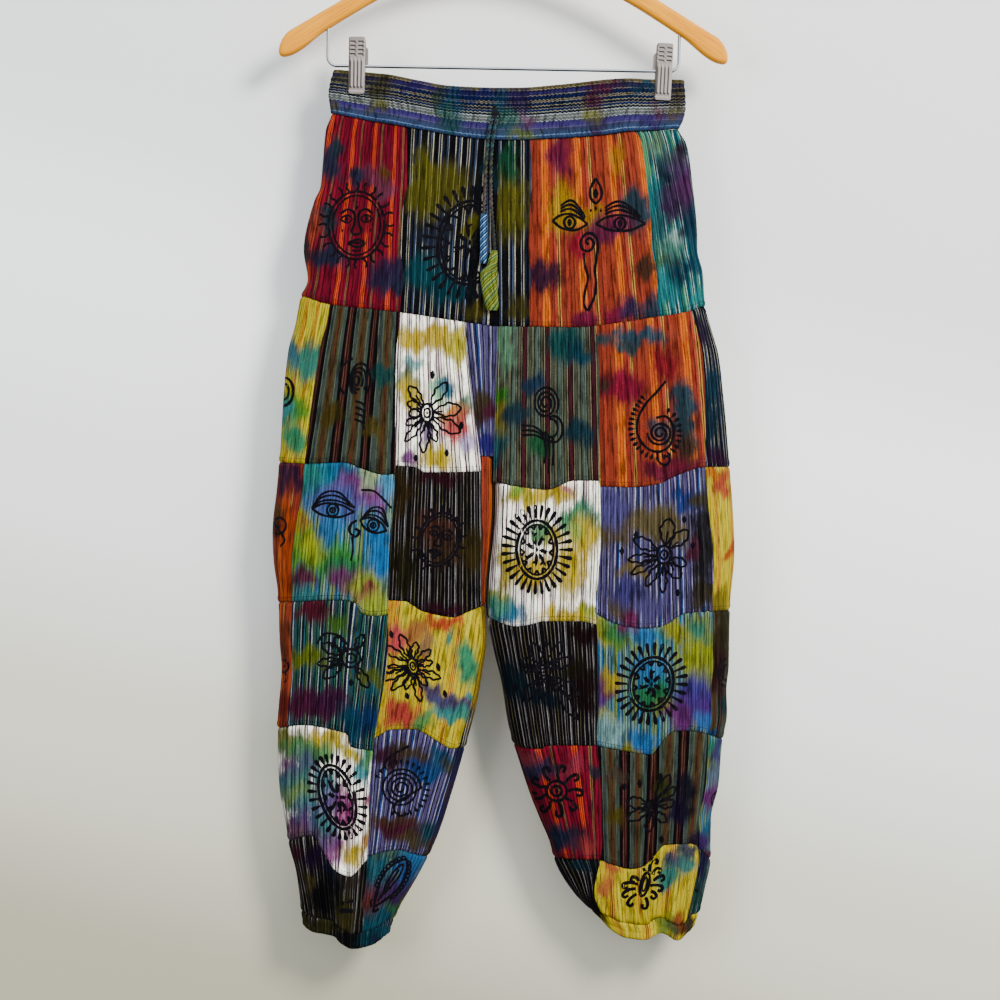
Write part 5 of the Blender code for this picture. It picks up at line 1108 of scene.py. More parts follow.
# a piece from a finished shape: smooth, but for edges sharper than the angle
def pieceFrom(name, shape, sharp):
    mesh = bpy.data.meshes.new(name)
    shape.to_mesh(mesh)
    shape.free()
    mesh.shade_smooth()
    mesh.set_sharp_from_angle(angle=math.radians(sharp))
    return placed(name, mesh)


# a closed tube along points, whose radius at each ring comes from profile(angle, run)
def tubeMesh(name, points, profile, sides):
    shape = bmesh.new()
    weave = shape.loops.layers.uv.new("cordMm")
    points = [Vector(p) for p in points]
    run, rings, runs, side = 0.0, [], [], None
    for i, point in enumerate(points):
        ahead = (points[min(i + 1, len(points) - 1)] - points[max(i - 1, 0)]).normalized()
        if side is None:
            side = ahead.cross(Vector((0, 1, 0))).normalized()
        else:
            run += (point - points[i - 1]).length
        side = (side - ahead * side.dot(ahead)).normalized()
        up = ahead.cross(side)
        ring = []
        for s in range(sides):
            angle = 2 * math.pi * s / sides
            out = side * math.cos(angle) + up * math.sin(angle)
            ring.append(shape.verts.new((point + out * profile(angle, run)) * mm))
        rings.append(ring)
        runs.append(run)
    for r, (near, far) in enumerate(zip(rings, rings[1:])):
        for s in range(sides):
            t = (s + 1) % sides
            face = shape.faces.new((near[s], near[t], far[t], far[s]))
            for loop, (at, along) in zip(face.loops, ((s, r), (s + 1, r), (s + 1, r + 1), (s, r + 1))):
                loop[weave].uv = (at / sides, runs[along])
    shape.faces.new(rings[0][::-1])
    shape.faces.new(rings[-1])
    bmesh.ops.recalc_face_normals(shape, faces=shape.faces)
    return pieceFrom(name, shape, 60)


# Two-ply cotton string: soft and matt, its plies of differently dyed threads showing as a barber's stripe
def stringMaterial():
    made, tree, shader = startMaterial("twistedCottonString", Roughness=0.85, Sheen_Weight=0.15)
    place = add(tree, "ShaderNodeUVMap", uv_map="cordMm")
    parts = add(tree, "ShaderNodeSeparateXYZ", {0: place})
    turns = {0: parts.outputs[1], 1: -1 / strings["twist"], 2: parts.outputs[0]}
    turns = add(tree, "ShaderNodeMath", turns, operation="MULTIPLY_ADD")
    share = add(tree, "ShaderNodeMath", {0: turns}, operation="FRACT")
    along = add(tree, "ShaderNodeMapRange", {0: parts.outputs[1], 1: 0, 2: 100, 3: 0, 4: 1})
    plies = []
    for stops in (
        ((0, "#1E7C8E"), (0.28, "#22807A"), (0.42, "#5E6A2E"), (0.6, "#8A8058"), (0.8, "#7A4A60"), (1, "#3A3A2E")),
        ((0, "#0E2A3A"), (0.3, "#14343A"), (0.45, "#2A2A1A"), (0.62, "#4A1A38"), (0.82, "#8A8468"), (1, "#1A1A20")),
    ):
        stops = [(at, ownColour(colour)) for at, colour in stops]
        plies.append(add(tree, "ShaderNodeValToRGB", {0: along}, stops))
    which = add(tree, "ShaderNodeMath", {0: share, 1: 0.5}, operation="GREATER_THAN")
    ply = add(tree, "ShaderNodeMix", {0: which, 6: plies[0], 7: plies[1]}, data_type="RGBA").outputs[2]
    turned = add(tree, "ShaderNodeCombineXYZ", {0: turns, 1: parts.outputs[1]})
    spread = add(tree, "ShaderNodeVectorMath", {0: turned, 1: (26, 0.5, 1)}, operation="MULTIPLY")
    threads = add(tree, "ShaderNodeTexNoise", {"Vector": spread, "Scale": 1.0, "Detail": 2.0})
    shade = add(tree, "ShaderNodeMapRange", {0: threads, 1: 0.3, 2: 0.7, 3: 0.25, 4: 0.8})
    shown = add(tree, "ShaderNodeVectorMath", {0: ply, "Scale": shade}, operation="SCALE")
    bump = add(tree, "ShaderNodeBump", {"Strength": 0.6, "Distance": 0.3 * mm, "Height": threads})
    feed(tree, shader, {"Base Color": shown, "Normal": bump})
    return made


# two plies wound round each other
def plied(angle, run):
    return strings["core"] + strings["ply"] * math.cos(2 * (angle - 2 * math.pi * run / strings["twist"]))


string = stringMaterial()
stringPieces = {}
for name, route in strings["routes"].items():
    reach = strings["diameter"] / 2 + strings["gap"]
    points = [(x, -(frontOfCloth(x, drop) + reach + lift), -drop) for x, drop, lift in route]
    path = smoothRoute(points, strings["spacing"])
    piece = tubeMesh(
        f"string_{name.split('_')[1]}", smoothRoute(points, strings["fineSpacing"]), plied, strings["sides"],
    )
    piece.data.materials.append(string)
    stringPieces[name] = (piece, path)
    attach(piece, "root")
    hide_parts(name)
print("strings twisted")

# The string's ends are rolled strips of cloth: drop, x of the middle, half width, half depth
tips = {
    "sides": 36, "rowHeight": 1.2, "rollTurns": 2.4, "rollDepth": 0.35, "rollSlant": 0.006, "hollow": 0.3,
    "pieces": {
        "tip_short": ("drawstring_short", "tipBlue", 0.6, [
            (338.5, -16.4, 2.6, 2.6), (343, -16.4, 3.5, 3.2), (365, -16.2, 3.6, 3.2), (385, -16, 3.4, 3.0),
            (388, -16, 2.6, 2.2),
        ]),
        "tip_long": ("drawstring_long", "tipGreen", 1.0, [
            (374.5, -5.2, 2.8, 2.6), (380, -6.0, 4.2, 3.2), (389, -7.2, 5.2, 3.6), (398, -10.4, 8.6, 3.6),
            (415, -9.2, 8.0, 3.6), (430, -6.8, 6.6, 3.2), (434, -6.6, 5.2, 2.4),
        ]),
    },
}
for name, (stringName, fabric, forward, rows) in tips["pieces"].items():
    at = [row[0] for row in rows]
    middleAt, widthAt, depthAt = (curve([(row[0], row[k]) for row in rows]) for k in (1, 2, 3))
    drops = np.linspace(at[0], at[-1], round((at[-1] - at[0]) / tips["rowHeight"]) + 1)
    turns = np.linspace(0, 1, tips["sides"] + 1)
    outer, inner, place = [], [], []
    for drop in drops:
        x, half, depth = (float(f(drop)) for f in (middleAt, widthAt, depthAt))
        y = -(frontOfCloth(x, drop) + max(strings["diameter"] / 2, depth) + strings["gap"] + forward)
        # the strip's edge shows as a low step down the roll
        step = (turns * tips["rollTurns"] + (drop - at[0]) * tips["rollSlant"]) % 1
        lift = tips["rollDepth"] * (1 - step) - tips["rollDepth"]
        angle = 2 * math.pi * turns
        ax, ay = (half + lift) * np.cos(angle), -(depth + lift) * np.sin(angle)
        outer.append(np.stack([x - ax, y + ay, np.full_like(ax, -drop)], -1))
        hollow = [x - ax * tips["hollow"], y + ay * tips["hollow"], np.full_like(ax, -drop)]
        inner.append(np.stack(hollow, -1))
        place.append(np.stack([turns * 2 * math.pi * half, np.full_like(turns, drop)], -1))
    outer, inner, place = np.array(outer)[:, :-1], np.array(inner)[:, :-1], np.array(place)
    none = np.zeros((*outer.shape[:2], 4))
    tip = clothMesh(f"rolled_{name}", outer, inner, place, none, closed=True)
    tip.data.materials.append(clothMaterials[fabric])
    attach(tip, "root")
    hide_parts(name)
    piece, path = stringPieces[stringName]


clothPieces, clothFronts, tiers = {}, {}, {}


for number, (name, ring, upper, first, last, fabric) in enumerate(patches):
    outer, inner, place, height = clothGrids(ring, upper, first, last, number)
    dye = dyeFor(name, fabric, outer[..., 0], outer[..., 1], -outer[..., 2], number)
    shifted = place + np.array([crinkle["weaveShift"] * number, 0])
    patch = clothMesh(f"cloth_{name}", outer, inner, shifted, dye)
    patch.data.materials.append(clothMaterials[fabric])
    width = float(place[:, -1, 0].mean())
    clothPieces[name] = (patch, fabric, width, height)
    clothFronts[name] = outer
    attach(patch, "root")
    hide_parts(name)
    tiers[name] = upper if ring == "body" else upper + 2
print(f"{len(clothPieces)} patches sewn")

# Block prints, drawn as strokes in mm: across + down * 1j from a print's middle, and a width
ink = {"width": 1.6, "step": 1.1, "proud": 0.26, "sunk": 0.35}


def loop(rx, ry=None, start=0, end=360):
    turn = np.radians(np.linspace(start, end, max(6, round(abs(end - start) / 15)) + 1))
    return rx * np.cos(turn) + 1j * (ry or rx) * np.sin(turn)


def through(*points):
    path = np.array([2 * points[0] - points[1], *points, 2 * points[-1] - points[-2]], complex)
    t = np.linspace(0, 1, 7)[:-1, None]
    a, b, c, d = path[:-3], path[1:-2], path[2:-1], path[3:]
    found = (2 * b + (c - a) * t + (2 * a - 5 * b + 4 * c - d) * t**2 + (3 * b - 3 * c + d - a) * t**3) / 2
    return np.append(found.T.ravel(), points[-1])


# a petal's outline; wave makes its sides waver
def petal(start, end, width, wave=0.0):
    t = np.linspace(0, 1, 16)
    full = width / 2 * np.sin(math.pi * t**1.3) ** 0.7
    side = 1j * (end - start) / abs(end - start)
    line = start + (end - start) * t
    ripple = wave * np.sin(t * 19) * np.sin(math.pi * t)
    return np.concatenate([line + side * (full + ripple), (line - side * (full - ripple))[::-1]])


# a filled drop: a straight stroke whose width swells
def swell(start, end, width, fullAt=0.65):
    t = np.linspace(0, 1, 7)
    return start + (end - start) * t, width * np.sin(math.pi * t ** (math.log(0.5) / math.log(fullAt))) ** 0.7


# a club: a straight stroke that ends broad and round
def club(start, end, width):
    t = np.linspace(0, 1, 7)
    return start + (end - start) * t, width * np.array([0.4, 0.5, 0.62, 0.76, 0.92, 1, 0.5])


def dot(middle, radius):
    return swell(middle - radius * 0.9, middle + radius * 0.9, 2 * radius, 0.5)


def around(count, make, start=0.0):
    return [stroke for i in range(count) for stroke in make(np.exp(2j * math.pi * (i / count + start)), i)]


def oval(turn, rx, ry):
    return rx * turn.real + 1j * ry * turn.imag


def raysAlong(path, spacing, near, far, width):
    run = runOf(np.abs(np.diff(path)))
    at = np.arange(spacing / 2, run[-1], spacing)
    spots = np.interp(at, run, path.real) + 1j * np.interp(at, run, path.imag)
    ahead = np.interp(at + 0.5, run, path.real) + 1j * np.interp(at + 0.5, run, path.imag) - spots
    out = 1j * ahead / np.maximum(np.abs(ahead), 1e-9)
    return [swell(spot + n * near, spot + n * far, width, 0.7) for spot, n in zip(spots, out)]


def sunWheel(rx, ry, rays, reach, core):
    strokes = [(loop(rx, ry), 1.9), (loop(rx - 3.6, ry - 4), 1.2)]
    strokes += around(rays, lambda n, i: [
        club(oval(n, rx + 1.8, ry + 1.8), oval(n, rx + 2.4 + reach, ry + 2.4 + reach), 2.5)
    ])
    strokes += around(round(rays * 0.42), lambda n, i: [(np.array([
        oval(n * np.exp(-0.13j), rx - 4, ry - 4.5), oval(n, rx * 0.62, ry * 0.7),
        oval(n * np.exp(0.13j), rx - 4, ry - 4.5),
    ]), 1.5)], 0.02)
    for i, n in enumerate(np.exp(1j * np.radians((8, 52, 95, 148, 200, 248, 300)))):
        reached = oval(n, rx, ry) * core * (1 if i % 2 else 0.8)
        strokes.append(swell(0.22 * reached, reached, 2.4, 0.35))
        strokes.append(swell(0.7 * reached, reached * 0.85 * np.exp(0.3j), 1.6, 0.4))
    return [*strokes, dot(0, 1.6)]


def sunFace(rx, ry, rays):
    k = rx / 26
    strokes = [(loop(rx, ry), 1.5), (loop(rx * 0.86, ry * 0.88), 1.1)]
    strokes += around(rays, lambda n, i: [(
        through(
            oval(n, rx + 1, ry + 1), oval(n, rx + 5 * k, ry + 5 * k) + 1.5j * n * k * (-1) ** i,
            oval(n, rx + 9 * k, ry + 9 * k),
        ), 1.3
    )])
    for s in (-1, 1):
        line = [(-1.6 - 9j, -3.4 - 13j, -8.5 - 15j, -15 - 11j), (-1.6 - 9j, -2.2 - 1j, -4.6 + 5j, -3 + 8j, 0 + 8.6j)]
        for points in line:
            strokes.append((np.array([complex(p.real * s * k, p.imag * k) for p in through(*points)]), 1.5))
        strokes.append((petal(complex(-s * 15 * k, -6 * k), complex(-s * 4.2 * k, -6 * k), 7 * k), 1.1))
        strokes += [dot(complex(-s * 9.4 * k, -6 * k), 2.0 * k), dot(complex(-s * 13 * k, 5 * k), 1.1)]
    return [
        *strokes, (petal(-8 * k + 17j * k, 8 * k + 17j * k, 7 * k), 1.4),
        (through(-7 * k + 17j * k, 16.4j * k, 7 * k + 17j * k), 1.2),
        (through(-4 * k + 23j * k, 24.4j * k, 4 * k + 23j * k), 1.1), dot(-17j * k, 1.7 * k), dot(-21.5j * k, 1.0),
    ]


def wisdomEyes():
    strokes = []
    for x, y, half, tilt in ((-26, 3, 17, 0.10), (24, 4, 24, -0.02)):
        place, turn = complex(x, y), np.exp(1j * tilt)
        for lift in (10, 16, 21, 26):
            arch = through(-half, -half * 0.6 - 0.6j * lift, -1j * lift * 0.85, half * 0.6 - 0.5j * lift, half * 1.05)
            strokes.append((place + (arch if lift < 12 else arch[6:-3]) * turn, 1.5))
        strokes.append((place + through(-half, -half * 0.4 + 6.4j, half * 0.4 + 6.8j, half * 1.05) * turn, 1.6))
        strokes += [(place + loop(5.4, 6), 1.6), dot(place, 2.8)]
    strokes += [(-28j + petal(-13j, 12j, 12), 1.6), dot(-26j, 3.2), dot(-11j, 1.6), dot(-5 - 9j, 1.3), dot(5 - 9j, 1.3)]
    curl = through(
        -7 + 25j, -10 + 22j, -6 + 18.5j, -2 + 24j, -6 + 31j, -13 + 30j, -15 + 22j, -10 + 14.5j, -2 + 15j, 2 + 24j,
        1 + 36j, -1 + 50j, 0 + 64j, -2 + 78j, -8 + 91j,
    )
    return [*strokes, (curl, 1.7), (through(-12 + 33j, -11 + 46j, -8 + 58j, -11 + 72j, -12 + 84j, -9 + 91j), 1.5)]


def spiral(turns, radius, tail):
    turn = np.linspace(0, turns * 2 * math.pi, round(turns * 22))
    coil = radius * (0.12 + 0.88 * turn / turn[-1]) * np.exp(1j * turn)
    return [(coil, 1.25), (np.append(coil[-3:], through(coil[-1], *tail)), 1.3)]


# a flower with its petals one by one: degrees clockwise from the right, reach and width
def flower(core, petals, specks=()):
    rx, ry = core
    strokes = [(loop(rx, ry), 1.5), (loop(rx * 0.5, ry * 0.5), 1.2), dot(0, 1.2)]
    for i, (degrees, reach, width) in enumerate(petals):
        n = np.exp(1j * math.radians(degrees))
        strokes += [(petal(oval(n, rx, ry), n * reach, width, 0.9), 1.25)]
        strokes += [(through(n * (rx + 1), n * reach * (0.45 + 0.1 * (i % 3)) + 0.6j * n), 1.0)]
    for degrees, reach in specks:
        strokes += [dot(reach * np.exp(1j * math.radians(degrees)), 2.6)]
    return strokes


def paisley(size):
    k = size / 20
    outer = k * through(
        7 - 52j, -3 - 40j, -14 - 28j, -22 - 12j, -22 + 4j, -12 + 18j, 2 + 21j, 13 + 12j, 15 - 4j, 8 - 15j, -3 - 14j,
    )
    turn = np.linspace(0.5, 5.2 * math.pi, 60)
    coil = k * (2 + 11 * turn / turn[-1]) * np.exp(1j * (turn - 0.6)) + k * (1 + 2j)
    foot = k * through(-2 + 22j, 0 + 32j, 8 + 35j, 11 + 28j, 5 + 25j)
    return [(outer, 1.6), (coil, 1.4), (foot, 1.4), *raysAlong(outer[10:56], 4.4 * k, 1.6, 9.5 * k, 2.2)]


def curlSun(core, ringRadius, rays, reach):
    strokes = [(loop(ringRadius), 1.8), (loop(core), 1.7), dot(0, core * 0.4)]
    return strokes + around(rays, lambda n, i: [(
        through(
            n * (ringRadius + 1.5), n * (ringRadius + reach * 0.45) - 2j * n, n * (ringRadius + reach) - 0.5j * n,
            n * (ringRadius + reach * 0.95) + 4.2j * n, n * (ringRadius + reach * 0.62) + 3.4j * n,
        ), 2.0
    )])


# hooked rays round a narrow eye: degrees clockwise from the right, reach, and the way each hook turns
def hookSun(rx, ry, hooks):
    strokes = [(loop(rx, ry), 1.7), (loop(rx * 0.5, ry * 0.6), 1.3)]
    for degrees, reach, turn in hooks:
        n = np.exp(1j * math.radians(degrees))
        near, side = abs(oval(n, rx, ry)) + 1.5, 1j * n * turn
        strokes.append((through(
            n * near, n * (near + reach) / 2 - 1.6 * side, n * reach - 0.4 * side, n * (reach - 0.4) + 3.6 * side,
            n * (reach - 4.4) + 3.4 * side,
        ), 2.0))
    return strokes


# a paisley with a beaded edge, a vein and dots
def beadedLeaf(length, width):
    half = length / 2
    rim = petal(-half + 0j, half + 0j, width)
    strokes = [(rim, 1.5), (petal(-half * 0.5 + 0j, half * 0.8 + 0j, width * 0.36), 1.2)]
    strokes += [(through(-half * 0.75, 0, half * 0.55), 1.2), dot(-half - 3 + 0j, 2.6)]
    strokes.append((through(-half - 3, -half + 2 - 5j, -half + 6 - 6j), 1.3))
    strokes.append((through(-half - 3, -half - 4 + 3j, -half + 1 + 5j), 1.3))
    run = runOf(np.abs(np.diff(rim)))
    for at in np.arange(length * 0.34, run[-1] - length * 0.34, 4.4):
        spot = complex(np.interp(at, run, rim.real), np.interp(at, run, rim.imag))
        out = complex(0, math.copysign(1, spot.imag))
        strokes += [(spot + 1.9 * out + loop(1.9), 1.0), dot(complex(spot.real, spot.imag * 0.64), 0.9)]
    return strokes


def eyePair():
    strokes = []
    for middle, half, tilt in ((-20 - 2j, 21, 5), (20 + 13j, 14, 22)):
        turn = np.exp(1j * math.radians(tilt))
        for lift in (9.5, 14, 18):
            brow = through(-half, -half * 0.55 - lift * 0.85j, half * 0.2 - lift * 1j, half * 1.02 - 4j)
            strokes.append((middle + brow * turn, 1.2))
        upperLid = through(-half, -half * 0.4 - 6j, half * 0.4 - 5.6j, half)
        lowerLid = through(half, half * 0.3 + 6.4j, -half * 0.5 + 5.4j, -half)
        strokes.append((middle + np.concatenate([upperLid, lowerLid]) * turn, 1.4))
        strokes += [(middle + loop(5.6, 6), 1.3), (middle + loop(2.6), 1.2), dot(middle, 1.3)]
    curl = through(4 + 8j, -2 + 12j, -3 + 20j, 3 + 24j, 6 + 19j, 2 + 16j)
    stem, brow = through(-1 + 24j, 0 + 36j, -2 + 48j), through(8 - 22j, 22 - 20j, 38 - 4j)
    return [*strokes, (curl, 1.6), (stem, 1.2), (brow, 1.3)]


def stemmedSpiral():
    turn = np.linspace(0.4, 6.2 * math.pi, 80)
    coil = (2 + 11 * turn / turn[-1]) * (np.cos(turn) + 1.3j * np.sin(turn))
    strokes = [(coil, 1.4), (8 + 26j + loop(9, 13, -120, 170), 1.5), (6 + 25j + loop(6, 9, -110, 160), 1.3)]
    for across, foot in ((-1, 60), (3, 70), (7, 62)):
        strokes.append((through(across + 34j, across + 1 + 48j, across + foot * 1j), 1.4))
    for lift in (0, 5, 10):
        strokes.append((through(2 + (38 - lift * 0.3) * 1j, -10 + (32 - lift * 0.8) * 1j, -24 + (32 - lift) * 1j), 1.3))
    return strokes


def shell():
    whorls = ((2.6, 20), (5, 60), (7.4, 100), (10, 130))
    strokes = [(loop(rx, rx * 1.75, start, 400) + 0.5 * rx, 1.4) for rx, start in whorls]
    strokes.append((through(-4 - 22j, -14 - 12j, -15 + 6j, -8 + 16j), 1.5))
    return strokes + [(through(2 + d * 1j, 10 + (d + 3) * 1j, 12 + (d + 10) * 1j), 1.5) for d in (20, 26, 32, 38)]


# patch, print, across and down of its middle, tilt in degrees, and where it stops across, if it does
prints = [
    ("yoke_red", sunFace(28, 34.5, 24), 357.5, 227, 0, None),
    ("yoke_black_left", sunWheel(32, 42, 30, 13, 0.55), 470, 245, 8, 487),
    ("yoke_orange", wisdomEyes(), 595, 222, 0, None),
    ("seat_side_left", [(loop(10, 14), 1.8), (loop(5, 8), 1.5)], 285, 392, 0, None),
    ("seat_brown", shell(), 357, 382, 4, None),
    ("seat_white", flower(
        (6, 9), ((-8, 34, 13), (30, 38, 12), (72, 30, 7), (96, 40, 8), (128, 36, 7), (152, 24, 7), (178, 18, 9),
         (208, 22, 8), (236, 32, 9), (303, 36, 10)),
        ((278, 38), (20, 36), (64, 44), (104, 46)),
    ), 428, 414, 0, None),
    ("seat_green", stemmedSpiral(), 545, 404, 0, None),
    ("seat_orange", paisley(19), 657, 432, 0, None),
    ("thigh_left_side", spiral(1.6, 12, (6 + 14j, 2 + 22j)), 280, 524, 0, None),
    ("thigh_left_outer", eyePair(), 355, 512, 0, None),
    ("thigh_left_inner", sunFace(20, 27, 17), 440, 539, 17, None),
    ("thigh_right_inner", sunWheel(20, 29, 31, 13, 0.72), 536.5, 549, 0, None),
    ("thigh_right_outer", flower(
        (7, 9), ((-152, 34, 11), (172, 36, 8), (150, 38, 7), (120, 36, 8), (92, 38, 7), (55, 28, 12), (25, 24, 9),
         (-45, 34, 12), (-82, 36, 14)),
        ((215, 34), (-18, 30), (185, 42), (-60, 40), (70, 40)),
    ), 662, 554, 0, None),
    ("knee_left_side", spiral(1.5, 9, (4 + 10j, 2 + 18j)), 284, 664, 0, None),
    ("knee_left_outer", [*flower(
        (9, 9), ((205, 32, 10), (232, 26, 9), (170, 34, 8), (145, 34, 10), (60, 34, 9), (-62, 26, 8)),
        ((215, 22), (160, 20), (90, 24)),
    ), (through(-34 - 14j, -26 - 24j, -12 - 22j, -2 - 12j), 1.4)], 353, 656, 0, None),
    ("knee_left_inner", flower(
        (5, 8), ((-28, 24, 7), (2, 20, 6), (38, 30, 7), (68, 24, 6), (92, 36, 7), (122, 24, 6), (146, 32, 7),
         (170, 34, 7), (188, 38, 6), (228, 36, 8), (262, 34, 8), (292, 24, 7)),
        ((16, 25), (55, 42), (250, 38), (115, 30), (190, 36)),
    ), 414, 664, -14, None),
    ("knee_right_inner", flower(
        (7, 7), ((-111, 31, 11), (-150, 25, 9), (194, 22, 8), (-58, 36, 9), (-26, 33, 9), (34, 42, 11), (54, 58, 9),
         (123, 35, 10), (92, 27, 8)),
        ((-84, 28), (20, 30), (150, 32)),
    ), 543, 670, 0, None),
    ("knee_right_outer", sunWheel(21.5, 27, 28, 12, 0.6), 649.5, 681.5, 16, None),
    ("knee_right_side", [(loop(9, 14, 90, 270), 1.7), (loop(5, 8, 90, 270), 1.4)], 726, 672, 0, None),
    ("calf_left_outer", sunWheel(17, 33, 29, 9, 0.66), 339, 794, -17, None),
    ("calf_left_inner", [
        *spiral(4, 20, (-6 + 16j, -2 + 27j, 8 + 25j)), *raysAlong(loop(22, 22, 200, 480), 5, 0, -7, 1.9),
        (through(-20 - 16j, -12 - 30j, 8 - 42j), 1.4),
    ], 402, 785, 0, None),
    ("calf_right_inner", curlSun(5, 10, 9, 15), 556, 788, 0, None),
    ("calf_right_outer", flower(
        (4, 6), ((192, 26, 11), (152, 28, 10), (100, 26, 8), (-62, 36, 9), (-40, 30, 8), (-12, 22, 9), (50, 20, 8)),
        ((240, 26), (215, 34), (75, 34), (-75, 30)),
    ), 651, 803, 0, None),
    ("calf_right_side", [(loop(8, 10, 90, 250), 1.6), (loop(5, 6, 90, 260), 1.4)], 719, 800, 0, None),
    ("ankle_left_outer", [
        (through(-6 - 3j, -4 - 3.4j, -2.5 - 3.2j), 2.2), (through(0 - 4j, 4 - 5.2j, 7 - 5.4j), 2.0),
        (through(-7 + 5j, -1 + 4.4j, 6 + 5j), 2.8),
    ], 348, 903, 0, None),
    ("ankle_left_inner", beadedLeaf(58, 20), 391, 880, -56, None),
    ("ankle_right_outer", hookSun(4.2, 12, (
        (-84, 27, 1), (-104, 22, 1), (-36, 20, 1), (-2, 18, 1), (34, 17, 1), (72, 24, 1), (116, 26, -1),
        (141, 24, -1), (166, 21, -1), (196, 14, -1), (-64, 21, 1),
    )), 643.5, 881, 14, None),
    ("ankle_right_side", [(through(-4 - 14j, 2 - 6j, -3 + 2j, 3 + 10j), 1.7)], 694, 880, 0, None),
]


# Block printing ink: flat pigment that sinks into the yarns, a little worn on the crinkles' crests
def inkMaterial():
    made, tree, shader = startMaterial("blockPrintInk", Roughness=0.9, Specular_IOR_Level=0.08)
    place = add(tree, "ShaderNodeTexCoord").outputs["Object"]
    spread = add(tree, "ShaderNodeVectorMath", {0: place, 1: (700, 700, 110)}, operation="MULTIPLY")
    worn = add(tree, "ShaderNodeTexNoise", {"Vector": spread, "Scale": 1.0, "Detail": 3.0})
    stops = [(at, linear(colour)) for at, colour in ((0.4, "#060509"), (0.62, "#0C0A0E"), (0.82, "#26221F"))]
    feed(tree, shader, {"Base Color": add(tree, "ShaderNodeValToRGB", {0: worn}, stops)})
    return made


inkLook = inkMaterial()


# lays strokes on a patch's cloth as thin closed ribbons, wherever the cloth faces the front under them
def inked(name, strokes, across, down, tilt=0, stop=None, kind="print", material=inkLook):
    patch = clothPieces[name][0]
    cloth = BVHTree.FromPolygons([v.co for v in patch.data.vertices], [p.vertices for p in patch.data.polygons])
    dice = random.Random(round(across))
    verts, faces = [], []

    def closeRun(sections):
        for near, far in zip(sections, sections[1:]):
            for a, b in ((0, 2), (2, 3), (3, 1), (1, 0)):
                faces.append((near + a, near + b, far + b, far + a))
        if len(sections) > 1:
            faces.append(tuple(sections[0] + k for k in (0, 1, 3, 2)))
            faces.append(tuple(sections[-1] + k for k in (0, 2, 3, 1)))

    for points, width in strokes:
        points = np.asarray(points, complex) * np.exp(1j * math.radians(tilt))
        run = runOf(np.abs(np.diff(points)))
        at = np.linspace(0, run[-1], max(2, round(run[-1] / ink["step"]) + 1))
        line = np.interp(at, run, points.real) + 1j * np.interp(at, run, points.imag)
        widths = np.interp(at, run, np.broadcast_to(width, len(points))) * ink["width"]
        widths = np.maximum(widths * (1 + 0.12 * np.sin(at / 3.1 + dice.uniform(0, 6))), 0.3)
        ahead = np.gradient(line)
        side = 1j * ahead / np.maximum(np.abs(ahead), 1e-9) * widths / 2
        rails = np.stack([line - side, line + side])
        x, z = onGarment(across + rails.real, down + rails.imag)
        sections = []
        for k in range(len(at)):
            hits = [cloth.ray_cast(Vector((x[j, k] * mm, -0.3, -z[j, k] * mm)), Vector((0, 1, 0)), 0.3) for j in (0, 1)]
            if any(h[0] is None or h[1].y > -0.15 for h in hits) or (stop and across + line[k].real > stop):
                closeRun(sections)
                sections = []
                continue
            sections.append(len(verts))
            for lift in (ink["proud"], -ink["sunk"]):
                verts += [h[0] + h[1] * lift * mm for h in hits]
        closeRun(sections)
    mesh = bpy.data.meshes.new(f"{kind}_{name}")
    mesh.from_pydata(verts, [], faces)
    shape = bmesh.new()
    shape.from_mesh(mesh)
    bmesh.ops.delete(shape, geom=[v for v in shape.verts if not v.link_faces], context="VERTS")
    bmesh.ops.recalc_face_normals(shape, faces=shape.faces)
    shape.to_mesh(mesh)
    shape.free()
    mesh.materials.append(material)
    obj = placed(f"{kind}_{name}", mesh)
    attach(obj, "root")
    return len(mesh.polygons)


print(f"{len(prints)} prints in {sum(inked(*entry) for entry in prints)} faces")

band = {
    "columns": 900, "rows": 30, "proud": 0.6, "wall": 2.2, "puff": 0.95, "gather": 0.55, "gatherWidth": 4.2,
    "waver": 0.5, "sheetHeight": 48,
    "channels": (0.13, 0.27, 0.4, 0.53, 0.66), "channelWidth": 0.022, "flatBelow": 0.66,
    "evenDrop": 230.0, "middleDrop": 220.0, "clipFlatWidth": 14.0,
}
bandTopAt, bandFootAt = curve(bandTop), curve(seams["waist"][0])


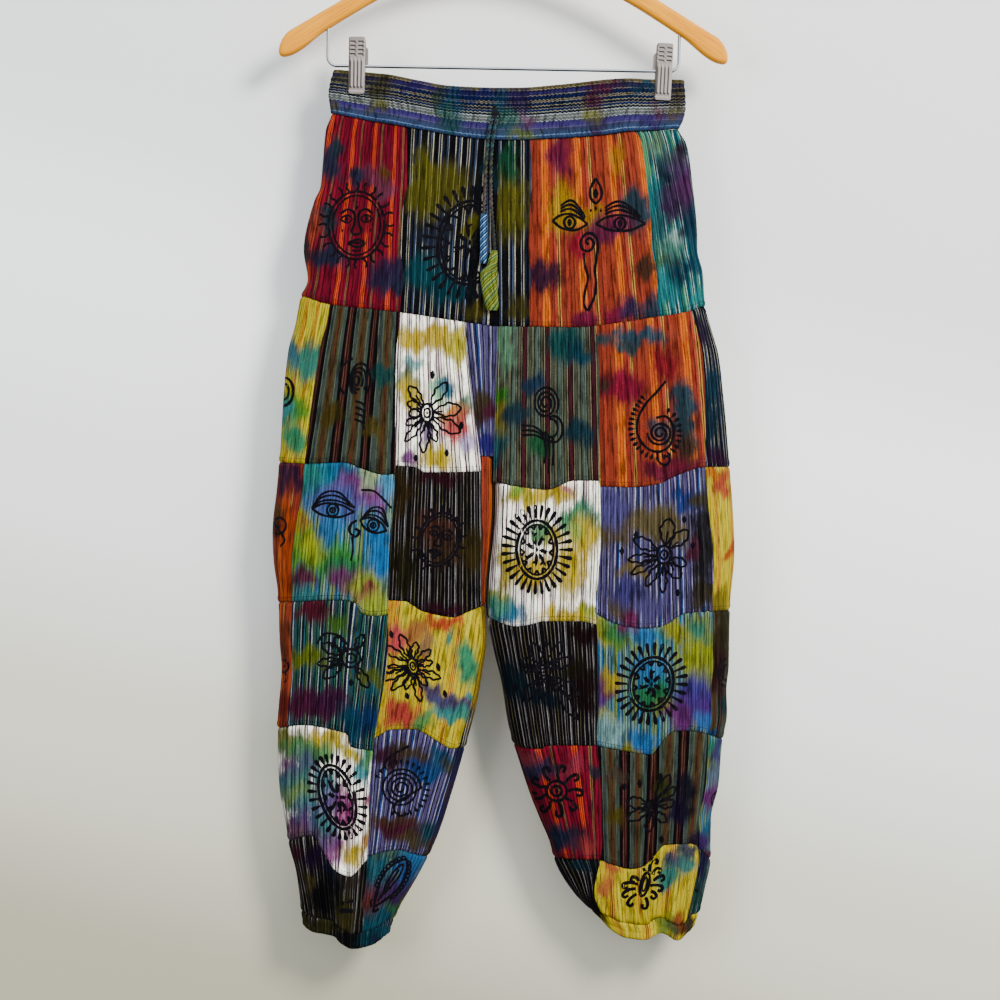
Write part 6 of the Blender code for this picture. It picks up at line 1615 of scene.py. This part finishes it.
def bandGrids():
    u = evenly("body", 0, 6, band["columns"], band["evenDrop"])
    x, _ = ringPoint("body", u, np.full_like(u, band["middleDrop"]))
    down = spaced(50, 50 / band["rows"], (0, 0.5, 1.2, 2.0))[:, None]
    drop = bandTopAt(x) * (1 - down) + (bandFootAt(x) - crinkle["inset"]) * down
    u = np.broadcast_to(u, drop.shape)
    x, y, nx, ny, _ = ringFrame("body", u, drop)
    run = runOf(np.hypot(np.diff(x[0]), np.diff(y[0])))
    run = np.broadcast_to(run, drop.shape)
    # puffs between the elastic's channels, gathered finely lengthwise
    puff = np.ones_like(drop)
    for channel in band["channels"]:
        puff = puff - np.exp(-(((down - channel) / band["channelWidth"]) ** 2))
    puff = puff * eased(down / 0.05 + 0.2) * eased((1 - down) / 0.04 + 0.3)
    turns = 2 * math.pi * run / run[0, -1] * round(run[0, -1] / band["gatherWidth"])
    wander = 1.1 * np.sin(turns / 9 + 7 * down) + 0.7 * np.sin(turns / 23)
    gather = np.sin(turns + wander) * (0.7 + 0.3 * np.sin(turns / 13 + 11 * down))
    flat = eased((down - band["flatBelow"] - 0.03) / 0.05)
    clipped = sum(np.exp(-(((x - clip) / band["clipFlatWidth"]) ** 2)) for clip in hang["clipX"]) * (y < 4)
    lift = band["puff"] * puff * (1 - 0.5 * flat) + band["gather"] * gather * (1 - 0.65 * flat)
    lift = band["proud"] + lift * (1 - np.minimum(clipped * 1.2, 1))
    outer = np.stack([x + nx * lift, y + ny * lift, -drop], -1)
    depth = band["wall"] - band["proud"]
    inner = np.stack([x - nx * depth, y - ny * depth, -drop], -1)
    repeat = sum(width for width, _ in fabrics["band"])
    across = (0.004 + 0.992 * down) * repeat + band["waver"] * repeat / 48 * gather * (1 - 0.4 * flat)
    place = np.stack([run, np.clip(across, 0.1, repeat - 0.1)], -1)
    return outer[:, :-1], inner[:, :-1], place, down[:, 0], np.stack([nx, ny, 0 * nx], -1)[:, :-1]


outer, inner, place, bandDown, bandNormal = bandGrids()
bandOuter = outer
dye = dyeFor("waistband", "band", outer[..., 0], outer[..., 1], -outer[..., 2], 401)
waistband = clothMesh("cloth_waistband", outer, inner, place, dye, closed=True)
waistband.data.materials.append(clothMaterials["band"])
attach(waistband, "root")
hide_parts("waistband")
clothPieces["waistband"] = (waistband, "band")

cuffs = {
    "wall": 2.2, "gather": 1.0, "puff": 1.1, "rows": 14, "perColumn": 7,
    "pieces": {"cuff_left": ("leftLeg", "blackPin"), "cuff_right": ("rightLeg", "yellow")},
}
for number, (name, (ring, fabric)) in enumerate(cuffs["pieces"].items()):
    table, _, levels = ringTable[ring]
    columns = np.linspace(0, table.shape[1] - 1, (table.shape[1] - 1) * cuffs["perColumn"] + 1)
    table = np.stack([np.interp(columns, np.arange(table.shape[1]), row) for row in table])
    top = seamDrop("cuff", ring, table[-1], 0) + crinkle["inset"]
    foot = seamDrop("hem", ring, table[-1], 0)
    down = np.linspace(0, 1, cuffs["rows"] + 1)[:, None]
    drop = top * (1 - down) + foot * down
    x, y, nx, ny, _ = ringFrame(ring, columnsAt(table, levels, drop), drop)
    gathers = np.cos(2 * math.pi * columns) + 0.45 * np.cos(4 * math.pi * columns + 2 * np.sin(columns))
    ends = eased(down / 0.16 + 0.1) * eased((1 - down) / 0.16 + 0.2)
    lift = cuffs["gather"] * gathers * (1 - 0.35 * down) * 0.75 + cuffs["puff"] * (ends - 0.6)
    lift = lift - 0.5 * np.exp(-(((down - 0.55) / 0.06) ** 2))
    outer = np.stack([x + nx * lift, y + ny * lift, -drop], -1)
    inside = np.minimum(lift, 0) - cuffs["wall"] + 0.4
    inner = np.stack([x + nx * inside, y + ny * inside, -drop], -1)
    run = runOf(np.hypot(np.diff(x[0]), np.diff(y[0])))
    place = np.stack([np.broadcast_to(run, drop.shape), drop], -1)
    dye = dyeFor(name, fabric, outer[..., 0], outer[..., 1], drop, 410 + number)[:, :-1]
    cuff = clothMesh(f"cloth_{name}", outer[:, :-1], inner[:, :-1], place, dye, closed=True)
    cuff.data.materials.append(clothMaterials[fabric])
    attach(cuff, "root")
    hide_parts(name)
print("waistband and cuffs gathered")

# The hanger. The wood's outline from its middle to its left tip: (x, drop)
wood = {
    "thickness": 12.0, "edgeRadius": 4.4, "step": 3.0,
    "top": [
        (0, 66), (-35, 69.6), (-75, 80), (-119.6, 99), (-161.7, 123.8), (-205.7, 150.6), (-215.6, 157), (-221.5, 165),
        (-224.3, 174),
    ],
    "foot": [
        (-223.6, 180), (-218.5, 181.5), (-177.2, 154.4), (-126.6, 123.2), (-84.6, 102.5), (-44.8, 90), (0, 85),
    ],
}


# Varnished pine or ash ply: honey coloured, fine grain along each arm, a satin coat of lacquer
def woodMaterial():
    made, tree, shader = startMaterial("lacqueredPine", Roughness=0.5, Specular_IOR_Level=0.12)
    place = add(tree, "ShaderNodeUVMap", uv_map="grainMm")
    spread = add(tree, "ShaderNodeVectorMath", {0: place, 1: (0.012, 0.05, 1)}, operation="MULTIPLY")
    sway = add(tree, "ShaderNodeTexNoise", {"Vector": spread, "Scale": 1.0})
    bend = add(tree, "ShaderNodeMapRange", {0: sway, 1: 0, 2: 1, 3: -3.5, 4: 3.5})
    shift = add(tree, "ShaderNodeCombineXYZ", {1: bend})
    bent = add(tree, "ShaderNodeVectorMath", {0: place, 1: shift}, operation="ADD")
    along = add(tree, "ShaderNodeVectorMath", {0: bent, 1: (0.02, 0.55, 1)}, operation="MULTIPLY")
    grain = add(tree, "ShaderNodeTexNoise", {"Vector": along, "Scale": 1.0, "Detail": 4.0, "Roughness": 0.6})
    close = add(tree, "ShaderNodeVectorMath", {0: bent, 1: (0.12, 3.2, 1)}, operation="MULTIPLY")
    pores = add(tree, "ShaderNodeTexNoise", {"Vector": close, "Scale": 1.0, "Detail": 2.0})
    stops = [(at, linear(colour)) for at, colour in ((0.32, "#BE7408"), (0.5, "#D0860C"), (0.68, "#DC961A"))]
    tone = add(tree, "ShaderNodeValToRGB", {0: grain}, stops)
    shade = add(tree, "ShaderNodeMapRange", {0: pores, 1: 0.3, 2: 0.7, 3: 0.9, 4: 1.06})
    shown = add(tree, "ShaderNodeVectorMath", {0: tone, "Scale": shade}, operation="SCALE")
    bump = add(tree, "ShaderNodeBump", {"Strength": 0.3, "Distance": 0.1 * mm, "Height": pores})
    feed(tree, shader, {"Base Color": shown, "Normal": bump})
    return made


# drawn steel wire, chrome plated: mirror bright, with fine drawing lines along it
def chromeMaterial(name, colour, roughness, lines):
    made, tree, shader = startMaterial(name, Metallic=1.0, Roughness=roughness)
    place = add(tree, "ShaderNodeTexCoord").outputs["Object"]
    spread = add(tree, "ShaderNodeVectorMath", {0: place, 1: lines}, operation="MULTIPLY")
    marks = add(tree, "ShaderNodeTexNoise", {"Vector": spread, "Scale": 1.0, "Detail": 3.0})
    stops = [(at, [min(1, v * share) for v in linear(colour)]) for at, share in ((0.3, 0.86), (0.7, 1.04))]
    tone = add(tree, "ShaderNodeValToRGB", {0: marks}, stops)
    rough = add(tree, "ShaderNodeMapRange", {0: marks, 1: 0.3, 2: 0.7, 3: roughness * 0.8, 4: roughness * 1.25})
    bump = add(tree, "ShaderNodeBump", {"Strength": 0.15, "Distance": 0.05 * mm, "Height": marks})
    feed(tree, shader, {"Base Color": tone, "Roughness": rough, "Normal": bump})
    return made


chrome = chromeMaterial("chromedSteelWire", "#D0D2D6", 0.14, (60, 900, 900))
nickel = chromeMaterial("satinNickelPressing", "#B4A69E", 0.3, (1400, 300, 90))


# the outline, evenly walked, then narrowed ring by ring round the edge and closed over both faces
def woodMesh():
    half = [*wood["top"], *wood["foot"][:-1]]
    ring = [*half, (0, wood["foot"][-1][1]), *[(-x, drop) for x, drop in reversed(half[1:])]]
    closed = [Vector((x, 0, -drop)) for x, drop in ring]
    count = len(closed)
    walked = []
    for i in range(count):
        a, b, c, d = (closed[(i + k) % count] for k in (-1, 0, 1, 2))
        steps = max(2, round((c - b).length / wood["step"]))
        # tangents scaled to each span, so that short spans beside long ones don't overshoot
        span = (c - b).length
        t0 = ((c - b) / span + (b - a) / (b - a).length).normalized() * span
        t1 = ((d - c) / (d - c).length + (c - b) / span).normalized() * span
        for t in (k / steps for k in range(steps)):
            h = (2 * t**3 - 3 * t**2 + 1) * b + (t**3 - 2 * t**2 + t) * t0
            walked.append(h + (3 * t**2 - 2 * t**3) * c + (t**3 - t**2) * t1)
    count = len(walked)
    inward = []
    for i in range(count):
        ahead = (walked[(i + 1) % count] - walked[i - 1]).normalized()
        inward.append(Vector((-ahead.z, 0, ahead.x)))
    centre = Vector((0, 0, -75))
    if (walked[0] + inward[0] - centre).length > (walked[0] - centre).length:
        inward = [-n for n in inward]
    radius, deep = wood["edgeRadius"], wood["thickness"] / 2
    shape = bmesh.new()
    rings = []
    for turn in (math.radians(a) for a in (90, 72, 54, 36, 18, 0, -18, -36, -54, -72, -90)):
        y = math.copysign(deep - radius, -turn) - radius * math.sin(turn)
        if turn == 0:
            y = 0
        into = radius * (1 - math.cos(turn))
        rings.append([shape.verts.new((p + n * into + Vector((0, y, 0))) * mm) for p, n in zip(walked, inward)])
    for near, far in zip(rings, rings[1:]):
        for i in range(count):
            j = (i + 1) % count
            shape.faces.new((near[i], far[i], far[j], near[j]))
    for ring in (rings[0], rings[-1]):
        rim = [shape.edges.get((ring[i], ring[(i + 1) % count])) for i in range(count)]
        bmesh.ops.triangle_fill(shape, use_beauty=True, edges=rim)
    bmesh.ops.recalc_face_normals(shape, faces=shape.faces)
    weave = shape.loops.layers.uv.new("grainMm")
    topAt = curve([(-x, drop) for x, drop in wood["top"]])
    for face in shape.faces:
        for loop in face.loops:
            x, y, z = loop.vert.co / mm
            loop[weave].uv = (x * 1.13, (-z - float(topAt(abs(x)))) * 0.85 + 0.5 * y)
    return pieceFrom("hanger_wood", shape, 50)


woodPiece = woodMesh()
woodPiece.data.materials.append(woodMaterial())
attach(woodPiece, "root")
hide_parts("hanger_body")

wires = {
    "barRadius": 1.6, "bend": 9.0, "barDrop": 189.8, "barEndX": 175.6, "barEndDrop": 144.0,
    "hookRadius": 1.9, "hookInner": 19.0, "hookTip": 215, "hookNeck": -38,
    "neck": [(9.97, 37.36), (3.87, 41.46), (0.6, 48.5), (0, 54), (0, 78)],
}


def arc(centre, radius, start, end, steps):
    angles = np.radians(np.linspace(start, end, steps + 1))
    return [(centre[0] + radius * math.cos(a), 0, centre[1] + radius * math.sin(a)) for a in angles]


inner, foot, bend = wires["barEndX"] - wires["bend"], -wires["barDrop"], wires["bend"]
route = [(-wires["barEndX"], 0, -wires["barEndDrop"])]
route += arc((-inner, foot + bend), bend, 180, 270, 16)
route += arc((inner, foot + bend), bend, 270, 360, 16)
route += [(wires["barEndX"], 0, -wires["barEndDrop"])]
bar = tubeMesh("chrome_bar", route, lambda angle, run: wires["barRadius"], 24)
middleSeat = -wires["hookInner"]
route = arc((0, middleSeat), wires["hookInner"] + wires["hookRadius"], wires["hookTip"], wires["hookNeck"], 60)
neck = smoothRoute([route[-1], *[(x, 0, -drop) for x, drop in wires["neck"]]], 2.0)
route = [*route[:-1], *neck]
hook = tubeMesh("chrome_hook", route, lambda angle, run: wires["hookRadius"] * eased(0.45 + run / 3), 24)
for piece, node in ((bar, "hanger_bar"), (hook, "hanger_hook")):
    piece.data.materials.append(chrome)
    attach(piece, "root")
    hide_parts(node)

clips = {
    "width": 16.5, "height": 57.0, "plate": 1.2, "halfGap": 4.2, "tubeRadius": 4.5,
    "pieces": [("clip_left", -146.0, 161.2, 0.0, 1), ("clip_right", 160.6, 162.3, 2.2, -1)],
    "dimpleDrops": (5.6, 9.8, 14.0, 18.2), "dimpleWidth": 6.4, "dimpleHeight": 2.2, "dimpleDepth": 0.75,
    "flutes": 4, "fluteTop": 20.5, "fluteFoot": 51.5, "fluteHeight": 0.75, "lip": 53.5, "cornerRadius": 2.2,
    "frontGrid": (67, 161), "backGrid": (17, 49), "springTurns": 9, "springWire": 0.8, "springShort": 4,
    "springSteps": 20, "springSides": 8,
}


# how far a place on a clip's plate stands out: dimples above, flutes below, and a turned lip
def clipRelief(a, d, glint):
    half = clips["width"] / 2
    lift = 0.0
    for drop in clips["dimpleDrops"]:
        for centre in (-half / 2 + 0.2, half / 2 - 0.2):
            flat = max(abs(a - centre) - (clips["dimpleWidth"] - clips["dimpleHeight"]) / 2, 0)
            away = math.hypot(flat, d - drop) / (clips["dimpleHeight"] / 2)
            lift -= clips["dimpleDepth"] * float(eased((1.25 - away) / 0.55))
            # the punched tongue stands up at one end of each dimple
            away = math.hypot(a - centre - glint * 2.6, d - drop) / 1.1
            lift += 0.9 * clips["dimpleDepth"] * float(eased((1.2 - away) / 0.8))
    ends = float(eased((d - clips["fluteTop"]) / 5)) * float(eased((clips["fluteFoot"] - d) / 2.2))
    wave = 0.5 + 0.5 * math.cos(2 * math.pi * (a / (clips["width"] - 2) * clips["flutes"] + 0.5))
    lift += clips["fluteHeight"] * wave * ends * float(eased((half - 0.6 - abs(a)) / 0.8))
    lift += 0.55 * float(eased((d - clips["lip"]) / 1.0))
    # the plate's long edges turn back a little
    lift -= 0.9 * float(eased((abs(a) - half + 1.6) / 1.6)) ** 2
    return lift


def clipMesh(name, x, top, lean, glint):
    shape = bmesh.new()
    half, height = clips["width"] / 2, clips["height"]
    for side, (wide, high) in ((-1, clips["frontGrid"]), (1, clips["backGrid"])):
        across, down = np.linspace(-half, half, wide), np.linspace(0, height, high)
        layers = []
        for outer in (True, False):
            grid = []
            for d in down:
                corner = min(d, height - d)
                inset = clips["cornerRadius"] - math.sqrt(
                    max(clips["cornerRadius"] ** 2 - max(clips["cornerRadius"] - corner, 0) ** 2, 0)
                )
                row = []
                # the back plate's ears peep out beside the front one
                ear = 2.6 * float(eased((d - 8) / 3) * eased((29 - d) / 3)) if side == 1 else 0.0
                for a in across * (half - inset) / half:
                    a += glint * ear * max(a * glint, 0) / half
                    lift = clipRelief(a, d, glint) if side == -1 else 0.0
                    out = clips["halfGap"] + (clips["plate"] + lift if outer else min(lift, 0) * 0.8)
                    row.append(shape.verts.new(Vector((x + a, side * out, -(top + d))) * mm))
                grid.append(row)
            layers.append(grid)
        out, into = layers
        rows, columns = len(down), len(across)
        for r in range(rows - 1):
            for c in range(columns - 1):
                shape.faces.new((out[r][c], out[r + 1][c], out[r + 1][c + 1], out[r][c + 1]))
                shape.faces.new((into[r][c], into[r][c + 1], into[r + 1][c + 1], into[r + 1][c]))
            for c in (0, columns - 1):
                shape.faces.new((out[r][c], into[r][c], into[r + 1][c], out[r + 1][c]))
        for c in range(columns - 1):
            for r in (0, rows - 1):
                shape.faces.new((out[r][c], out[r][c + 1], into[r][c + 1], into[r][c]))
    # the spring wound round the bar between the plates
    turns, wire, sides = clips["springTurns"], clips["springWire"], clips["springSides"]
    radius, length = clips["tubeRadius"] - wire, clips["width"] - clips["springShort"]
    steps = turns * clips["springSteps"]
    rings = []
    for i in range(steps + 1):
        angle, along = 2 * math.pi * turns * i / steps, length * (i / steps - 0.5)
        out = Vector((0, math.cos(angle), math.sin(angle)))
        centre = Vector((x + along, 0, -wires["barDrop"])) + out * radius
        rings.append([
            shape.verts.new((
                centre + out * wire * math.cos(2 * math.pi * s / sides)
                + Vector((wire * math.sin(2 * math.pi * s / sides), 0, 0))
            ) * mm)
            for s in range(sides)
        ])
    for near, far in zip(rings, rings[1:]):
        for s in range(sides):
            t = (s + 1) % sides
            shape.faces.new((near[s], near[t], far[t], far[s]))
    shape.faces.new(rings[0])
    shape.faces.new(rings[-1][::-1])
    bmesh.ops.recalc_face_normals(shape, faces=shape.faces)
    pivot = Matrix.Translation(Vector((x, 0, -wires["barDrop"])) * mm)
    bmesh.ops.transform(
        shape, matrix=pivot @ Matrix.Rotation(math.radians(lean), 4, "Y") @ pivot.inverted(), verts=shape.verts
    )
    return pieceFrom(f"nickel_{name}", shape, 55)


for name, x, top, lean, glint in clips["pieces"]:
    clip = clipMesh(name, x, top, lean, glint)
    clip.data.materials.append(nickel)
    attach(clip, "root")
    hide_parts(name)
print("hanger and clips made")

# Topstitching: a row of thread above each tier's foot, and round each channel of the band
stitches = {
    "aboveFoot": 4.6, "proud": 0.16, "spacing": 3.0, "length": 2.6, "radius": 0.26, "sides": 5, "rings": 4,
    "bandLength": 1.7, "apart": 1.3,
}


# spun polyester sewing thread: dark, slightly glossy, with the twist of its plies
def threadMaterial(name, dark, light):
    made, tree, shader = startMaterial(name, Roughness=0.7, Specular_IOR_Level=0.15)
    place = add(tree, "ShaderNodeTexCoord").outputs["Object"]
    spread = add(tree, "ShaderNodeVectorMath", {0: place, 1: (1900, 1900, 900)}, operation="MULTIPLY")
    twist = add(tree, "ShaderNodeTexNoise", {"Vector": spread, "Scale": 1.0, "Detail": 2.0})
    tone = add(tree, "ShaderNodeValToRGB", {0: twist}, [(0.35, linear(dark)), (0.7, linear(light))])
    bump = add(tree, "ShaderNodeBump", {"Strength": 0.4, "Distance": 0.06 * mm, "Height": twist})
    feed(tree, shader, {"Base Color": tone, "Normal": bump})
    return made


# lays a stitch at every step along each line of a mesh of edges
def stitchTree():
    tree = bpy.data.node_groups.new("runningStitch", "GeometryNodeTree")
    face = tree.interface
    face.new_socket("Lines", in_out="INPUT", socket_type="NodeSocketGeometry")
    sockets = {}
    for title in ("Spacing", "Length", "Radius"):
        socket = face.new_socket(title, in_out="INPUT", socket_type="NodeSocketFloat")
        socket.default_value = stitches[title.lower()] * mm
        sockets[title] = socket.identifier
    sockets["Thread"] = face.new_socket("Thread", in_out="INPUT", socket_type="NodeSocketMaterial").identifier
    face.new_socket("Stitches", in_out="OUTPUT", socket_type="NodeSocketGeometry")
    given = add(tree, "NodeGroupInput").outputs
    line = add(tree, "GeometryNodeMeshToCurve", {0: given["Lines"]})
    steps = add(tree, "GeometryNodeCurveToPoints", {"Curve": line, "Length": given["Spacing"]}, mode="LENGTH")
    turned = add(tree, "FunctionNodeAlignRotationToVector", {"Vector": steps.outputs["Tangent"]}, axis="Z")
    ball = {"Segments": stitches["sides"], "Rings": stitches["rings"], "Radius": 1.0}
    ball = add(tree, "GeometryNodeMeshUVSphere", ball)
    half = add(tree, "ShaderNodeMath", {0: given["Length"], 1: 0.5}, operation="MULTIPLY")
    size = add(tree, "ShaderNodeCombineXYZ", {0: given["Radius"], 1: given["Radius"], 2: half})
    laid = add(tree, "GeometryNodeInstanceOnPoints", {
        "Points": steps.outputs["Points"], "Instance": ball, "Rotation": turned, "Scale": size,
    })
    plain = add(tree, "GeometryNodeRealizeInstances", {0: laid})
    shown = add(tree, "GeometryNodeSetMaterial", {"Geometry": plain, "Material": given["Thread"]})
    add(tree, "NodeGroupOutput", {0: shown})
    return tree, sockets


stitchNodes, stitchSockets = stitchTree()


def stitched(name, lines, thread, length=None):
    points, edges = [], []
    for line, closed in lines:
        first = len(points)
        points += [Vector(p) * mm for p in line]
        edges += [(i, i + 1) for i in range(first, len(points) - 1)]
        if closed:
            edges.append((len(points) - 1, first))
    guide = bpy.data.meshes.new(name)
    guide.from_pydata(points, edges, [])
    sewn = placed(name, guide)
    sewing = sewn.modifiers.new("stitches", "NODES")
    sewing.node_group = stitchNodes
    sewing[stitchSockets["Thread"]] = thread
    if length:
        sewing[stitchSockets["Spacing"]] = length * stitches["apart"] * mm
        sewing[stitchSockets["Length"]] = length * mm
    bpy.context.view_layer.update()
    evaluated = sewn.evaluated_get(bpy.context.evaluated_depsgraph_get())
    mesh = bpy.data.meshes.new_from_object(evaluated)
    sewn.modifiers.clear()
    sewn.data = mesh
    mesh.name = name
    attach(sewn, "root")
    return len(mesh.polygons)


# a line on a grid of cloth, at a height above its foot, just proud of the cloth
def lineAbove(grid, above, proud):
    out = []
    for column in range(grid.shape[1]):
        height = grid[:, column, 2] - grid[-1, column, 2]
        out.append([np.interp(above, height[::-1], grid[::-1, column, axis]) for axis in range(3)])
    line = np.array(out)
    ahead = np.gradient(line, axis=0)
    outward = np.stack([ahead[:, 1], -ahead[:, 0], 0 * ahead[:, 0]], 1)
    return line + outward / np.maximum(np.linalg.norm(outward, axis=1), 1e-9)[:, None] * proud


darkThread = threadMaterial("darkSewingThread", "#08070A", "#16141A")
tierNames = ("yoke", "seat", "thigh", "knee", "calf")
sewnFaces = 0
for level, title in enumerate(tierNames):
    lines = []
    for name, tier in tiers.items():
        if tier == level:
            lines.append((lineAbove(clothFronts[name], stitches["aboveFoot"], stitches["proud"]), False))
    sewnFaces += stitched(f"thread_{title}", lines, darkThread)
lines = []
for channel in band["channels"]:
    row = int(np.argmin(np.abs(bandDown - channel)))
    lines.append((bandOuter[row] + bandNormal[row] * stitches["proud"], True))
sewnFaces += stitched("thread_waistband", lines, darkThread, stitches["bandLength"])
# the buttonhole that the string comes out of, worked round in the same thread
hole = [swell(-8.5j, 8.5j, 3.4, 0.5), (loop(2.2, 10), 1.1), (through(1.5 - 2j, 4 - 3.5j, 5 + 0.5j, 2 + 2j), 1.0)]
sewnFaces += inked("waistband", hole, 494.5, 119, kind="buttonhole", material=darkThread)
print(f"topstitched in {sewnFaces} faces")

# The plain room: a pale wall close behind, with a pool of light and shade painted on it, a pale floor well below, soft
# light from the upper right
room = {
    "wallBehind": 0.052, "floor": "#D9D6D0", "floorDrop": 1.32, "halfWidth": 4.0,
    "paintedLightLean": 0.25, "wallFrom": -1.3, "wallTo": -0.1,
    # name, place, what it is turned to, width, power and colour
    "lamps": (
        ("keyLight", (1.5, -2.2, 0.9), (0, 0, -0.55), 0.9, 150.0, "#FFFBF4"),
        ("fillLight", (-1.8, -2.4, -0.2), (0, 0, -0.6), 1.6, 60.0, "#F2F6FF"),
        ("rearLight", (0.6, 2.6, 0.8), (0, 0, -0.6), 1.6, 75.0, "#FFFFFF"),
    ),
    # the wall's tones from its foot up: painted shade low down, a painted pool of light above, falling off again near
    # the top
    "wall": ((0.08, "#A09C86"), (0.28, "#CBC8B6"), (0.48, "#E8EAE6"), (0.67, "#F6F8F6"), (0.85, "#DDE0DE")),
    "air": ((0.2, 0.1), (0.45, 0.35), (0.52, 1.0), (0.66, 2.5), (1.0, 2.3)),
    "airColour": "#E8EEF2", "airLean": (0.5, 0, 0.86), "wallTop": 2.5,
}


# plaster with a coat of paint: flat and a little rough, seen from its front side only; its tones run up and a little to
# the right, and on the wall they are painted light: a soft pool of light, with painted shade, warmer and greyer,
# towards the floor
def plasterMaterial(name, tones, oneSided=False):
    made, tree, shader = startMaterial(name, Roughness=0.9, Specular_IOR_Level=0.2)
    place = add(tree, "ShaderNodeTexCoord").outputs["Object"]
    # the tones follow height and a little x: on the wall a painted pool of light, brighter to the right, and painted
    # shade low down
    lean = add(tree, "ShaderNodeVectorMath", {0: place, 1: (room["paintedLightLean"], 0, 1)}, operation="DOT_PRODUCT")
    share = {0: lean.outputs["Value"], 1: room["wallFrom"], 2: room["wallTo"], 3: 0, 4: 1}
    share = add(tree, "ShaderNodeMapRange", share)
    tone = add(tree, "ShaderNodeValToRGB", {0: share}, [(at, linear(colour)) for at, colour in tones])
    tone.color_ramp.interpolation = "EASE"
    spread = add(tree, "ShaderNodeVectorMath", {0: place, 1: (220, 220, 220)}, operation="MULTIPLY")
    rough = add(tree, "ShaderNodeTexNoise", {"Vector": spread, "Scale": 1.0, "Detail": 3.0})
    bump = add(tree, "ShaderNodeBump", {"Strength": 0.1, "Distance": 0.2 * mm, "Height": rough})
    feed(tree, shader, {"Base Color": tone, "Normal": bump})
    if oneSided:
        # the garment's back is lit through the wall
        facing = add(tree, "ShaderNodeMath", {
            0: add(tree, "ShaderNodeNewGeometry").outputs["Backfacing"],
            1: add(tree, "ShaderNodeLightPath").outputs["Is Shadow Ray"],
        }, operation="MAXIMUM")
        clear = add(tree, "ShaderNodeBsdfTransparent")
        chosen = add(tree, "ShaderNodeMixShader", {0: facing, 1: shader, 2: clear})
        feed(tree, tree.nodes["Material Output"], {"Surface": chosen})
    return made


def roomPlane(name, corners, material):
    mesh = bpy.data.meshes.new(name)
    mesh.from_pydata(corners, [], [(0, 1, 2, 3)])
    mesh.materials.append(material)
    obj = placed(name, mesh)
    return obj


wide, back, low, top = room["halfWidth"], room["wallBehind"], -room["floorDrop"], room["wallTop"]
roomPlane(
    "pale_wall", [(-wide, back, low), (wide, back, low), (wide, back, top), (-wide, back, top)],
    plasterMaterial("plasterWallPaintedLightPool", room["wall"], True),
)
floor = roomPlane(
    "pale_floor", [(-wide, -wide, low), (wide, -wide, low), (wide, wide, low), (-wide, wide, low)],
    plasterMaterial("paleScreedFloor", ((0, room["floor"]), (1, room["floor"]))),
)
# the floor throws no light back up, so the metal and the wall's foot stay dark underneath
floor.visible_glossy = floor.visible_diffuse = False


def softLight(name, place, target, size, power, colour):
    light = bpy.data.lights.new(name, "AREA")
    light.shape, light.size, light.energy, light.color = "DISK", size, power, linear(colour)
    obj = placed(name, light)
    aim = (Vector(target) - Vector(place)).to_track_quat("-Z", "Y")
    obj.matrix_world = Matrix.Translation(place) @ aim.to_matrix().to_4x4()
    # the metal mirrors the bright air above and the dark floor, not the lamps
    obj.visible_glossy = False
    return obj


for lamp in room["lamps"]:
    softLight(*lamp)
air = bpy.data.worlds.new("paleRoom")
air.use_nodes = True
tree, background = air.node_tree, air.node_tree.nodes["Background"]
direction = add(tree, "ShaderNodeTexCoord").outputs["Generated"]
leaning = add(tree, "ShaderNodeVectorMath", {0: direction, 1: room["airLean"]}, operation="DOT_PRODUCT")
height = add(tree, "ShaderNodeMapRange", {0: leaning.outputs["Value"], 1: -1, 2: 1, 3: 0, 4: 1})
tint, brightest = linear(room["airColour"]), max(share for _, share in room["air"])
sky = [(at, [c * share / brightest for c in tint]) for at, share in room["air"]]
sky = add(tree, "ShaderNodeValToRGB", {0: height}, sky)
feed(tree, background, {"Color": sky, "Strength": brightest})
bpy.context.scene.world = air
print("room lit")
